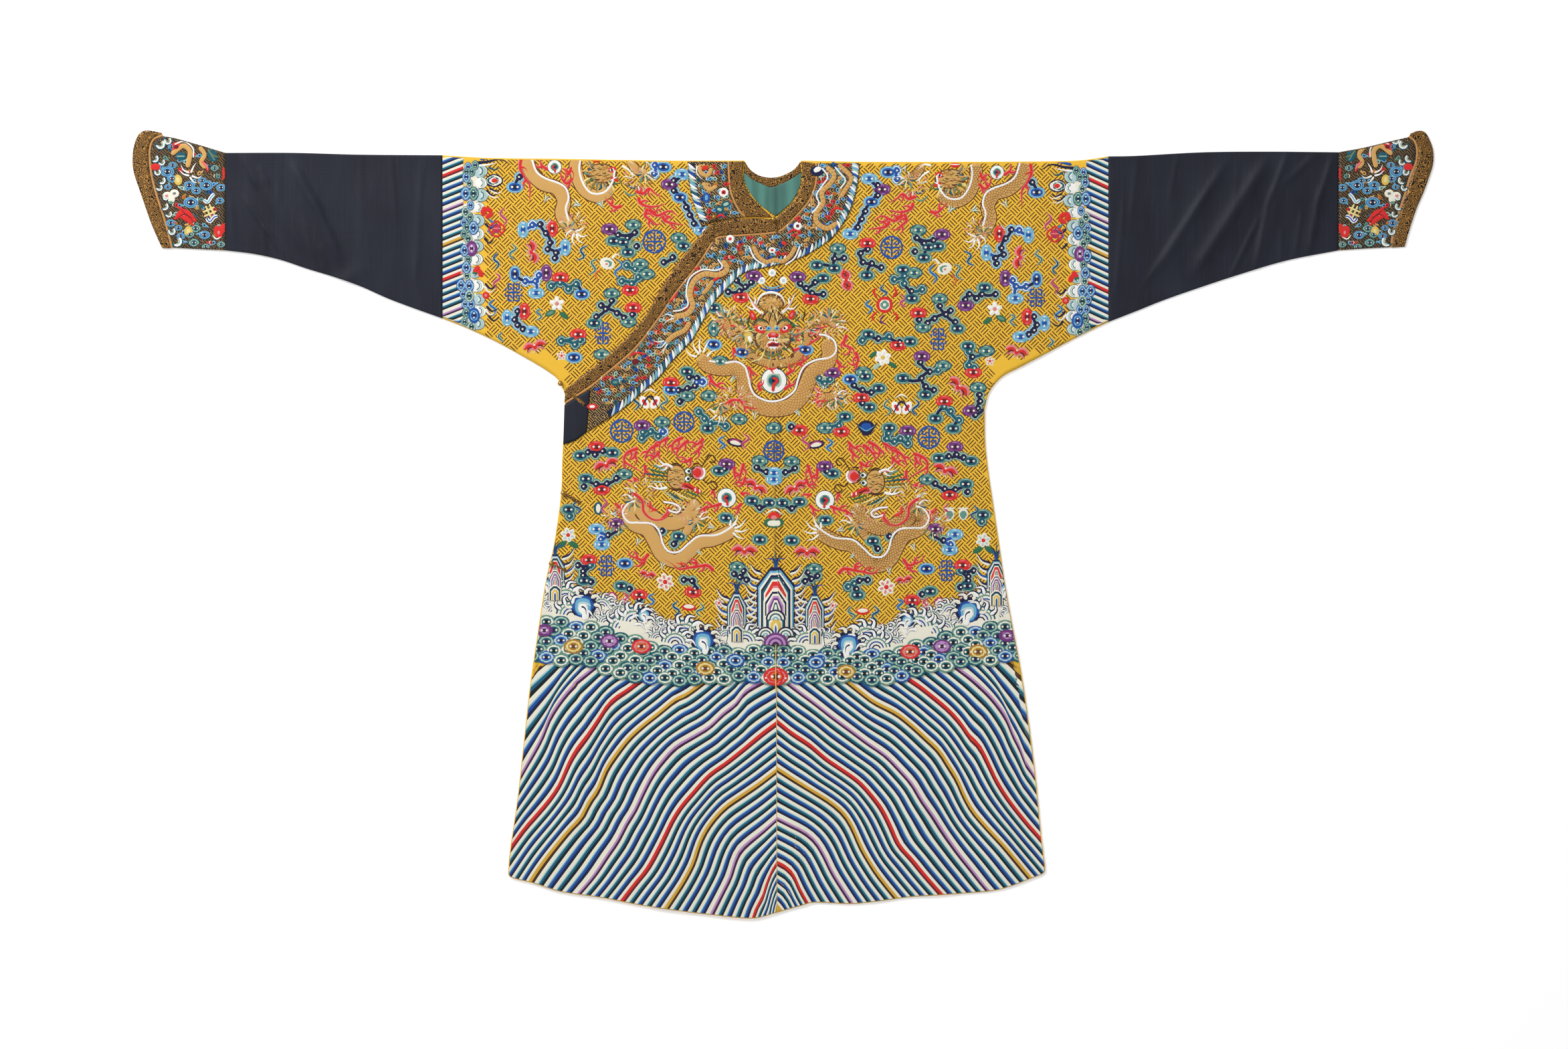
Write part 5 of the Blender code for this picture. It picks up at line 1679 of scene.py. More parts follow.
def hump(stitching, x, y, radius, level):
    """Swelling wave: a cream mound with thin bowed lines and a comb of spray on its crest."""
    stitching.pad("cream", x, y, radius * 1.15, radius, level)
    for share, floss in ((0.92, "teal"), (0.7, "sea"), (0.48, "royal"), (0.26, "navy")):
        stitching.arc(floss, x, y - radius * 0.1, radius * share, 8, 172, radius * 0.12, level + 1)
    for angle in range(28, 170, 34):
        a = math.radians(angle)
        foot = (x + radius * 0.7 * math.cos(a), y + radius * 0.66 * math.sin(a))
        bend = (x + radius * 1.15 * math.cos(a + 0.1), y + radius * 1.1 * math.sin(a + 0.1))
        tip = (x + radius * 1.4 * math.cos(a + 0.42), y + radius * 1.22 * math.sin(a + 0.42))
        stitching.stroke("navy", [foot, bend, tip], radius * 0.46, level + 2, "tail", 4.0)
        stitching.stroke("white", [foot, bend, tip], radius * 0.26, level + 3, "tail", 4.0)


def curl(stitching, x, y, radius, level=3):
    """Breaking wave: rings of blue round a white eye that opens downwards, claws of spray round it."""
    for angle in range(-12, 200, 38):
        a = math.radians(angle)
        foot = (x + radius * 0.8 * math.cos(a), y + radius * 0.8 * math.sin(a))
        bend = (x + radius * 1.2 * math.cos(a + 0.1), y + radius * 1.2 * math.sin(a + 0.1))
        tip = (x + radius * 1.44 * math.cos(a + 0.42), y + radius * 1.34 * math.sin(a + 0.42))
        stitching.stroke("navy", [foot, bend, tip], radius * 0.56, level - 1, "tail", 4.0)
        stitching.stroke("cream", [foot, bend, tip], radius * 0.36, level, "tail", 4.0)
    for floss, size, drop in (("navy", 1.0, 0.0), ("royal", 0.88, 0.02), ("sky", 0.7, 0.08),
                              ("pale", 0.56, 0.14), ("white", 0.44, 0.2)):
        stitching.pad(floss, x, y - radius * drop, radius * size, radius * size, level + (1 - size) * 5)
    stitching.stroke("white", [(x, y - radius * 0.2), (x - radius * 0.2, y - radius * 0.7),
                               (x - radius * 0.1, y - radius * 1.1)], radius * 0.5, level + 4, "round", 4.0)
    stitching.stroke("navy", [(x + radius * 0.1, y - radius * 0.1), (x - radius * 0.2, y - radius * 0.3),
                              (x - radius * 0.25, y - radius * 0.75)], radius * 0.14, level + 5, "tail", 4.0)


def spray(stitching, x, y, direction, count, reach, spread, flosses=("navy", "cream"), width=2.6, level=2):
    """Leaves of spray in a row: each a curved leaf, leaning further out along the row."""
    for number in range(count):
        t = number / max(1, count - 1) - 0.5
        angle = math.radians(direction + spread * t)
        foot = np.array([x + t * spread * 0.28 * math.sin(math.radians(direction)),
                         y - t * spread * 0.28 * math.cos(math.radians(direction))])
        way = np.array([math.cos(angle), math.sin(angle)])
        side = np.array([-way[1], way[0]]) * reach * 0.14 * (1 if t > 0 else -1)
        stitching.stroke(flosses[number % len(flosses)], [foot, foot + way * reach * 0.55 + side,
                         foot + way * reach], width, level, "leaf")


def rock(stitching, x, low, stages, level=3):
    """Mountain: stages set one in front of the other, each of nested pointed outlines."""
    inset = stages[0][0] * 0.075
    for number, ((half, height), colours) in enumerate(zip(stages, STAGES)):
        for ring, floss in enumerate(colours):
            if half - ring * inset > inset * 0.6:
                stitching.arch(floss, x, low, 2 * (half - ring * inset), height - ring * inset * 1.5,
                               level + number * 6 + ring * 0.5)


def mountain_spray(stitching, x, low, half, height):
    """Curved leaves of spray up both sides of a mountain and over its top."""
    for side in (-1, 1):
        for number in range(int(height / 12.5)):
            rise = low + 8 + number * 12.5
            reach = 19.0 + 3.5 * (number % 2)
            near = half * (1.0 if rise < low + height * 0.74 else 1.0 - (rise - low - height * 0.74) / height)
            foot = np.array([x + side * (near - 3.0), rise])
            bend, tip = foot + (side * reach * 0.6, reach * 0.25), foot + (side * reach, reach * 0.85)
            stitching.stroke("navy" if number % 3 else "royal", [foot, bend, tip], 7.6, 2, "tail", 4.0)
            stitching.stroke("cream", [foot - (0, 2.2), bend - (0, 2.2), tip - (0, 1.6)], 4.8, 3, "tail", 4.0)
    for lean, floss in ((-13, "royal"), (-7, "navy"), (0, "teal"), (7, "navy"), (13, "royal")):
        top = (x, low + height - 2)
        tip = (x + lean * 1.3, low + height + 27 - abs(lean))
        stitching.stroke(floss, [top, (x + lean * 0.4, low + height + 13), tip], 3.8, 3, "tail", 4.0)


def numbers_of(table):
    return [tuple(float(value) for value in mark.split(",")) for mark in table.split()]


def foot_line(flip):
    """Top of the water on one half, given on the tables' half."""
    top = np.array(WAVES_TOP, float)
    if not flip:
        return top[top[:, 0] > MIRROR_X - 8]
    top = top[top[:, 0] < MIRROR_X + 8][::-1]
    x = 2 * MIRROR_X - top[:, 0]
    return np.stack([x, top[:, 1] - MIRROR_RISE * np.clip((x - MIRROR_X) / MIRROR_REACH, 0, 1)], axis=1)


def water_clouds(stitching):
    """Both halves of the band: ground, mountains, swelling waves, curls and rows of cloud heads."""
    crest = np.array(CLOUD_CREST, float)
    for flip in (False, True):
        stitching.flip = flip
        foot = foot_line(flip)
        bed(stitching, "cream", WAVE_CREST, CLOUD_CREST, 1)
        bed(stitching, "sea", CLOUD_CREST, foot - (0, 2.0), 1)
        for x, y, *sizes in ROCKS:
            mountain_spray(stitching, x, y, *sizes[:2])
            rock(stitching, x, y, list(zip(sizes[::2], sizes[1::2])))
        for number, (x, y, radius) in enumerate(numbers_of(HUMPS)):
            large = number % 3 == 1
            level = 3 + 1.5 * (number % 2) + (3 if large else 0)
            hump(stitching, x, y, radius * (1.5 if large else 0.95), level)
        for x, y, radius in numbers_of(CURLS):
            curl(stitching, x, y, radius, 9)
        for row in range(5):
            first = (25.0 if flip else 0.0) if row % 2 else 12.5
            spots = np.arange(first, 420.0, 25.0) + MIRROR_X
            high, low = np.interp(spots, *crest.T), np.interp(spots, *foot.T) + 7.5
            spots_y = low + (high - low) * (4 - row) / 4.25 + 2.5 * np.sin(np.arange(len(spots)) * 2.3 + row)
            for number, (x, y) in enumerate(zip(spots, spots_y)):
                kind = CLOUD_KINDS[(number * 3 + row * 2) % len(CLOUD_KINDS)]
                round_cloud(stitching, x, y, 15.5, CLOUD_RINGS[kind], 9 + 1.6 * row)
        for kind, radius, mark in rows_of(CLOUD_SPECIALS):
            x, y = pairs([mark])[0]
            round_cloud(stitching, x, y, float(radius) * 1.1, CLOUD_RINGS[kind], 18)
    stitching.flip = False
    x, y, *sizes = CENTRE_ROCK
    mountain_spray(stitching, x, y, *sizes[:2])
    rock(stitching, x, y, list(zip(sizes[::2], sizes[1::2])))
    for mark, radius, level in ROCK_FANS:
        fan(stitching, *mark, radius, ROCK_FAN_FLOSSES, 0, 180, level)
    x, y = ROCK_KNOB
    for number, floss in enumerate(("purple", "lilac", "purple", "lilac", "plum")):
        stitching.arc(floss, x, y, 19.0 - 3.6 * number, 0, 180, 4.4, 27 + number % 2)
    x, y = ROCK_CLOUD
    round_cloud(stitching, x, y, 21.0, CLOUD_RINGS["pink"], 19)
    stitching.stroke("yellow", [(MIRROR_X, y) for y in SEAM_LINE], 1.7, 24, "round", 14.0)


# ---- bats, flames, dragons and treasures ------------------------------------------------------------
def bat(stitching, x, y, turn, size):
    """Bat: a round body and two scalloped wings, red edged with pink, with white points."""
    a = math.radians(turn)

    def at(u, v):
        u, v = u * size, v * size
        return (x + u * math.cos(a) - v * math.sin(a), y + u * math.sin(a) + v * math.cos(a))

    for side in (-1, 1):
        stitching.stroke("pink", [at(0, 2), at(side * 8, 7), at(side * 19, 2)], 7.5 * size, 2, "leaf")
        stitching.stroke("red", [at(0, 1), at(side * 9, 5), at(side * 17, 0)], 5.5 * size, 3, "leaf")
        stitching.stroke("pink", [at(side * 3, 0), at(side * 9, -1), at(side * 14, -6)], 5 * size, 2, "leaf")
        stitching.stroke("maroon", [at(side * 4, 1), at(side * 10, 1), at(side * 13, -4)], 2.5 * size, 4,
                         "leaf")
        stitching.stroke("cream", [at(side * 2, -5), at(side * 5, -9)], 1.8 * size, 3, "leaf")
    stitching.pad("pink", *at(0, 0), 5 * size, 6 * size, 3, turn)
    stitching.pad("red", *at(0, 0.5), 3.6 * size, 4.6 * size, 4, turn)
    stitching.pad("cream", *at(0, 3.6), 1.6 * size, 1.4 * size, 5, turn)


def flame(stitching, path):
    """Tongue of fire: a tapering red stroke with a pink edge, and short tongues leaving it by turns."""
    line = smooth(path)
    run = float(np.hypot(*np.diff(line, axis=0).T).sum())
    tongues = [path]
    for number, share in enumerate((0.2, 0.5) if run > 26 else (0.4,)):
        foot, ahead = sample(line, np.array([share, share + 0.2]))
        way = (ahead - foot) / np.hypot(*(ahead - foot))
        side = np.array([-way[1], way[0]]) * (1 if number % 2 else -1)
        tongues.append([foot, foot + way * 4 + side * 7, foot + way * 13 + side * 9])
    for number, tongue in enumerate(tongues):
        stitching.stroke("pink", tongue, 6.4 if number else 8.0, 2, "tail", 4.0)
        stitching.stroke("red", tongue, 4.4 if number else 5.8, 3, "tail", 4.0)


def body_of_dragon(stitching, width, path):
    """Dragon's body: a tan band with a brown edge and rows of scales, each scale a short bowed stroke
    across the body, every other row moved half a scale along."""
    stitching.stroke("brown", path, width + 3.5, 2, spacing=7.0)
    stitching.stroke("tan", path, width, 3, spacing=7.0)
    line = smooth(path)
    run = float(np.hypot(*np.diff(line, axis=0).T).sum())
    where = np.arange(6.0, run - 6.0, 3.6)
    spots = sample(line, where / run)
    way = np.gradient(spots, axis=0)
    way /= np.linalg.norm(way, axis=1)[:, None]
    side = np.stack([-way[:, 1], way[:, 0]], axis=1)
    step = width / 4.2
    arcs = []
    bow = np.array([(-0.46, 0.0), (-0.3, 0.34), (0.0, 0.5), (0.3, 0.34), (0.46, 0.0)]) * step
    for number in range(len(spots)):
        shift = 0.5 * step if number % 2 else 0.0
        for lane in (-1.5, -0.5, 0.5, 1.5):
            if abs(lane * step + shift) > width * 0.44:
                continue
            middle = spots[number] + side[number] * (lane * step + shift - 0.25 * step)
            arcs.append(middle + side[number] * bow[:, :1] + way[number] * bow[:, 1:])
    arcs = np.stack(arcs)
    back = np.gradient(arcs, axis=1)
    normal = np.stack([-back[..., 1], back[..., 0]], axis=2)
    normal /= np.linalg.norm(normal, axis=2)[..., None]
    offsets = np.array([-0.6, 0.0, 0.6])
    xy = arcs[:, :, None] + normal[:, :, None] * offsets[:, None]
    low, high = top_of(3) - 0.1, top_of(3) + 0.2
    stitching.cells("scale", xy, np.array([low, high, low]))


def spine(stitching, path):
    """Dragon's back fin: a white ridge beside a thin red line."""
    stitching.stroke("maroon", path, 5.4, 3, spacing=5.0)
    stitching.stroke("white", path, 4.0, 4, spacing=5.0)


def pearl(stitching, x, y, radius):
    """Flaming pearl: white rim, teal field shading to dark, and a red comma."""
    for floss, size, level in (("teal", 1.12, 2), ("white", 1.04, 3), ("mint", 0.74, 4), ("sea", 0.6, 5),
                               ("teal", 0.46, 6), ("navy", 0.26, 7)):
        stitching.pad(floss, x, y, radius * size, None, level)
    stitching.stroke("red", [(x - radius * 0.1, y + radius * 0.25), (x + radius * 0.28, y),
                             (x, y - radius * 0.35), (x - radius * 0.1, y - radius * 0.9)], radius * 0.26, 8,
                     "round", 3.0)


def fret(stitching, x, y, width, height, floss="royal"):
    """Generic fret medallion: nested key strokes in a round or oblong outline."""
    thick = 3.0
    w, h = width / 2, height / 2
    if abs(width - height) < 1:
        stitching.arc(floss, x, y, w, 0, 359, thick, 2)
    for side in (-1, 1):
        for up in (-1, 1):
            u, v = side * w, up * h
            stitching.stroke(floss, [(x + u * 0.18, y + v * 0.78), (x + u * 0.62, y + v * 0.78)], thick, 2)
            stitching.stroke(floss, [(x + u * 0.62, y + v * 0.78), (x + u * 0.62, y + v * 0.28)], thick, 2)
            stitching.stroke(floss, [(x + u * 0.62, y + v * 0.28), (x + u * 0.28, y + v * 0.28)], thick, 2)
            stitching.stroke(floss, [(x + u * 0.28, y + v * 0.28), (x + u * 0.28, y + v * 0.52)], thick, 2)
            stitching.stroke(floss, [(x + u * 0.9, y + v * 0.12), (x + u * 0.9, y + v * 0.4)], thick, 2)
    stitching.stroke(floss, [(x - w * 0.75, y), (x + w * 0.75, y)], thick, 3)
    stitching.stroke(floss, [(x, y - h * 0.85), (x, y + h * 0.85)], thick, 3)


def ribbon(stitching, path, floss="royal", edge="sky"):
    """Streamer: a two-tone band with pointed ends."""
    stitching.stroke(edge, path, 5.0, 2, "leaf", 4.0)
    stitching.stroke(floss, path, 2.8, 3, "leaf", 4.0)


def bloom(stitching, x, y, radius, petals, outer, inner, heart, level=2):
    """Flower: petals round a heart, each an oval with a lighter edge."""
    for number in range(petals):
        a = math.tau * number / petals + 0.3
        px, py = x + radius * 0.6 * math.cos(a), y + radius * 0.6 * math.sin(a)
        stitching.pad(outer, px, py, radius * 0.5, radius * 0.36, level, math.degrees(a))
        stitching.pad(inner, px, py, radius * 0.3, radius * 0.2, level + 1, math.degrees(a))
    stitching.pad(heart, x, y, radius * 0.28, None, level + 2)


def rows_of(table):
    return [line.split() for line in table.strip().splitlines() if line.strip()]


def pairs(marks):
    return [tuple(float(value) for value in mark.split(",")) for mark in marks]


def draw_rows(stitching, table):
    """Draws a table of strokes and pads. Stroke: side, floss, width, level, shape, points. Pad: side,
    floss, @, level, half width, half height, turn, point."""
    for side, floss, *rest in rows_of(table):
        if rest[0] == "@":
            level, rx, ry, turn = float(rest[1]), float(rest[2]), float(rest[3]), float(rest[4])
            for x, y in pairs(rest[5:]):
                both_halves(stitching, side, lambda: stitching.pad(floss, x, y, rx, ry, level, turn))
        else:
            width, level, shape = float(rest[0]), float(rest[1]), rest[2]
            path = pairs(rest[3:])
            both_halves(stitching, side, lambda: stitching.stroke(floss, path, width, level, shape, 4.0))


# flames: side, then the points of one tongue
FLAMES = in_mm("""
r 1266,500 1262,515 1270,520 1268,530 1255,528
r 1279,526 1283,540 1275,546 1265,540
r 1250,538 1258,548 1268,549
r 1185,525 1200,520 1215,512 1228,500 1222,492
r 1208,500 1222,492 1240,487
r 1182,508 1195,500 1203,490
r 1083,477 1088,490 1100,497
r 1085,605 1095,598 1110,600 1125,603
r 1108,600 1120,610 1145,612
r 1218,580 1228,590 1232,597
r 1215,598 1235,600 1248,595
r 1118,548 1125,558 1135,562
r 1145,548 1155,552 1165,548
r 1175,560 1183,555 1180,548 1195,540
r 1172,582 1180,575 1178,565
r 1138,585 1133,575 1140,568
r 1060,560 1066,572 1078,580 1092,582
r 1095,520 1104,530 1118,534
r 1190,545 1202,540 1210,530
b 1268,660 1275,668 1282,672 1290,680
b 1270,672 1280,682 1288,684
b 1290,665 1300,672 1308,685 1303,695
b 1298,660 1312,668 1315,680 1306,690
b 1285,690 1295,697 1305,695
b 1320,662 1332,670 1334,682
b 1335,673 1348,680 1355,695 1350,700
b 1333,682 1342,692 1352,697
b 1365,678 1382,685 1386,697 1370,708 1358,715
b 1355,703 1355,715 1362,722
b 1365,727 1375,720
b 1368,682 1372,692 1380,696
b 1320,765 1322,775 1335,785 1350,780 1358,765 1362,750 1372,745 1380,745
b 1338,772 1350,765 1356,758
b 1208,695 1212,710 1216,722 1222,728
b 1222,700 1222,712 1218,722
b 1205,715 1210,727 1220,730
b 1210,755 1218,762 1228,764
b 1240,757 1255,762 1270,765
b 1262,762 1275,770
b 1252,735 1258,745
b 1213,738 1206,745
b 1400,760 1392,768 1385,778 1395,778 1398,770
b 1253,858 1262,850 1275,852 1290,855 1305,857 1315,850 1330,842
b 1280,855 1278,845 1288,840
b 1300,853 1302,845
b 1350,835 1358,845 1368,842 1378,838 1380,828
b 1355,850 1365,848
b 1370,293 1358,298 1350,290 1340,298 1328,304
b 1365,303 1362,312 1350,317 1335,316 1325,313
b 1352,320 1355,330 1348,337 1340,344 1330,343
b 1350,322 1338,330 1330,328 1318,323 1305,331
b 1330,330 1325,338 1310,342 1298,343
b 1465,258 1470,270 1475,262
b 1463,275 1472,283 1480,275 1482,262
b 1500,262 1510,255 1512,245
b 1540,245 1542,260 1535,275 1528,285 1528,310
b 1390,316 1400,318 1412,308 1415,300
""")
# dragons' bodies: side, width in mm, points; fins: side, points; pearls: side, radius in mm, point
BODIES = in_mm("""
r 25 1046,532 1060,546 1080,551 1098,551 1111,562 1113,580 1120,594 1133,606 1155,612 1180,608 1199,592 \
1208,572 1216,556 1234,545 1241,527 1233,508
r 13 1225,480 1238,478 1250,488
r 13 1080,475 1090,492 1100,508
r 13 1104,488 1106,510 1120,530 1140,541 1160,544 1182,540 1200,526 1208,508 1206,492
r 13 1090,608 1080,612 1072,618
r 13 1228,592 1240,594 1252,588
b 22 1280,752 1285,768 1296,782 1316,790 1338,785 1356,770 1370,766 1381,776 1372,792 1353,800 1342,816 \
1330,838 1308,846 1290,832 1275,816 1255,811 1236,803 1222,793
b 13 1350,790 1362,776 1372,756
b 13 1296,806 1286,790 1272,782
b 22 1532,240 1526,265 1508,283 1487,290 1476,308 1480,328 1470,345 1458,356
b 20 1460,244 1458,268 1446,292 1424,302 1404,290
b 13 1380,246 1368,262 1352,268
""")
FINS = in_mm("""
r 1060,540 1085,543 1101,541 1114,549 1119,566 1123,581 1131,592 1150,600 1170,597 1187,585 1193,570 \
1198,555 1206,545 1221,538 1240,535 1250,525 1247,510 1235,502 1224,500
b 1218,785 1235,797 1250,804 1275,807 1291,819 1305,832 1320,832 1329,820 1334,802 1346,791 1365,789 \
1380,788 1389,775 1381,761 1369,757
b 1328,758 1312,760 1302,767 1308,773 1322,770
b 1525,243 1518,264 1505,275 1485,282 1474,290 1469,305 1474,320 1469,338
b 1400,262 1404,280 1416,296 1436,297 1448,282 1453,262 1452,246
""")
PEARLS = in_mm("""
r 20 1157,569
b 15 1233,748
b 11 1491,258
""")
FRETS = in_mm("""
r 38 38 979,361
r 38 38 930,644
r 34 34 1157,674
r 37 37 1389,654
r 37 37 1333,370
r 34 34 1023,631
r 27 44 902,498
r 27 44 1403,507
r 27 42 907,846
r 27 42 1415,853
r 30 36 768,437
r 30 36 1549,445
""")
# bats: side, turn, size, point
BATS = in_mm("""
r 100 1.0 1265,418
l 80 1.0 1055,420
b 80 1.1 1525,385
b -15 1.1 1520,528
r -45 1.2 1432,580
b -20 1.2 1413,704
b 30 1.1 1190,731
b 0 1.2 1207,827
b 10 0.8 1352,868
""")
STREAMERS = in_mm("""
b 1398,395 1390,405 1400,415 1394,425
b 1425,395 1436,400 1430,412 1440,420
b 1440,375 1452,382 1446,392 1458,398
b 1565,318 1572,328 1562,338 1568,346
b 1590,335 1582,343 1590,352 1584,360
b 1555,372 1548,380 1558,388 1550,398
b 1575,385 1582,395 1574,403 1580,412
b 1580,415 1572,423 1582,432 1576,440
b 1580,455 1588,463 1578,472 1584,482
b 1568,505 1575,512 1566,520
r 1323,425 1316,432 1326,438 1318,444
r 1345,440 1354,446 1346,453 1356,460
r 1302,448 1294,455 1304,462 1296,470
b 1330,596 1322,606 1332,614 1324,622
b 1366,596 1374,604 1364,613 1372,622
b 1210,650 1200,658 1210,666 1202,674
b 1235,655 1245,662 1236,670 1246,676
b 1275,905 1268,914 1278,920 1270,928
b 1306,905 1314,913 1304,920 1312,928
b 1390,893 1380,900 1388,908 1378,914
b 1420,893 1430,900 1421,908 1431,914
b 1508,470 1518,474 1510,482 1520,488
b 1455,755 1462,764 1452,770 1460,778
b 1420,752 1412,760 1420,768 1412,776
b 1340,895 1350,900 1342,908 1352,914
""")
MOTIFS = in_mm("""
b cream @ 2 13 10 20 1412,402
b sea @ 3 9 7 20 1411,402
b cream @ 4 6 5 20 1413,403
b pink @ 5 3 2.5 0 1413,403
b cream 5 3 tail 1405,395 1398,388 1392,392
b orange 3.5 3 leaf 1420,410 1430,418 1425,428
r red @ 2 14 14 0 1323,456
r cream @ 3 11 11 0 1323,456
r sea @ 4 8 8 0 1323,456
r cream @ 5 3.5 3.5 0 1323,456
r red 4 2 leaf 1312,446 1306,436 1312,430
r red 4 2 leaf 1332,446 1340,438 1336,428
r red 4 2 leaf 1312,466 1304,474 1308,482
r red 4 2 leaf 1334,466 1342,474 1338,482
r purple 3 3 leaf 1322,470 1316,480 1326,486
b white @ 3 7 12 30 1340,610
b white @ 3 7 12 -30 1356,610
b red @ 4 4 8 30 1340,610
b red @ 4 4 8 -30 1356,610
b navy 3 5 leaf 1334,620 1348,600 1362,620
b cream 3 5 leaf 1338,596 1348,590 1358,596
r navy @ 2 14 11 0 1295,638
r royal @ 3 11 8 0 1295,638
r navy 5 3 leaf 1280,632 1295,650 1312,632
r sky 2 5 leaf 1283,636 1295,644 1308,636
r mint @ 2 7 4 40 1310,548
r green @ 2 8 4 -35 1335,546
r green @ 2 8 4 35 1306,530
b green @ 2 10 5 -25 1497,476
b sea @ 3 7 3 -25 1497,476
b green @ 2 9 4.5 35 1476,480
b magenta @ 2 8 8 0 1577,350
b red 3 3 round 1569,342 1585,358
b red 3 3 round 1585,342 1569,358
b red 3 4 round 1577,338 1589,350 1577,362 1565,350 1577,338
b pink 2 5 round 1571,350 1583,350
r cream @ 2 8 11 0 1420,768
r cream @ 2 8 11 0 1440,768
r sea @ 3 6 8 0 1420,769
r sea @ 3 6 8 0 1440,769
r cream 2.4 4 round 1412,760 1428,760
r cream 2.4 4 round 1432,760 1448,760
l teal @ 2 8 11 0 1425,768
l cream @ 3 5 8 0 1425,768
b green @ 2 10 5 30 1462,822
b green @ 2 10 5 -30 1480,822
b navy @ 2 15 7 10 1220,665
b cream @ 3 12 5 10 1220,665
b magenta 3 4 leaf 1208,668 1220,660 1232,664
r green @ 2 17 9 0 1157,781
r cream @ 3 13 6 0 1157,782
r red @ 3 10 7 0 1157,772
r pink @ 4 6 4 0 1157,773
r white 3 4 leaf 1143,770 1157,762 1171,770
b red @ 2 12 6 0 1290,914
b cream @ 3 9 4 0 1290,913
b magenta @ 2 10 10 0 1405,902
b cream @ 3 7.5 7.5 0 1405,902
b lilac @ 4 4.5 4.5 0 1405,902
b red 4 2 root 1305,948 1305,930
b red 3.5 2 root 1300,946 1294,932
b red 3.5 2 root 1310,946 1317,932
b pink 2 3 root 1303,946 1299,930
b cream @ 2 11 7 0 1397,940
b red @ 3 8 5 0 1397,941
b orange @ 4 4 2.5 0 1397,941
r white @ 3 6.5 6.5 0 1155,408 1139,420 1171,420
r pale @ 4 3.5 3.5 0 1155,408 1139,420 1171,420
r royal 5 2 leaf 1135,430 1155,436 1175,430
r sky 3 3 leaf 1141,427 1155,431 1169,427
""")
BLOOMS = in_mm("""
r 13 6 white cream yellow 1320,535
b 12 5 cream white pink 1487,462
b 12 6 cream pale red 1470,808
b 14 6 cream pink red 1325,878
b 8 5 pink cream red 1440,890
b 8 5 cream pink red 1480,540
b 8 5 cream pink red 1245,905
b 7 5 pink white red 1385,905
""")
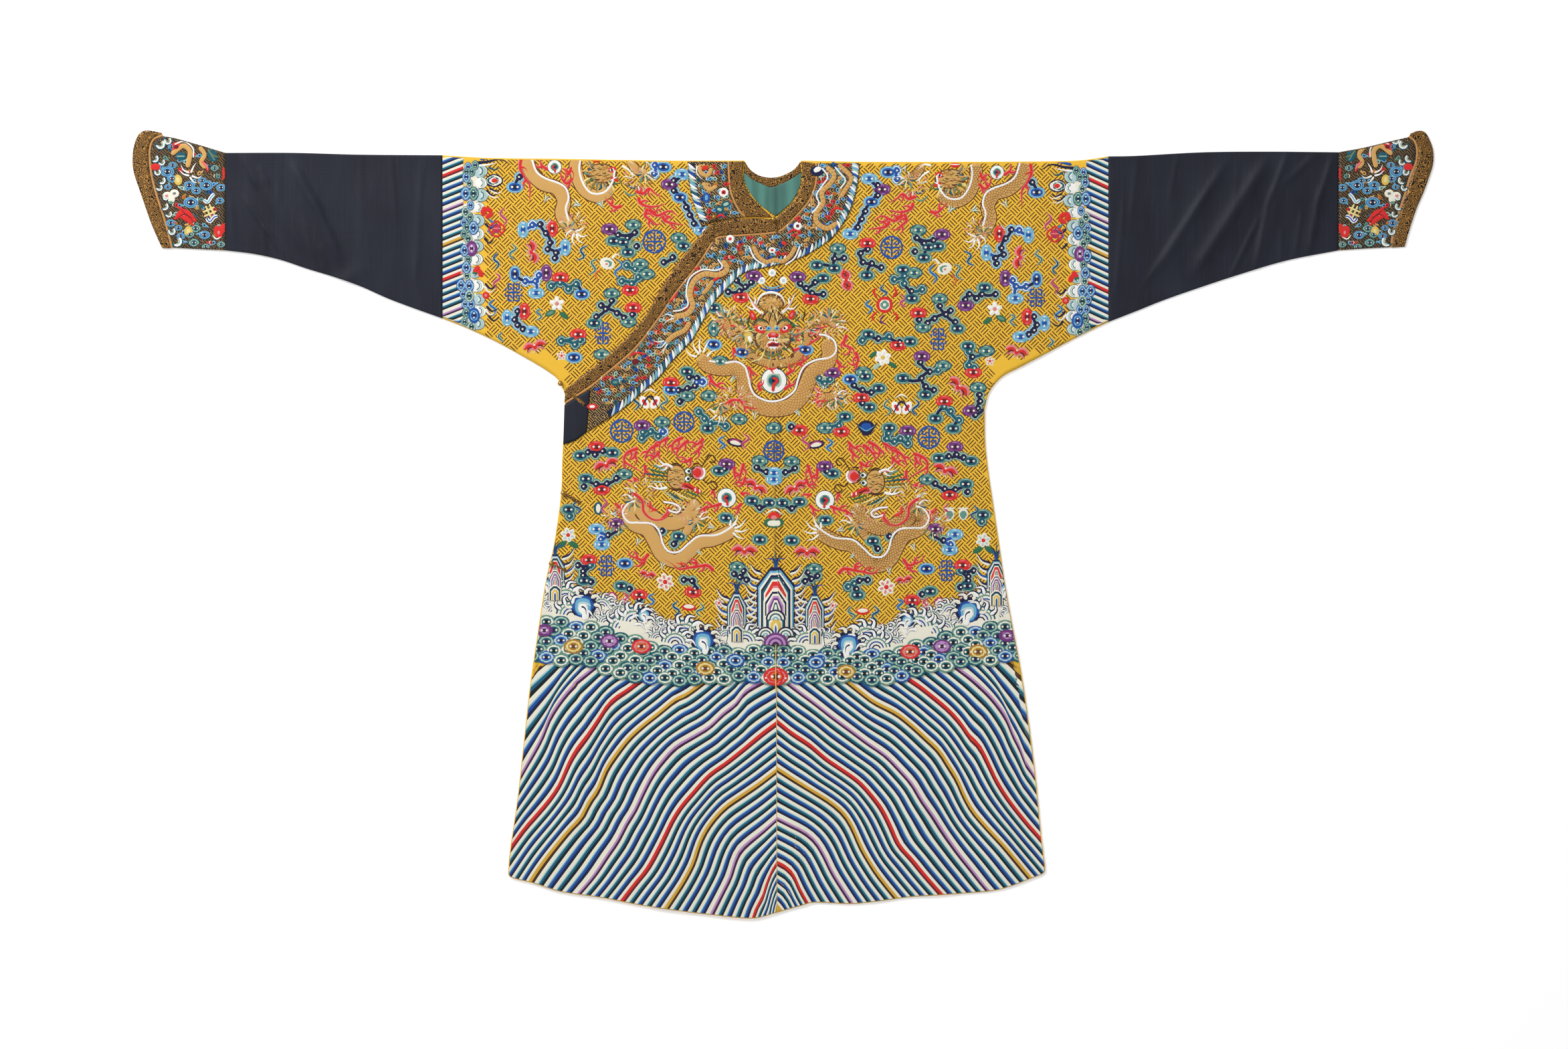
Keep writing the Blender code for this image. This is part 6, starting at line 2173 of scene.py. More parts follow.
# the facing dragon's head, then the lower dragons' and the shoulder dragons' heads
HEADS = in_mm("""
r brown @ 4 23 16 0 1153,452
r tan @ 5 20 13.5 0 1153,453
r ochre 2 6 leaf 1139,456 1146,446 1153,443
r ochre 2 6 leaf 1167,456 1160,446 1153,443
r ochre 2 6 leaf 1144,460 1153,452 1162,460
r white 4 7 leaf 1131,458 1138,443 1153,437 1168,443 1175,457
r white 5 7 tail 1141,470 1130,461 1123,450 1117,438
r pink 2 8 leaf 1138,466 1129,457 1124,448
r white 3.6 7 tail 1131,461 1123,462 1116,456
r white 3.6 7 tail 1128,456 1130,449 1127,443
r white 5 7 tail 1168,469 1178,460 1184,450 1189,438
r pink 2 8 leaf 1171,466 1180,456 1184,448
r white 3.6 7 tail 1178,461 1186,462 1192,456
r white 3.6 7 tail 1181,456 1179,449 1182,443
r red @ 7 5 9 25 1125,472
r pink @ 8 2 5 25 1125,472
r red @ 7 5 9 -25 1184,471
r pink @ 8 2 5 -25 1184,471
r brown @ 6 33 36 0 1155,497
r tan @ 7 30 33 0 1155,497
r gold 5 8 leaf 1143,484 1147,472 1153,464
r gold 5 8 leaf 1168,484 1164,472 1158,464
r umber 2.4 9 leaf 1138,482 1142,472 1149,466
r umber 2.4 9 leaf 1173,482 1169,472 1162,466
r umber 2.4 9 leaf 1149,484 1152,474 1155,466
r umber 2.4 9 leaf 1162,484 1159,474 1156,466
r umber 4 9.4 leaf 1126,486 1133,478 1145,480 1150,486
r green 3 10 leaf 1128,484 1135,478 1146,482
r umber 4 9.4 leaf 1185,486 1178,478 1166,480 1161,486
r green 3 10 leaf 1183,484 1176,478 1165,482
r red @ 9 11 6.4 -28 1136,492
r red @ 9 11 6.4 28 1175,492
r white @ 10 6 3.6 -28 1137,491
r white @ 10 6 3.6 28 1174,491
r ink @ 11 2.6 2.6 0 1138,491 1173,491
r sky @ 9 5 4 0 1149,491 1162,491
r royal @ 10 2.4 2 0 1149,491 1162,491
r gold @ 9 5 6 0 1155,484
r white @ 9.4 11 6.6 0 1156,503
r red @ 10 9.6 5.6 0 1156,502
r pink @ 11 5 2.6 0 1156,500
r ink @ 11 1.8 1.6 0 1151,505 1161,505
r white @ 9.4 11.6 7.6 0 1156,516
r red @ 10 10.4 6.2 0 1156,516
r maroon @ 11 8 4 0 1156,516
r white 2.4 12 round 1148,512 1153,513
r white 2.4 12 round 1159,513 1164,512
r white 2.4 12 round 1150,520 1162,520
r brown 3 9 leaf 1130,498 1130,512 1136,524
r brown 3 9 leaf 1181,498 1181,512 1175,524
r olive 4 9 leaf 1142,527 1155,532 1168,527
r yellow @ 6 8 10 20 1120,505
r white @ 7 4 6 20 1121,506
r tan 3 6 leaf 1128,500 1112,496 1098,484 1092,470 1100,462
r tan 3 6 leaf 1184,500 1200,496 1214,484 1220,470 1210,462
b brown @ 3 17 21 0 1308,720
b tan @ 4 15 19 0 1308,720
b umber 2.4 6 leaf 1298,704 1310,700 1322,706
b umber 2.4 6 leaf 1298,737 1310,740 1322,735
b green @ 6 6.4 5.6 0 1291,711 1292,722
b white @ 7 5 4.4 0 1291,711 1292,722
b ink @ 8 3 3 0 1290,711 1291,722
b umber @ 4 13 12 0 1277,712
b pink @ 5 12 11 0 1276,712
b red @ 6 8.4 8 0 1277,712
b white 3.4 7 round 1269,704 1266,711 1268,718 1274,722
b maroon 3 8 tail 1284,700 1277,698 1271,702
b red 8 6 round 1300,731 1288,734 1278,739 1271,741
b maroon 3 7 round 1296,732 1284,737
b white 2.4 8 round 1274,737 1273,742
b white 2.4 8 round 1280,735 1280,741
b pink 3 7 leaf 1290,737 1300,736 1306,731
b umber 1.8 5 round 1270,703 1265,694 1259,685 1251,688 1252,696 1259,695
b umber 1.8 5 round 1269,722 1262,727 1252,724 1247,731 1254,737 1260,731
b white 5 7 tail 1314,706 1324,702 1332,705 1341,701
b white 3.6 7 tail 1326,703 1332,698 1337,693
b white 3.6 7 tail 1322,704 1326,711 1334,711
b pink 2 8 leaf 1316,706 1324,704 1331,706
b white 5 7 tail 1322,736 1332,739 1342,737 1350,733
b white 3 7 tail 1330,738 1332,731 1336,729
b white 3 7 tail 1336,738 1340,731 1343,730
b green 3 5 leaf 1320,716 1336,713 1352,708
b teal 3 5.4 leaf 1322,720 1340,718 1358,716
b olive 3 5 leaf 1322,725 1340,724 1356,722
b mint 2.4 5.6 leaf 1322,728 1338,728 1350,727
b sea 3 5 leaf 1320,712 1332,708 1346,703
b green 3 5 leaf 1272,748 1284,744 1296,740
b olive 3 5.4 leaf 1276,752 1290,748 1304,742
b straw 3 5 leaf 1286,754 1300,749 1314,742
b teal 3 5.4 leaf 1296,756 1308,750 1322,742
b mint 2.4 5 leaf 1306,756 1318,749 1330,741
b olive 3 5 leaf 1266,744 1276,742 1288,738
b pink 6.4 5 tail 1373,745 1360,757 1357,773 1343,785 1327,783 1320,773 1327,762
b red 4.8 6 tail 1373,745 1360,757 1357,773 1343,785 1327,783 1320,773 1327,762
b brown @ 2 26 17 5 1420,268
b tan @ 3 23 15 5 1420,268
b gold @ 4 12 8 5 1424,262
b red @ 4 8 5 -15 1405,262
b white @ 5 5 3 -15 1405,262
b ink @ 6 2.4 2.4 0 1405,262
b red @ 4 8 4.5 0 1428,247
b white 2.4 5 leaf 1420,246 1436,246
b red @ 4 9 3.5 25 1402,276
b white 2.2 5 leaf 1396,272 1408,279
b white 4 4 tail 1390,256 1380,262 1374,272 1382,276
b white 4 4 tail 1392,248 1382,246 1372,254
b olive 3 3 leaf 1436,276 1444,286 1440,296
b olive 3 3 leaf 1424,280 1428,292 1424,300
b teal 3 3 leaf 1384,284 1374,290 1366,286
b sea 3 3 leaf 1388,292 1378,300 1368,298
""")
CLAWS = in_mm("""
r white 4 4 tail 1046,530 1038,520 1036,508
r white 4 4 tail 1048,528 1046,516 1048,503
r white 4 4 tail 1052,528 1056,516 1062,508
r white 4 4 tail 1042,534 1032,530 1024,520
r white 4 4 tail 1056,534 1064,526 1072,524
r white 3.4 4 tail 1070,618 1062,612 1056,616
r white 3.4 4 tail 1072,620 1066,626 1060,630
r white 3.4 4 tail 1076,622 1076,630 1072,637
r white 3.4 4 tail 1252,590 1260,584 1268,588
r white 3.4 4 tail 1254,592 1262,596 1264,604
r white 3.4 4 tail 1248,594 1252,602 1250,610
r white 3.4 4 tail 1250,488 1258,480 1266,482
r white 3.4 4 tail 1252,490 1262,490 1270,496
r white 3.4 4 tail 1080,476 1072,468 1070,458
r white 3.4 4 tail 1078,478 1068,478 1062,470
b white 4 4 tail 1222,793 1212,788 1204,778
b white 4 4 tail 1222,796 1210,797 1200,792
b white 4 4 tail 1224,790 1218,780 1216,770
b white 4 4 tail 1224,799 1216,806 1206,808
b white 4 4 tail 1228,790 1228,780 1234,772
b white 3.4 4 tail 1272,782 1262,778 1254,782
b white 3.4 4 tail 1274,780 1268,772 1260,770
b white 3.4 4 tail 1374,754 1382,748 1392,750
b white 3.4 4 tail 1370,752 1372,742 1380,738
b white 4 4 tail 1458,356 1450,362 1440,360
b white 4 4 tail 1458,358 1454,368 1446,372
b white 4 4 tail 1460,354 1452,352 1444,346
b white 4 4 tail 1462,358 1464,368 1458,376
b white 4 4 tail 1464,352 1472,358 1474,366
b white 3.4 4 tail 1352,268 1344,264 1336,268
b white 3.4 4 tail 1352,270 1346,276 1338,278
""")
# hair along limbs and bodies: side, floss, direction, count, length, spread, point
HAIR = in_mm("""
r sea 240 7 16 60 1100,560
r olive 260 6 15 50 1130,615
r sea 300 6 15 50 1190,612
r olive 330 6 15 50 1225,560
r grey 150 6 14 60 1090,470
r grey 40 6 14 60 1235,475
r olive 250 6 13 60 1085,622
r olive 290 6 13 60 1242,604
b sea 250 6 15 60 1300,800
b olive 270 6 15 50 1330,848
b sea 220 6 15 50 1280,826
b olive 60 6 13 50 1374,746
b grey 200 6 13 50 1262,790
b sea 0 6 14 50 1396,776
b olive 290 6 14 50 1364,812
b olive 300 6 14 60 1500,300
b sea 200 6 14 60 1462,312
b grey 340 6 14 60 1494,340
b sea 240 6 14 60 1424,308
b olive 60 5 12 60 1350,256
""")


# manes: side, turn of the first and last strand, how many, inner and outer radius in mm, level, point
MANES = in_mm("""
r 150 390 34 30 60 5 1155,500
b 200 400 20 20 42 3 1420,268
r 190 330 9 5 22 5 1078,604
r 200 400 10 5 22 5 1250,596
r 0 180 9 5 22 5 1086,478
r -20 160 9 5 22 5 1240,478
b 200 380 10 5 22 4 1372,756
b 180 360 10 5 22 4 1280,784
b 200 380 10 5 20 4 1356,268
b 20 200 9 5 20 4 1470,352
b 200 380 9 5 22 4 1395,790
""")
# tufts of short stitches: side, how many, half width and height, level, kind, centre
TUFTS = in_mm("""
r 120 33 36 8.4 face 1155,494
r 34 21 15 6 face 1153,453
r 40 26 24 5.4 hair 1116,496
r 44 30 26 5.4 hair 1198,490
r 24 60 10 5.4 face 1154,540
r 50 28 26 3.6 pale 1090,482
r 60 36 24 3.6 pale 1236,484
r 50 36 18 3.6 pale 1100,596
r 50 40 20 3.6 pale 1240,592
b 40 14 18 4.4 side 1307,720
b 50 24 16 4.4 side 1420,268
b 30 26 20 3.6 pale 1362,742
b 30 26 18 3.6 pale 1290,772
b 30 22 18 3.6 pale 1366,276
b 30 22 18 3.6 pale 1462,344
b 30 24 20 3.6 pale 1398,782
""")
TUFT_FLOSSES = {"face": ("scale", "gold", "umber", "straw", "olive", "scale", "ochre"),
                "side": ("scale", "gold", "umber", "tan", "olive", "brown", "ochre"),
                "hair": ("olive", "straw", "green", "tan", "umber", "mint", "teal"),
                "pale": ("fawn", "scale", "fawn", "cream", "fawn", "pink")}


def tuft(stitching, count, wide, high, level, kind, x, y):
    """Short leaves set in a sunflower order inside an oval, each pointing out from its middle, or all
    swept back on a head seen from the side."""
    flosses = TUFT_FLOSSES[kind]
    reach = 6.5 if kind in ("face", "side") else 9.0
    for number in range(count):
        a, share = number * 2.4, math.sqrt((number + 1) / count)
        way = np.array([math.cos(a), math.sin(a)])
        foot = (x, y) + way * (wide, high) * share * 0.85
        if kind == "side":
            way = np.array([0.94, 0.34 * math.sin(number * 1.9)])
        bend = np.array([-way[1], way[0]]) * reach * 0.25 * math.sin(number * 1.3)
        stitching.stroke(flosses[number % len(flosses)], [foot, foot + way * reach * 0.5 + bend,
                         foot + way * reach], 2.6, level + 0.2 * (number % 3), "leaf", 4.0)


MANE_FLOSSES = ("olive", "tan", "green", "straw", "brown", "sea", "tan", "teal", "gold", "grey")


def mane(stitching, start, end, count, inner, outer, level, x, y):
    """Strands round a point: curved leaves from the inner to the outer radius, every third longer."""
    for number in range(count):
        a = math.radians(start + (end - start) * number / (count - 1))
        reach = outer * (0.78 + 0.22 * math.cos(number * 2.4))
        b = a + 0.22 * math.cos(number * 1.7)
        middle = (inner + reach) / 2
        stitching.stroke(MANE_FLOSSES[number % len(MANE_FLOSSES)],
                         [(x + inner * 0.8 * math.cos(a), y + inner * 0.8 * math.sin(a)),
                          (x + middle * math.cos(a), y + middle * math.sin(a)),
                          (x + reach * math.cos(b), y + reach * math.sin(b))], 3.4, level, "leaf", 4.0)


def dragons(stitching):
    for side, width, *marks in rows_of(BODIES):
        both_halves(stitching, side, lambda: body_of_dragon(stitching, float(width), pairs(marks)))
    for side, floss, turn, count, reach, spread, mark in rows_of(HAIR):
        x, y = pairs([mark])[0]
        both_halves(stitching, side, lambda: spray(stitching, x, y, float(turn), int(count), float(reach),
                                                   float(spread), (floss, "cream"), 2.0, 2))
    for side, *marks in rows_of(FINS):
        both_halves(stitching, side, lambda: spine(stitching, pairs(marks)))
    for side, *values, mark in rows_of(MANES):
        start, end, count, inner, outer, level = (int(value) for value in values)
        x, y = pairs([mark])[0]
        both_halves(stitching, side, lambda: mane(stitching, start, end, count, inner, outer, level, x, y))
    for side, *values, kind, mark in rows_of(TUFTS):
        count, wide, high, level = (float(value) for value in values)
        x, y = pairs([mark])[0]
        both_halves(stitching, side, lambda: tuft(stitching, int(count), wide, high, level, kind, x, y))
    draw_rows(stitching, CLAWS)
    draw_rows(stitching, HEADS)
    for side, radius, mark in rows_of(PEARLS):
        x, y = pairs([mark])[0]
        both_halves(stitching, side, lambda: pearl(stitching, x, y, float(radius)))


def small_motifs(stitching):
    for side, *marks in rows_of(FLAMES):
        both_halves(stitching, side, lambda: flame(stitching, pairs(marks)))
    for side, turn, size, mark in rows_of(BATS):
        x, y = pairs([mark])[0]
        both_halves(stitching, side, lambda: bat(stitching, x, y, float(turn), float(size)))
    for side, width, height, mark in rows_of(FRETS):
        x, y = pairs([mark])[0]
        both_halves(stitching, side, lambda: fret(stitching, x, y, float(width), float(height)))
    for number, (side, *marks) in enumerate(rows_of(STREAMERS)):
        floss, edge = (("royal", "sky"), ("teal", "mint"), ("navy", "sky"), ("magenta", "pink"))[number % 4]
        both_halves(stitching, side, lambda: ribbon(stitching, pairs(marks), floss, edge))
    for side, radius, petals, outer, inner, heart, mark in rows_of(BLOOMS):
        x, y = pairs([mark])[0]
        both_halves(stitching, side, lambda: bloom(stitching, x, y, float(radius), int(petals), outer, inner,
                                                   heart))
    draw_rows(stitching, MOTIFS)

# ---- stitching on the sleeve ends, the collar and the cuffs ------------------------------------------
# cloud heads standing on the sleeve's water: kind, radius in mm, point
SLEEVE_CLOUDS = in_mm("""
blue 7 1620,258
teal 7 1609,255
teal 7 1614,265
blue 8 1622,273
green 7 1618,283
blue 10 1623,298
teal 10 1612,298
blue 7 1616,315
green 8 1623,325
teal 7 1617,333
teal 8 1621,348
blue 10 1612,349
green 8 1620,365
blue 9 1625,383
lilac 11 1614,380
teal 7 1620,396
blue 9 1622,408
green 7 1621,421
blue 9 1630,435
blue 9 1618,436
green 9 1618,451
blue 8 1615,463
teal 8 1622,476
blue 11 1611,480
teal 7 1625,490
green 8 1614,497
teal 7 1622,265
blue 7 1626,341
teal 7 1626,358
blue 7 1627,448
blue 7 1624,463
teal 7 1622,505
blue 7 1613,508
""")
# white waves beside them: column, row, radius in mm
SLEEVE_WAVES = in_mm("""1598,264,15 1597,282,12 1597,300,14 1600,318,11 1602,338,14 1602,358,13 1603,376,13
1604,396,13 1606,416,12 1603,436,14 1600,456,12 1599,474,13 1601,492,13""")
SLEEVE_TRIMS = in_mm("""
b navy 5 3 tail 1606,252 1590,250 1572,246 1556,254
b royal 5 3 tail 1602,246 1584,243 1566,240
b teal 4 3 tail 1590,258 1580,262 1572,258
b white 4 4 tail 1604,256 1588,254 1576,252
b navy @ 3 15 11 0 1581,278
b cream @ 4 13 9 0 1581,278
b teal @ 5 11 7.5 0 1582,278
b cream @ 6 8 5.5 0 1582,278
b red @ 7 6 4 0 1581,278
b navy 4 3 tail 1592,292 1584,300 1574,298
b navy 4 3 tail 1588,290 1578,294 1570,290
b cream 4 2 tail 1592,296 1582,304 1572,302
b cream 4 2 tail 1586,292 1576,298 1568,294
b red @ 5 5 8 0 1597,324
b red @ 5 8 4 20 1590,322
b red @ 5 8 4 -30 1588,330
b navy 4 4 tail 1594,342 1586,350 1578,344
b navy 4 4 tail 1596,364 1588,372 1582,366
b navy 4 4 tail 1594,432 1586,440 1576,432
b cream 4 3 tail 1596,436 1588,445 1578,438
b navy 4 4 tail 1592,466 1584,474 1574,468
b cream 4 3 tail 1594,470 1586,479 1576,474
b navy 4 4 tail 1590,480 1582,488 1572,482
b red @ 5 5 8 35 1607,412
b red @ 5 5 8 -35 1602,416
b green @ 5 5 3 0 1609,416
b red @ 4 6 6 0 1593,450
b pink @ 5 3 3 0 1593,450
""")
# along the band: tan dragons with white fins, flowers, then claws and small accents
BAND_BODIES = in_mm("""
r 8 1236,250 1247,262 1240,276 1229,288 1231,304 1221,318 1221,332 1236,342 1252,334
r 7 1254,246 1264,256 1273,268 1264,284 1256,296
r 7 1126,368 1133,383 1146,392 1158,389 1170,391 1182,383 1190,368
r 9 1080,390 1087,403 1074,412 1054,410 1038,421 1032,440 1036,458 1026,470 1008,474
r 8 1032,482 1024,494 1008,502 996,512
r 7 1066,420 1058,432 1050,440
""")
BAND_FINS = in_mm("""
r 1229,252 1238,265 1229,279 1221,292 1224,306 1214,320
r 1248,250 1256,260 1264,270 1256,283
r 1120,368 1128,386 1144,398
r 1196,368 1188,386 1174,397
r 1073,388 1080,399 1070,405 1050,404 1032,416 1026,438 1029,456 1018,464 1006,466
""")
BAND_TRIMS = in_mm("""
r white @ 4 6 5 0 1155,375
r red @ 5 3.4 2.6 0 1155,375
r red @ 4 5 3 30 1138,364
r red @ 4 5 3 -30 1172,364
r white @ 4 7 7 0 1193,338
r maroon @ 5 3.6 3.6 0 1193,338
r white @ 4 7 7 0 1092,358
r red @ 5 3.6 3.6 0 1092,358
r white 2.6 5 tail 996,512 988,520 978,520
r white 2.6 5 tail 998,514 992,524 984,530
r white 2.6 5 tail 994,510 984,512 974,508
r white 2.6 5 tail 1008,474 998,470 990,474
r white 2.6 5 tail 1008,476 998,480 992,486
r red 4 4 leaf 940,534 952,528 966,530
r red 4 4 leaf 1000,452 1008,446 1014,436
r red 4 4 leaf 1176,352 1186,344 1196,348
r red 4 4 leaf 1240,318 1250,312 1262,314
r red 5 4 leaf 1062,425 1070,418 1078,414
r maroon @ 4 6 5 0 950,541
r navy @ 4 12 9 0 1222,256
r white @ 5 8 5 20 1222,254
r teal @ 4 8 6 0 920,572
r sea @ 5 5 3 0 920,572
r red @ 4 9 5 0 886,608
r white @ 5 6 3 0 886,608
""")
INNER_TRIMS = in_mm("""
r tan 7 4 round 1046,246 1048,258 1058,262 1064,252
r white 2.6 5 tail 1042,248 1042,260 1052,270
r red @ 4 5 4 0 1054,252
r tan 6 4 round 1050,274 1060,284 1072,278
r white @ 4 8 8 0 1082,288
r red @ 5 5 5 0 1082,288
r navy @ 6 2.4 2.4 0 1082,288
r teal @ 4 9 6 20 1086,306
r mint @ 5 6 3.4 20 1086,306
r teal @ 4 8 6 -20 1076,314
r mint @ 5 5 3 -20 1076,314
r royal @ 4 6 9 0 1056,296
r sky @ 5 3.4 6 0 1056,296
r red 4 4 leaf 1070,328 1078,322 1086,326
""")
# cuff: clouds as kind, radius and points, then strokes and pads
CUFF_CLOUDS = in_mm("""
cuff 11 251,257
cuff 7 259,247
cuff 8 258,268
cuff 6 252,280
cuff 9 284,277
cuff 8 294,285
cuff 11 309,277
cuff 7 303,270
cuff 12 286,303
cuff 8 331,281
cuff 9 307,352
teal 9 293,342
teal 9 291,363
teal 8 285,351
teal 7 308,369
teal 7 331,366
cuff 8 256,334
cuff 7 271,353
cuff 6 257,220
cuff 7 330,300
teal 7 322,252
cuff 6 268,341
""")
CUFF_WAVES = in_mm("""
231,238,9 241,243,8 235,258,8 241,270,9 238,281,8 247,296,7 246,309,9 252,321,8 256,346,9 263,361,12
239,216,11 250,211,9
""")
CUFF_TRIMS = in_mm("""
r tan 8 5 round 257,231 266,223 276,218 285,226 284,238 281,251
r white 2.4 6 round 262,216 276,212 289,222 290,236
r tan 7 5 round 299,220 307,231 301,243 308,252
r teal @ 5 9 7 0 271,234
r mint 2 6 round 265,234 277,234
r teal @ 5 8 12 20 318,232
r sea 2.4 6 round 312,224 322,240
r olive 3 6 leaf 310,222 318,232 330,236
r red @ 5 9 8 0 264,220
r maroon @ 6 5 4 0 264,220
r red 5 5 leaf 296,214 312,218 328,226
r red 6 5 leaf 300,240 308,248 312,258
r pink 3 6 leaf 302,242 309,248 312,255
r white 3.6 6 tail 284,259 275,254 271,246
r white 3.6 6 tail 284,263 275,261 269,254
r white 3.6 6 tail 286,259 290,250 294,244
r white 3.6 6 tail 287,263 297,267 303,262
r white 3.6 6 tail 285,265 290,272 296,274
r yellow @ 5 7 9 10 267,269
r straw @ 6 3.6 6 10 267,269
r yellow @ 5 7 9 0 283,346
r straw @ 6 3.6 6 0 283,346
r red 12 5 leaf 262,329 276,318 294,332
r red 8 5 leaf 268,308 279,321 295,330
r red 7 5 leaf 264,321 279,328 292,338
r maroon 2 6 leaf 266,326 278,321 290,331
r maroon 2 6 leaf 270,312 279,322 290,327
r straw 3 6 round 304,318 322,310
r straw 3 6 round 306,324 324,316
r straw 3 6 round 308,308 316,326
r straw 3 6 round 314,306 322,322
r ochre 2 5 round 302,312 312,328
r white 6 5 round 305,299 311,303 316,295 322,290
r sky 2.6 6 round 305,299 311,303 316,295 322,290
r white 6 5 round 309,326 315,332 321,325 327,323
r royal 2.6 6 round 309,326 315,332 321,325 327,323
r teal @ 5 4 4 0 301,309
r cream @ 5 8 7 0 251,293
r pink @ 6 4 3 0 250,293
r cream @ 5 8 7 0 262,290
r grey @ 6 4 3 0 262,290
r cream @ 5 6 6 0 257,299
r sea @ 6 4 3 0 256,303
r red @ 5 8 6 0 233,250
r red @ 5 7 11 20 327,347
r red @ 5 6 9 -20 334,342
r pink @ 6 2.6 4 0 328,348
r white 2.4 6 leaf 318,352 324,358 332,354
r red 5 5 leaf 334,250 336,262 333,270
""")
CLOUD_RINGS["cuff"] = ("sky", "royal", "sky", "navy", "navy")
SCATTER = (("sky", "royal"), ("sea", "teal"), ("red", "maroon"), ("sky", "navy"), ("teal", "navy"),
           ("sky", "navy"), ("ochre", "red"), ("gold", "ochre"), ("royal", "navy"), ("mint", "teal"),
           ("tan", "brown"), ("sky", "royal"), ("red", "maroon"))
ROPE = ("pale", "white", "sky", "mint", "white", "royal", "pale", "white", "teal")


def sleeve_clouds(stitching):
    """Columns of clouds and waves between the sleeve's stripes and the lattice."""
    for flip in (False, True):
        stitching.flip = flip
        for x, y, radius in numbers_of(SLEEVE_WAVES):
            stitching.pad("cream", x + 14, y, radius * 1.6, radius * 0.9, 1)
        for number, (x, y, radius) in enumerate(numbers_of(SLEEVE_WAVES)):
            radius *= 0.84
            stitching.pad("teal" if number % 2 else "navy", x + 4, y, radius * 1.08, radius * 0.98, 2)
            stitching.pad("white" if number % 2 else "pale", x + 4, y, radius, radius * 0.9, 3)
            for share, floss in ((0.8, "mint"), (0.56, "teal"), (0.3, "white")):
                stitching.arc(floss, x + 6, y, radius * share, 100, 260, radius * 0.17, 4)
        for kind, radius, mark in rows_of(SLEEVE_CLOUDS):
            x, y = pairs([mark])[0]
            level = 8 if float(radius) > 8 else 6 + 0.5 * (int(y) % 3)
            round_cloud(stitching, x, y, float(radius) * 1.2, CLOUD_RINGS[kind], level, 90.0)
    draw_rows(stitching, SLEEVE_TRIMS)


def wave_edge(stitching, inner, outer, width):
    """Rolling border along a band's outer edge: slanting leaves of white and blue over a pale ground."""
    across = outer - inner
    across /= np.linalg.norm(across, axis=1)[:, None]
    low, high = outer - across * width, outer - across * 0.8
    rows = np.linspace(0, 1, 5)[None, :, None]
    rise = np.array([-0.1, 0.25, 0.3, 0.25, -0.1])
    stitching.grid("navy", low[:, None] * (1 - rows) + high[:, None] * rows, rise)
    for number, first in enumerate(range(0, len(low) - 4, 2)):
        middle = (low[first + 2] + high[first + 2]) / 2 + across[first + 2] * width * 0.12
        stitching.stroke(ROPE[number % len(ROPE)], [low[first], middle, high[first + 4]], 4.4,
                         2 + number % 3, "leaf", 4.0)


def scatter(stitching, inner, outer, gap, lanes):
    """Small clouds over a band: at every gap of stations and in each lane, shifted by sine waves."""
    for number, station in enumerate(range(2, len(inner) - 2, gap)):
        for lane, share in enumerate(lanes):
            v = share + 0.07 * math.sin(number * 2.1 + lane * 2.6)
            x, y = inner[station] * (1 - v) + outer[station] * v
            edge, core = SCATTER[(number * 3 + lane * 4) % len(SCATTER)]
            turn = number * 1.3 + lane
            reach = 6.5 * np.array([math.cos(turn), math.sin(turn)])
            bend, end = (x + reach[0], y + reach[1] * 0.4), (x + reach[0] * 1.3, y + reach[1])
            stitching.stroke(edge, [(x, y), bend, end], 3.0, 1)
            stitching.pad(edge, x, y, 4.0, 3.2, 2, math.degrees(turn))
            stitching.pad(core, x, y, 2.6, 1.9, 3, math.degrees(turn))
            if (number + lane) % 4 == 0:
                leaf = [(x - 5, y - 3), (x - 7, y + 1), (x - 4, y + 4)]
                stitching.stroke("cream", leaf, 1.5, 4, "leaf", 3.0)


def small_dragon(stitching, width, path):
    stitching.stroke("brown", path, width + 2.0, 4, "round", 5.0)
    stitching.stroke("tan", path, width, 5, "round", 5.0)
    line = sample(smooth(path), even(max(6, int(len(path) * 5))))
    for one, two in zip(line[:-1:2], line[1::2]):
        way = np.array([one[1] - two[1], two[0] - one[0]])
        way = way / max(np.linalg.norm(way), 1e-6) * width * 0.36
        stitching.stroke("ochre", [one - way, one + way], 1.2, 6)


def collar_stitching(stitching):
    """Border, scattered clouds, dragons and flowers on the dark band."""
    last_row = len(COLLAR_SECTIONS) - 1
    neck = collar_stations(0, NECK_END, NECK_STATIONS, (2.0, 2.0))[5:]
    run = collar_stations(NECK_END, last_row, OVERLAP_STATIONS, (2.0, 0.0))[5:, :BAND_STATIONS]
    for inner, outer in (neck, run):
        wave_edge(stitching, inner, outer, 13.0)
        scatter(stitching, inner, outer, 3, (0.12, 0.3, 0.48, 0.66))
    for _, width, *marks in rows_of(BAND_BODIES):
        small_dragon(stitching, float(width), pairs(marks))
    for _, *marks in rows_of(BAND_FINS):
        stitching.stroke("white", pairs(marks), 2.6, 6, "round", 4.0)
    draw_rows(stitching, BAND_TRIMS)


def inner_stitching(stitching):
    """The same on the inner front's collar."""
    outer, inner = along(INNER_OUTER, even(40)), along(INNER_PIPING, even(40))
    outer, inner = outer[3:-1], inner[3:-1]
    across = outer - inner
    across /= np.linalg.norm(across, axis=1)[:, None]
    wave_edge(stitching, inner + across * 2, outer, 13.0)
    scatter(stitching, inner + across * 3, outer - across * 12, 4, (0.12, 0.36, 0.6, 0.84))
    draw_rows(stitching, INNER_TRIMS)


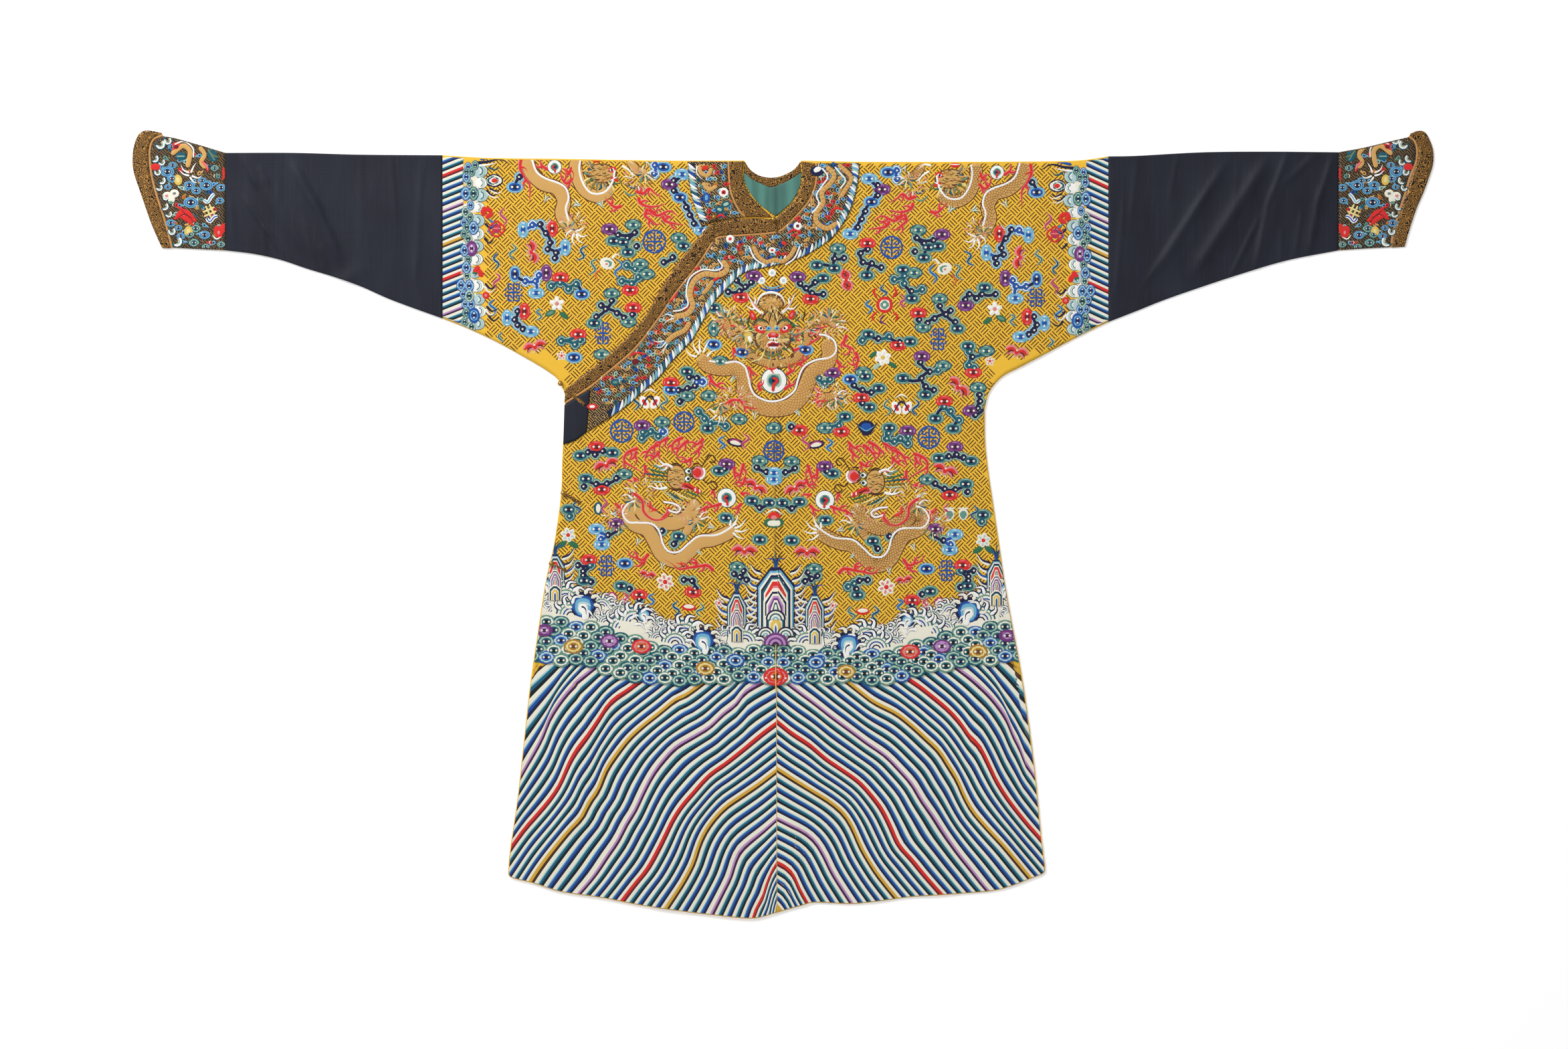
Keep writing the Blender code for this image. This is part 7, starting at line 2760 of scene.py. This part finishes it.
def cuff_stitching(stitching):
    """Clouds, waves, a dragon, a bat and a knot on one cuff."""
    inner = along(RIGHT_CUFF_LINE[:-1], even(34)) + (8, 0)
    outer = beside(CUFF_SEAM, 0)(even(34))
    scatter(stitching, inner, outer, 3, (0.16, 0.34, 0.52, 0.7, 0.88))
    for number, (x, y, radius) in enumerate(numbers_of(CUFF_WAVES)):
        for turn, share, floss in ((200, 1.0, "teal"), (230, 0.86, "white"), (250, 0.5, "mint")):
            stitching.arc(floss, x + radius * 0.2, y, radius * share * 0.7, turn - 40 * (number % 3),
                          turn + 190, radius * 0.36 * share, 4 + (share < 1) + (share < 0.6))
    for kind, radius, mark in rows_of(CUFF_CLOUDS):
        x, y = pairs([mark])[0]
        round_cloud(stitching, x, y, float(radius) * 1.05, CLOUD_RINGS[kind], 4)
    draw_rows(stitching, CUFF_TRIMS)


# ---- settings -------------------------------------------------------------------------------------
def colour_setting(name, description, value):
    """Colour property; its default is given as display values and kept scene-linear."""
    return FloatVectorProperty(name=name, description=description, default=linear(*value), subtype="COLOR",
                               size=3, min=0.0, max=1.0)


class RobeCloth(bpy.types.PropertyGroup):
    """Colours of the cloth and trimmings."""
    yellow: colour_setting("Ground silk", "Dye of the body's silk", (241, 190, 50))
    navy: colour_setting("Sleeve silk", "Dye of the sleeves' silk", (30, 29, 41))
    band_dark: colour_setting("Band ground", "Silk between the couched gold lines", (22, 15, 15))
    band_gold: colour_setting("Band gold", "Couched gold thread on collar and cuffs", (228, 182, 112))
    brocade_dark: colour_setting("Brocade ground", "Brown ground of the edging brocade", (26, 16, 9))
    brocade_gold: colour_setting("Brocade gold", "Gold of the edging brocade", (186, 134, 62))
    piping: colour_setting("Piping", "Bias strip between band and edging", (210, 150, 84))
    lining: colour_setting("Lining", "Silk inside the neck", (70, 116, 106))
    gilt: colour_setting("Buttons", "Gilding of the ball buttons", (214, 170, 90))


class RobeStage(bpy.types.PropertyGroup):
    """Floor, light and camera."""
    width: FloatProperty(name="Frame width", description="Width of floor that the camera takes in",
                         default=2.651, min=0.5, max=10.0, unit="LENGTH", subtype="DISTANCE")
    height: FloatProperty(name="Camera height", description="Height of the camera above the floor",
                          default=8.0, min=1.0, max=30.0, unit="LENGTH", subtype="DISTANCE")
    side: FloatProperty(name="Frame shift", description="Sideways place of the camera over the robe",
                        default=0.0017, min=-1.0, max=1.0, unit="LENGTH", subtype="DISTANCE")
    fill: FloatProperty(name="Fill light", description="Strength of the even light from all round",
                        default=0.5, min=0.0, max=4.0)
    key: FloatProperty(name="Key light", description="Power of the soft light from the upper left",
                       default=235.0, min=0.0, max=5000.0)


# ---- what each cloth was cut to -------------------------------------------------------------------
SHEETS = []            # object, flat size in metres, area in square metres, what it lies on
RIDERS = {}            # pieces sewn on each cloth


def declare_cloth():
    for piece, flat, area, rests_on in SHEETS:
        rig.sheet(piece, flat=flat, held="laid", area=area, rests_on=rests_on,
                 with_pieces=RIDERS.get(piece.name, []))


def sewn_on(cloth_name, piece):
    RIDERS.setdefault(cloth_name, []).append(piece)


# ---- stage ----------------------------------------------------------------------------------------
FLOOR_REACH = 6.0      # metres from the middle to the floor's edges
WINDOW_SIZE = (3.2, 2.2)
WINDOW_PLACE = (-2.6, 3.4, 3.6)  # the soft light stands beyond the wearer's right shoulder, high up
SENSOR_WIDTH = 36.0    # mm, as the camera's lens is


# ---- operators ------------------------------------------------------------------------------------
class ROBE_OT_body(bpy.types.Operator):
    """Two body halves, each front and back in one length, and the right overlap"""
    bl_idname = "robe.body"
    bl_label = "Body"

    def execute(self, context):
        silk = finishes["yellow_silk"]
        body_half("left_body", silk, (LEFT_HEM, LEFT_SIDE, LEFT_UPPER_SLEEVE_LOW, LEFT_SHOULDER,
                  LEFT_FRONT_NECK, LEFT_BACK_NECK), front_height, FRONT_ROWS, BACK_ROWS, "left_half")
        body_half("right_body", silk, (RIGHT_HEM, RIGHT_SIDE, RIGHT_UPPER_SLEEVE_LOW, RIGHT_SHOULDER,
                  RIGHT_FRONT_NECK, RIGHT_BACK_NECK), under_height, FRONT_ROWS, BACK_ROWS, "right_half")
        columns, rows = even(OVERLAP_COLUMNS), even(OVERLAP_ROWS)
        cut_edge = [(-13, 517)] + [row[:2] for row in COLLAR_SECTIONS[NECK_END + 1:-1]] + [(-367.5, 229)]
        overlap = patch(along(RIGHT_HEM, columns), along(cut_edge, columns),
                        straight(RIGHT_HEM[0], cut_edge[0], rows), along(RIGHT_SIDE + [cut_edge[-1]], rows))
        overlap[0, :, 0] -= SEAM_GAP / 2
        cloth("overlap", with_height(overlap, front_height), silk, CUT_SIZES["overlap"], ["right_body"],
              slot="yellow_silk", nodes="right_overlap", attributes={"lattice": 0.0, "waves": 0.0})
        return {"FINISHED"}


class ROBE_OT_sleeves(bpy.types.Operator):
    """Navy sleeves and horse-hoof cuffs with piping and brocade edging"""
    bl_idname = "robe.sleeves"
    bl_label = "Sleeves and cuffs"

    def execute(self, context):
        for side, sign, low, top, cuff_low, cuff_top, line, mouth in (
                ("left", 1, LEFT_SLEEVE_LOW, LEFT_SLEEVE_TOP, LEFT_CUFF_LOW, LEFT_CUFF_TOP, LEFT_CUFF_LINE,
                 LEFT_CUFF_MOUTH),
                ("right", -1, RIGHT_SLEEVE_LOW, RIGHT_SLEEVE_TOP, RIGHT_CUFF_LOW, RIGHT_CUFF_TOP,
                 RIGHT_CUFF_LINE, RIGHT_CUFF_MOUTH)):
            step = np.array([sign * SEAM_GAP / 2, 0])
            low, top, cuff_low, cuff_top = (np.array(rows, float) for rows in (low, top, cuff_low, cuff_top))
            low[0] += 2 * step
            top[0] += 2 * step
            low[-1] -= step
            top[-1] -= step
            cuff_low[0] += step
            cuff_top[0] += step
            tube(side + "_sleeve_silk", low, top, beside([low[0], top[0]], 0), beside([low[-1], top[-1]], 0),
                 TUBE_COLUMNS, finishes["navy_silk"], "navy_silk", TUBE_ROWS, side + "_sleeve",
                 flat=(abs(low[-1][0] - low[0][0]) + SLEEVE_SLANT, SLEEVE_GIRTH))
            bed = -sign * PIPING_WIDTH / 2
            cuff_end, inside, outside, binding = (
                beside(line, d) for d in (-bed + sign * CUFF_GAP, -bed, bed, bed - sign * CUFF_GAP))
            ends = (0.0, 1.0)
            cuff = tube(side + "_cuff_band", np.vstack([cuff_low[:-1], cuff_end(ends)[:1]]),
                        np.vstack([cuff_top[:-1], cuff_end(ends)[1:]]), beside([cuff_low[0], cuff_top[0]], 0),
                        cuff_end, CUFF_COLUMNS, finishes["fret_band"], "dark_brocade", CUFF_ROWS,
                        side + "_cuff", flat=CUT_SIZES["cuff"])
            piping = tube(side + "_cuff_cord", [inside(ends)[0], outside(ends)[0]],
                          [inside(ends)[1], outside(ends)[1]], inside, outside, 3, finishes["orange_piping"],
                          "orange_piping", CUFF_ROWS, side + "_cuff_piping")
            tube(side + "_cuff_edging", [binding(ends)[0], mouth[0]], [binding(ends)[1], mouth[-1]],
                 binding, beside(mouth, 0), 6, finishes["gold_brocade"], "gold_brocade", CUFF_ROWS,
                 side + "_cuff_binding", flat=CUT_SIZES["cuff_edging"])
            sewn_on(cuff.name, piping)
        return {"FINISHED"}


class ROBE_OT_collar(bpy.types.Operator):
    """Collar band, neck edgings and pipings, the inner front's collar and the facing under the arm"""
    bl_idname = "robe.collar"
    bl_label = "Collar"

    def execute(self, context):
        last_row = len(COLLAR_SECTIONS) - 1
        stretches = (("neck", collar_stations(0, NECK_END, NECK_STATIONS, (2.0, SEAM_GAP / 2))),
                     ("overlap", collar_stations(NECK_END, last_row, OVERLAP_STATIONS, (SEAM_GAP / 2, 0.0))))
        pipings = []
        for name, (_, edge, brocade_end, inside, outside, _, _) in stretches:
            strip(name + "_edging", edge, brocade_end, raised(front_height), finishes["gold_brocade"],
                  "gold_brocade", 6, node=name + "_binding")
            pipings.append(strip(name + "_cord", inside, outside,
                                 raised(front_height, thickness=PIPING_HEIGHT), finishes["orange_piping"],
                                 "orange_piping", 3, PIPING_HEIGHT, name + "_piping", declared=False))
        neck, overlap_run = (stations[5:] for _, stations in stretches)
        band = np.concatenate([neck, overlap_run[:, :BAND_STATIONS], np.reshape(BAND_END, (2, 1, 2))], axis=1)
        dark = strip("collar_silk", band[0], band[1], raised(front_height), finishes["fret_band"],
                     "dark_brocade", 14, node="collar_band")
        for piping in pipings:
            sewn_on(dark.name, piping)
        side_facing = patch(along(FACING_BOTTOM, even(10)), along(FACING_TOP, even(10)),
                            straight(FACING_BOTTOM[0], FACING_TOP[0], even(14)),
                            straight(FACING_BOTTOM[-1], FACING_TOP[-1], even(14)))
        cloth("side_silk", with_height(side_facing, raised(front_height)), finishes["navy_silk"],
              CUT_SIZES["side_silk"], ["overlap"], slot="navy_silk", nodes="side_facing")
        self.inner_collar()
        return {"FINISHED"}

    def inner_collar(self):
        """Inner front's collar, trimmed along the overlap's edge."""
        level = raised(under_height)
        half = PIPING_WIDTH / 2
        cut = smooth(INNER_LOW)
        for name, start, end, count, material, slot, node, flat in (
                ("inner_silk", INNER_OUTER, shifted(INNER_PIPING, half + SEAM_GAP), 14, "fret_band",
                 "dark_brocade", "inner_collar_band", CUT_SIZES["inner_silk"]),
                ("inner_cord", shifted(INNER_PIPING, half), shifted(INNER_PIPING, -half), 3, "orange_piping",
                 "orange_piping", "inner_neck_piping", None),
                ("inner_edging", shifted(INNER_PIPING, -half - SEAM_GAP), INNER_EDGE, 10, "gold_brocade",
                 "gold_brocade", "inner_neck_binding", CUT_SIZES["inner_edging"])):
            start, end = along(start, even(30)), along(end, even(30))
            for line in (start, end):
                line[0, 1] = np.interp(line[0, 0], cut[:, 0], cut[:, 1])
            low = straight(start[0], end[0], even(count))
            low[:, 1] = np.interp(low[:, 0], cut[:, 0], cut[:, 1])
            grid = patch(low, straight(start[-1], end[-1], even(count)), start, end)
            piece = cloth(name, with_height(grid, level), finishes[material], flat, ["right_body"],
                          slot=slot, nodes=node)
            if flat is None:
                sewn_on("inner_silk", piece)


class ROBE_OT_neck(bpy.types.Operator):
    """Turquoise lining and brocade facing seen inside the neck"""
    bl_idname = "robe.neck"
    bl_label = "Inside of the neck"

    def execute(self, context):
        facing_low = along(FACING_LOW, even(36))
        back_neck = along(RIGHT_BACK_NECK[:0:-1] + LEFT_BACK_NECK, 0.04 + 0.92 * even(36))
        level = flat_height(CLOTH + SEAM_GAP + LINING / 2)
        crescent = patch(facing_low, back_neck, straight(facing_low[0], back_neck[0], even(5)),
                         straight(facing_low[-1], back_neck[-1], even(5)))
        cloth("neck_brocade", with_height(crescent, level), finishes["gold_brocade"],
              CUT_SIZES["neck_brocade"], ["left_body", "right_body"], thickness=LINING,
              slot="gold_brocade", nodes="back_neck_facing")
        lining_low = along(LINING_LOW, even(60))
        lining_top = along(shifted(FACING_LOW, -SEAM_GAP), even(60))
        lining = patch(lining_low, lining_top, straight(lining_low[0], lining_top[0], even(20)),
                       straight(lining_low[-1], lining_top[-1], even(20)))
        cloth("neck_silk", with_height(lining, level), finishes["turquoise_lining"],
              CUT_SIZES["neck_silk"], ["left_body", "right_body"], thickness=LINING,
              slot="turquoise_lining", nodes="neck_lining")
        return {"FINISHED"}


class ROBE_OT_buttons(bpy.types.Operator):
    """Gilt ball buttons, each with its folded strip"""
    bl_idname = "robe.buttons"
    bl_label = "Buttons"

    def execute(self, context):
        for place, x, y, layers, x0, y0, x1, y1, strip_layers in BUTTONS:
            rise = float((ripples(x, y) + folds(np.array(float(x)), np.array(float(y)), FOLDS + CREASES)))
            top = FRONT_Z + CLOTH / 2 + TRIM_GAP + rise
            ball("ball_" + place, x, y, top + layers * PITCH + BALL_RADIUS, "button_" + place)
            line = np.array([(x0, y0), (x1, y1)], float)
            loop("strip_" + place, line, top + strip_layers * PITCH, "loop_" + place)
        return {"FINISHED"}


class ROBE_OT_lattice(bpy.types.Operator):
    """Couched lattice over the yellow ground"""
    bl_idname = "robe.lattice"
    bl_label = "Lattice"

    def execute(self, context):
        stitching = Stitching()
        lattice(stitching)
        stitching.piece("lattice_stitching", "left_body")
        return {"FINISHED"}


class ROBE_OT_water(bpy.types.Operator):
    """Slanting stripes of water above the hem and on the upper sleeves"""
    bl_idname = "robe.water"
    bl_label = "Standing water"

    def execute(self, context):
        stitching = Stitching()
        water(stitching, LEFT_GUIDES, LEFT_HEM, LEFT_SIDE, 1)
        water(stitching, RIGHT_GUIDES, RIGHT_HEM, RIGHT_SIDE, -1)
        for start, end, first in SLEEVE_WATERS:
            sleeve_water(stitching, start, end, first)
        stitching.piece("water_stitching", "left_body")
        return {"FINISHED"}


class ROBE_OT_clouds(bpy.types.Operator):
    """Chains of small clouds over the ground"""
    bl_idname = "robe.clouds"
    bl_label = "Clouds"

    def execute(self, context):
        stitching = Stitching()
        for side, nodes in map(read_chain, CHAINS.strip().splitlines()):
            both_halves(stitching, side, lambda: cloud_chain(stitching, nodes))
        stitching.piece("cloud_stitching", "left_body")
        return {"FINISHED"}


class ROBE_OT_waves(bpy.types.Operator):
    """Clouds, waves and rocks that stand on the water"""
    bl_idname = "robe.waves"
    bl_label = "Waves and rocks"

    def execute(self, context):
        stitching = Stitching()
        water_clouds(stitching)
        stitching.piece("wave_stitching", "left_body")
        return {"FINISHED"}


class ROBE_OT_sleeve_waves(bpy.types.Operator):
    """Columns of clouds and waves at the ends of the upper sleeves"""
    bl_idname = "robe.sleeve_waves"
    bl_label = "Sleeve clouds"

    def execute(self, context):
        stitching = Stitching()
        sleeve_clouds(stitching)
        stitching.piece("sleeve_stitching", "left_body")
        return {"FINISHED"}


class ROBE_OT_collar_stitching(bpy.types.Operator):
    """Embroidery on both dark collar bands"""
    bl_idname = "robe.collar_stitching"
    bl_label = "Collar stitching"

    def execute(self, context):
        for height, draw, name, sewn in ((raised(front_height), collar_stitching, "collar_stitching",
                                          "collar_silk"),
                                         (raised(under_height), inner_stitching, "inner_stitching",
                                          "inner_silk")):
            stitching = Stitching(upper_face(height), as_drawn)
            draw(stitching)
            stitching.piece(name, sewn)
        return {"FINISHED"}


class ROBE_OT_cuff_stitching(bpy.types.Operator):
    """Embroidery on both cuffs"""
    bl_idname = "robe.cuff_stitching"
    bl_label = "Cuff stitching"

    def execute(self, context):
        for side, flip in (("right", False), ("left", True)):
            stitching = Stitching(upper_face(front_height), on_cuff)
            stitching.mirror = (CUFF_MIRROR_X, 0.0)
            stitching.turned = flip
            cuff_stitching(stitching)
            stitching.piece(side + "_cuff_stitching", side + "_cuff_band")
        return {"FINISHED"}


class ROBE_OT_dragons(bpy.types.Operator):
    """Facing dragon on the chest, two below it and two on the shoulders"""
    bl_idname = "robe.dragons"
    bl_label = "Dragons"

    def execute(self, context):
        stitching = Stitching()
        dragons(stitching)
        stitching.piece("dragon_stitching", "left_body")
        return {"FINISHED"}


class ROBE_OT_motifs(bpy.types.Operator):
    """Flames, bats, fret medallions, streamers, flowers and treasures"""
    bl_idname = "robe.motifs"
    bl_label = "Small motifs"

    def execute(self, context):
        stitching = Stitching()
        small_motifs(stitching)
        stitching.piece("motif_stitching", "left_body")
        return {"FINISHED"}


class ROBE_OT_stage(bpy.types.Operator):
    """Floor, soft light and the camera looking straight down"""
    bl_idname = "robe.stage"
    bl_label = "Stage"

    def execute(self, context):
        look = context.scene.robe_stage
        corners = [(x * FLOOR_REACH, y * FLOOR_REACH, 0) for x, y in ((-1, -1), (1, -1), (1, 1), (-1, 1))]
        mesh = bpy.data.meshes.new("floor")
        mesh.from_pydata(corners, [], [(0, 1, 2, 3)])
        floor = bpy.data.objects.new("floor", mesh)
        context.scene.collection.objects.link(floor)
        f = Finish("floor_paper")
        paper = f.mix(f.noise(3.0), (0.90, 0.90, 0.90), (0.93, 0.93, 0.93))
        mesh.materials.append(f.surface(paper, 0.9, **{"Emission Strength": 0.3}))
        world = bpy.data.worlds.new("studio")
        world.use_nodes = True
        background = world.node_tree.nodes["Background"]
        background.inputs["Color"].default_value = (1, 1, 1, 1)
        background.inputs["Strength"].default_value = look.fill
        context.scene.world = world
        lamp = bpy.data.lights.new("window", "AREA")
        lamp.shape = "RECTANGLE"
        lamp.size, lamp.size_y = WINDOW_SIZE
        lamp.energy = look.key
        window = bpy.data.objects.new("window", lamp)
        window.location = WINDOW_PLACE
        aim = Vector((0.0, 0.0, 0.0)) - Vector(window.location)
        window.rotation_euler = aim.to_track_quat("-Z", "Y").to_euler()
        context.scene.collection.objects.link(window)
        eye = bpy.data.cameras.new("overhead")
        eye.sensor_width = SENSOR_WIDTH
        eye.lens = eye.sensor_width / 2 / (look.width / 2 / look.height)
        camera = bpy.data.objects.new("overhead", eye)
        camera.location = (look.side, 0.0, look.height)
        context.scene.collection.objects.link(camera)
        context.scene.camera = camera
        context.scene.view_settings.view_transform = "Standard"
        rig.stage(floor, window)
        return {"FINISHED"}


class ROBE_PT_sidebar(bpy.types.Panel):
    """Steps and settings of the robe"""
    bl_idname = "ROBE_PT_sidebar"
    bl_label = "Robe"
    bl_space_type = "VIEW_3D"
    bl_region_type = "UI"
    bl_category = "Robe"

    def draw(self, context):
        for group in (context.scene.robe_cloth, context.scene.robe_stage):
            for name in group.__annotations__:
                self.layout.prop(group, name)
        for step in STEPS_IN_ORDER:
            self.layout.operator(step.bl_idname)


STEPS_IN_ORDER = (ROBE_OT_body, ROBE_OT_sleeves, ROBE_OT_collar, ROBE_OT_neck, ROBE_OT_buttons,
                  ROBE_OT_lattice, ROBE_OT_water, ROBE_OT_clouds, ROBE_OT_waves,
                  ROBE_OT_sleeve_waves, ROBE_OT_collar_stitching, ROBE_OT_cuff_stitching,
                  ROBE_OT_dragons, ROBE_OT_motifs, ROBE_OT_stage)
CLASSES = (RobeCloth, RobeStage, ROBE_PT_sidebar) + STEPS_IN_ORDER


def register():
    for kind in CLASSES:
        bpy.utils.register_class(kind)
    bpy.types.Scene.robe_cloth = PointerProperty(type=RobeCloth)
    bpy.types.Scene.robe_stage = PointerProperty(type=RobeStage)


def unregister():
    del bpy.types.Scene.robe_stage
    del bpy.types.Scene.robe_cloth
    for kind in reversed(CLASSES):
        bpy.utils.unregister_class(kind)


def main():
    register()
    make_finishes(bpy.context.scene.robe_cloth)
    bpy.ops.robe.body()
    bpy.ops.robe.sleeves()
    bpy.ops.robe.collar()
    bpy.ops.robe.neck()
    bpy.ops.robe.buttons()
    bpy.ops.robe.lattice()
    bpy.ops.robe.water()
    bpy.ops.robe.clouds()
    bpy.ops.robe.waves()
    bpy.ops.robe.sleeve_waves()
    bpy.ops.robe.collar_stitching()
    bpy.ops.robe.cuff_stitching()
    bpy.ops.robe.dragons()
    bpy.ops.robe.motifs()
    bpy.ops.robe.stage()
    declare_cloth()
    robe_box = [list(map(float, corner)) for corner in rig.bounds()]
    with open("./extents.json", "w") as file:
        json.dump({"cad": CAD_BOX, "visual": robe_box}, file)


if __name__ == "__main__":
    main()
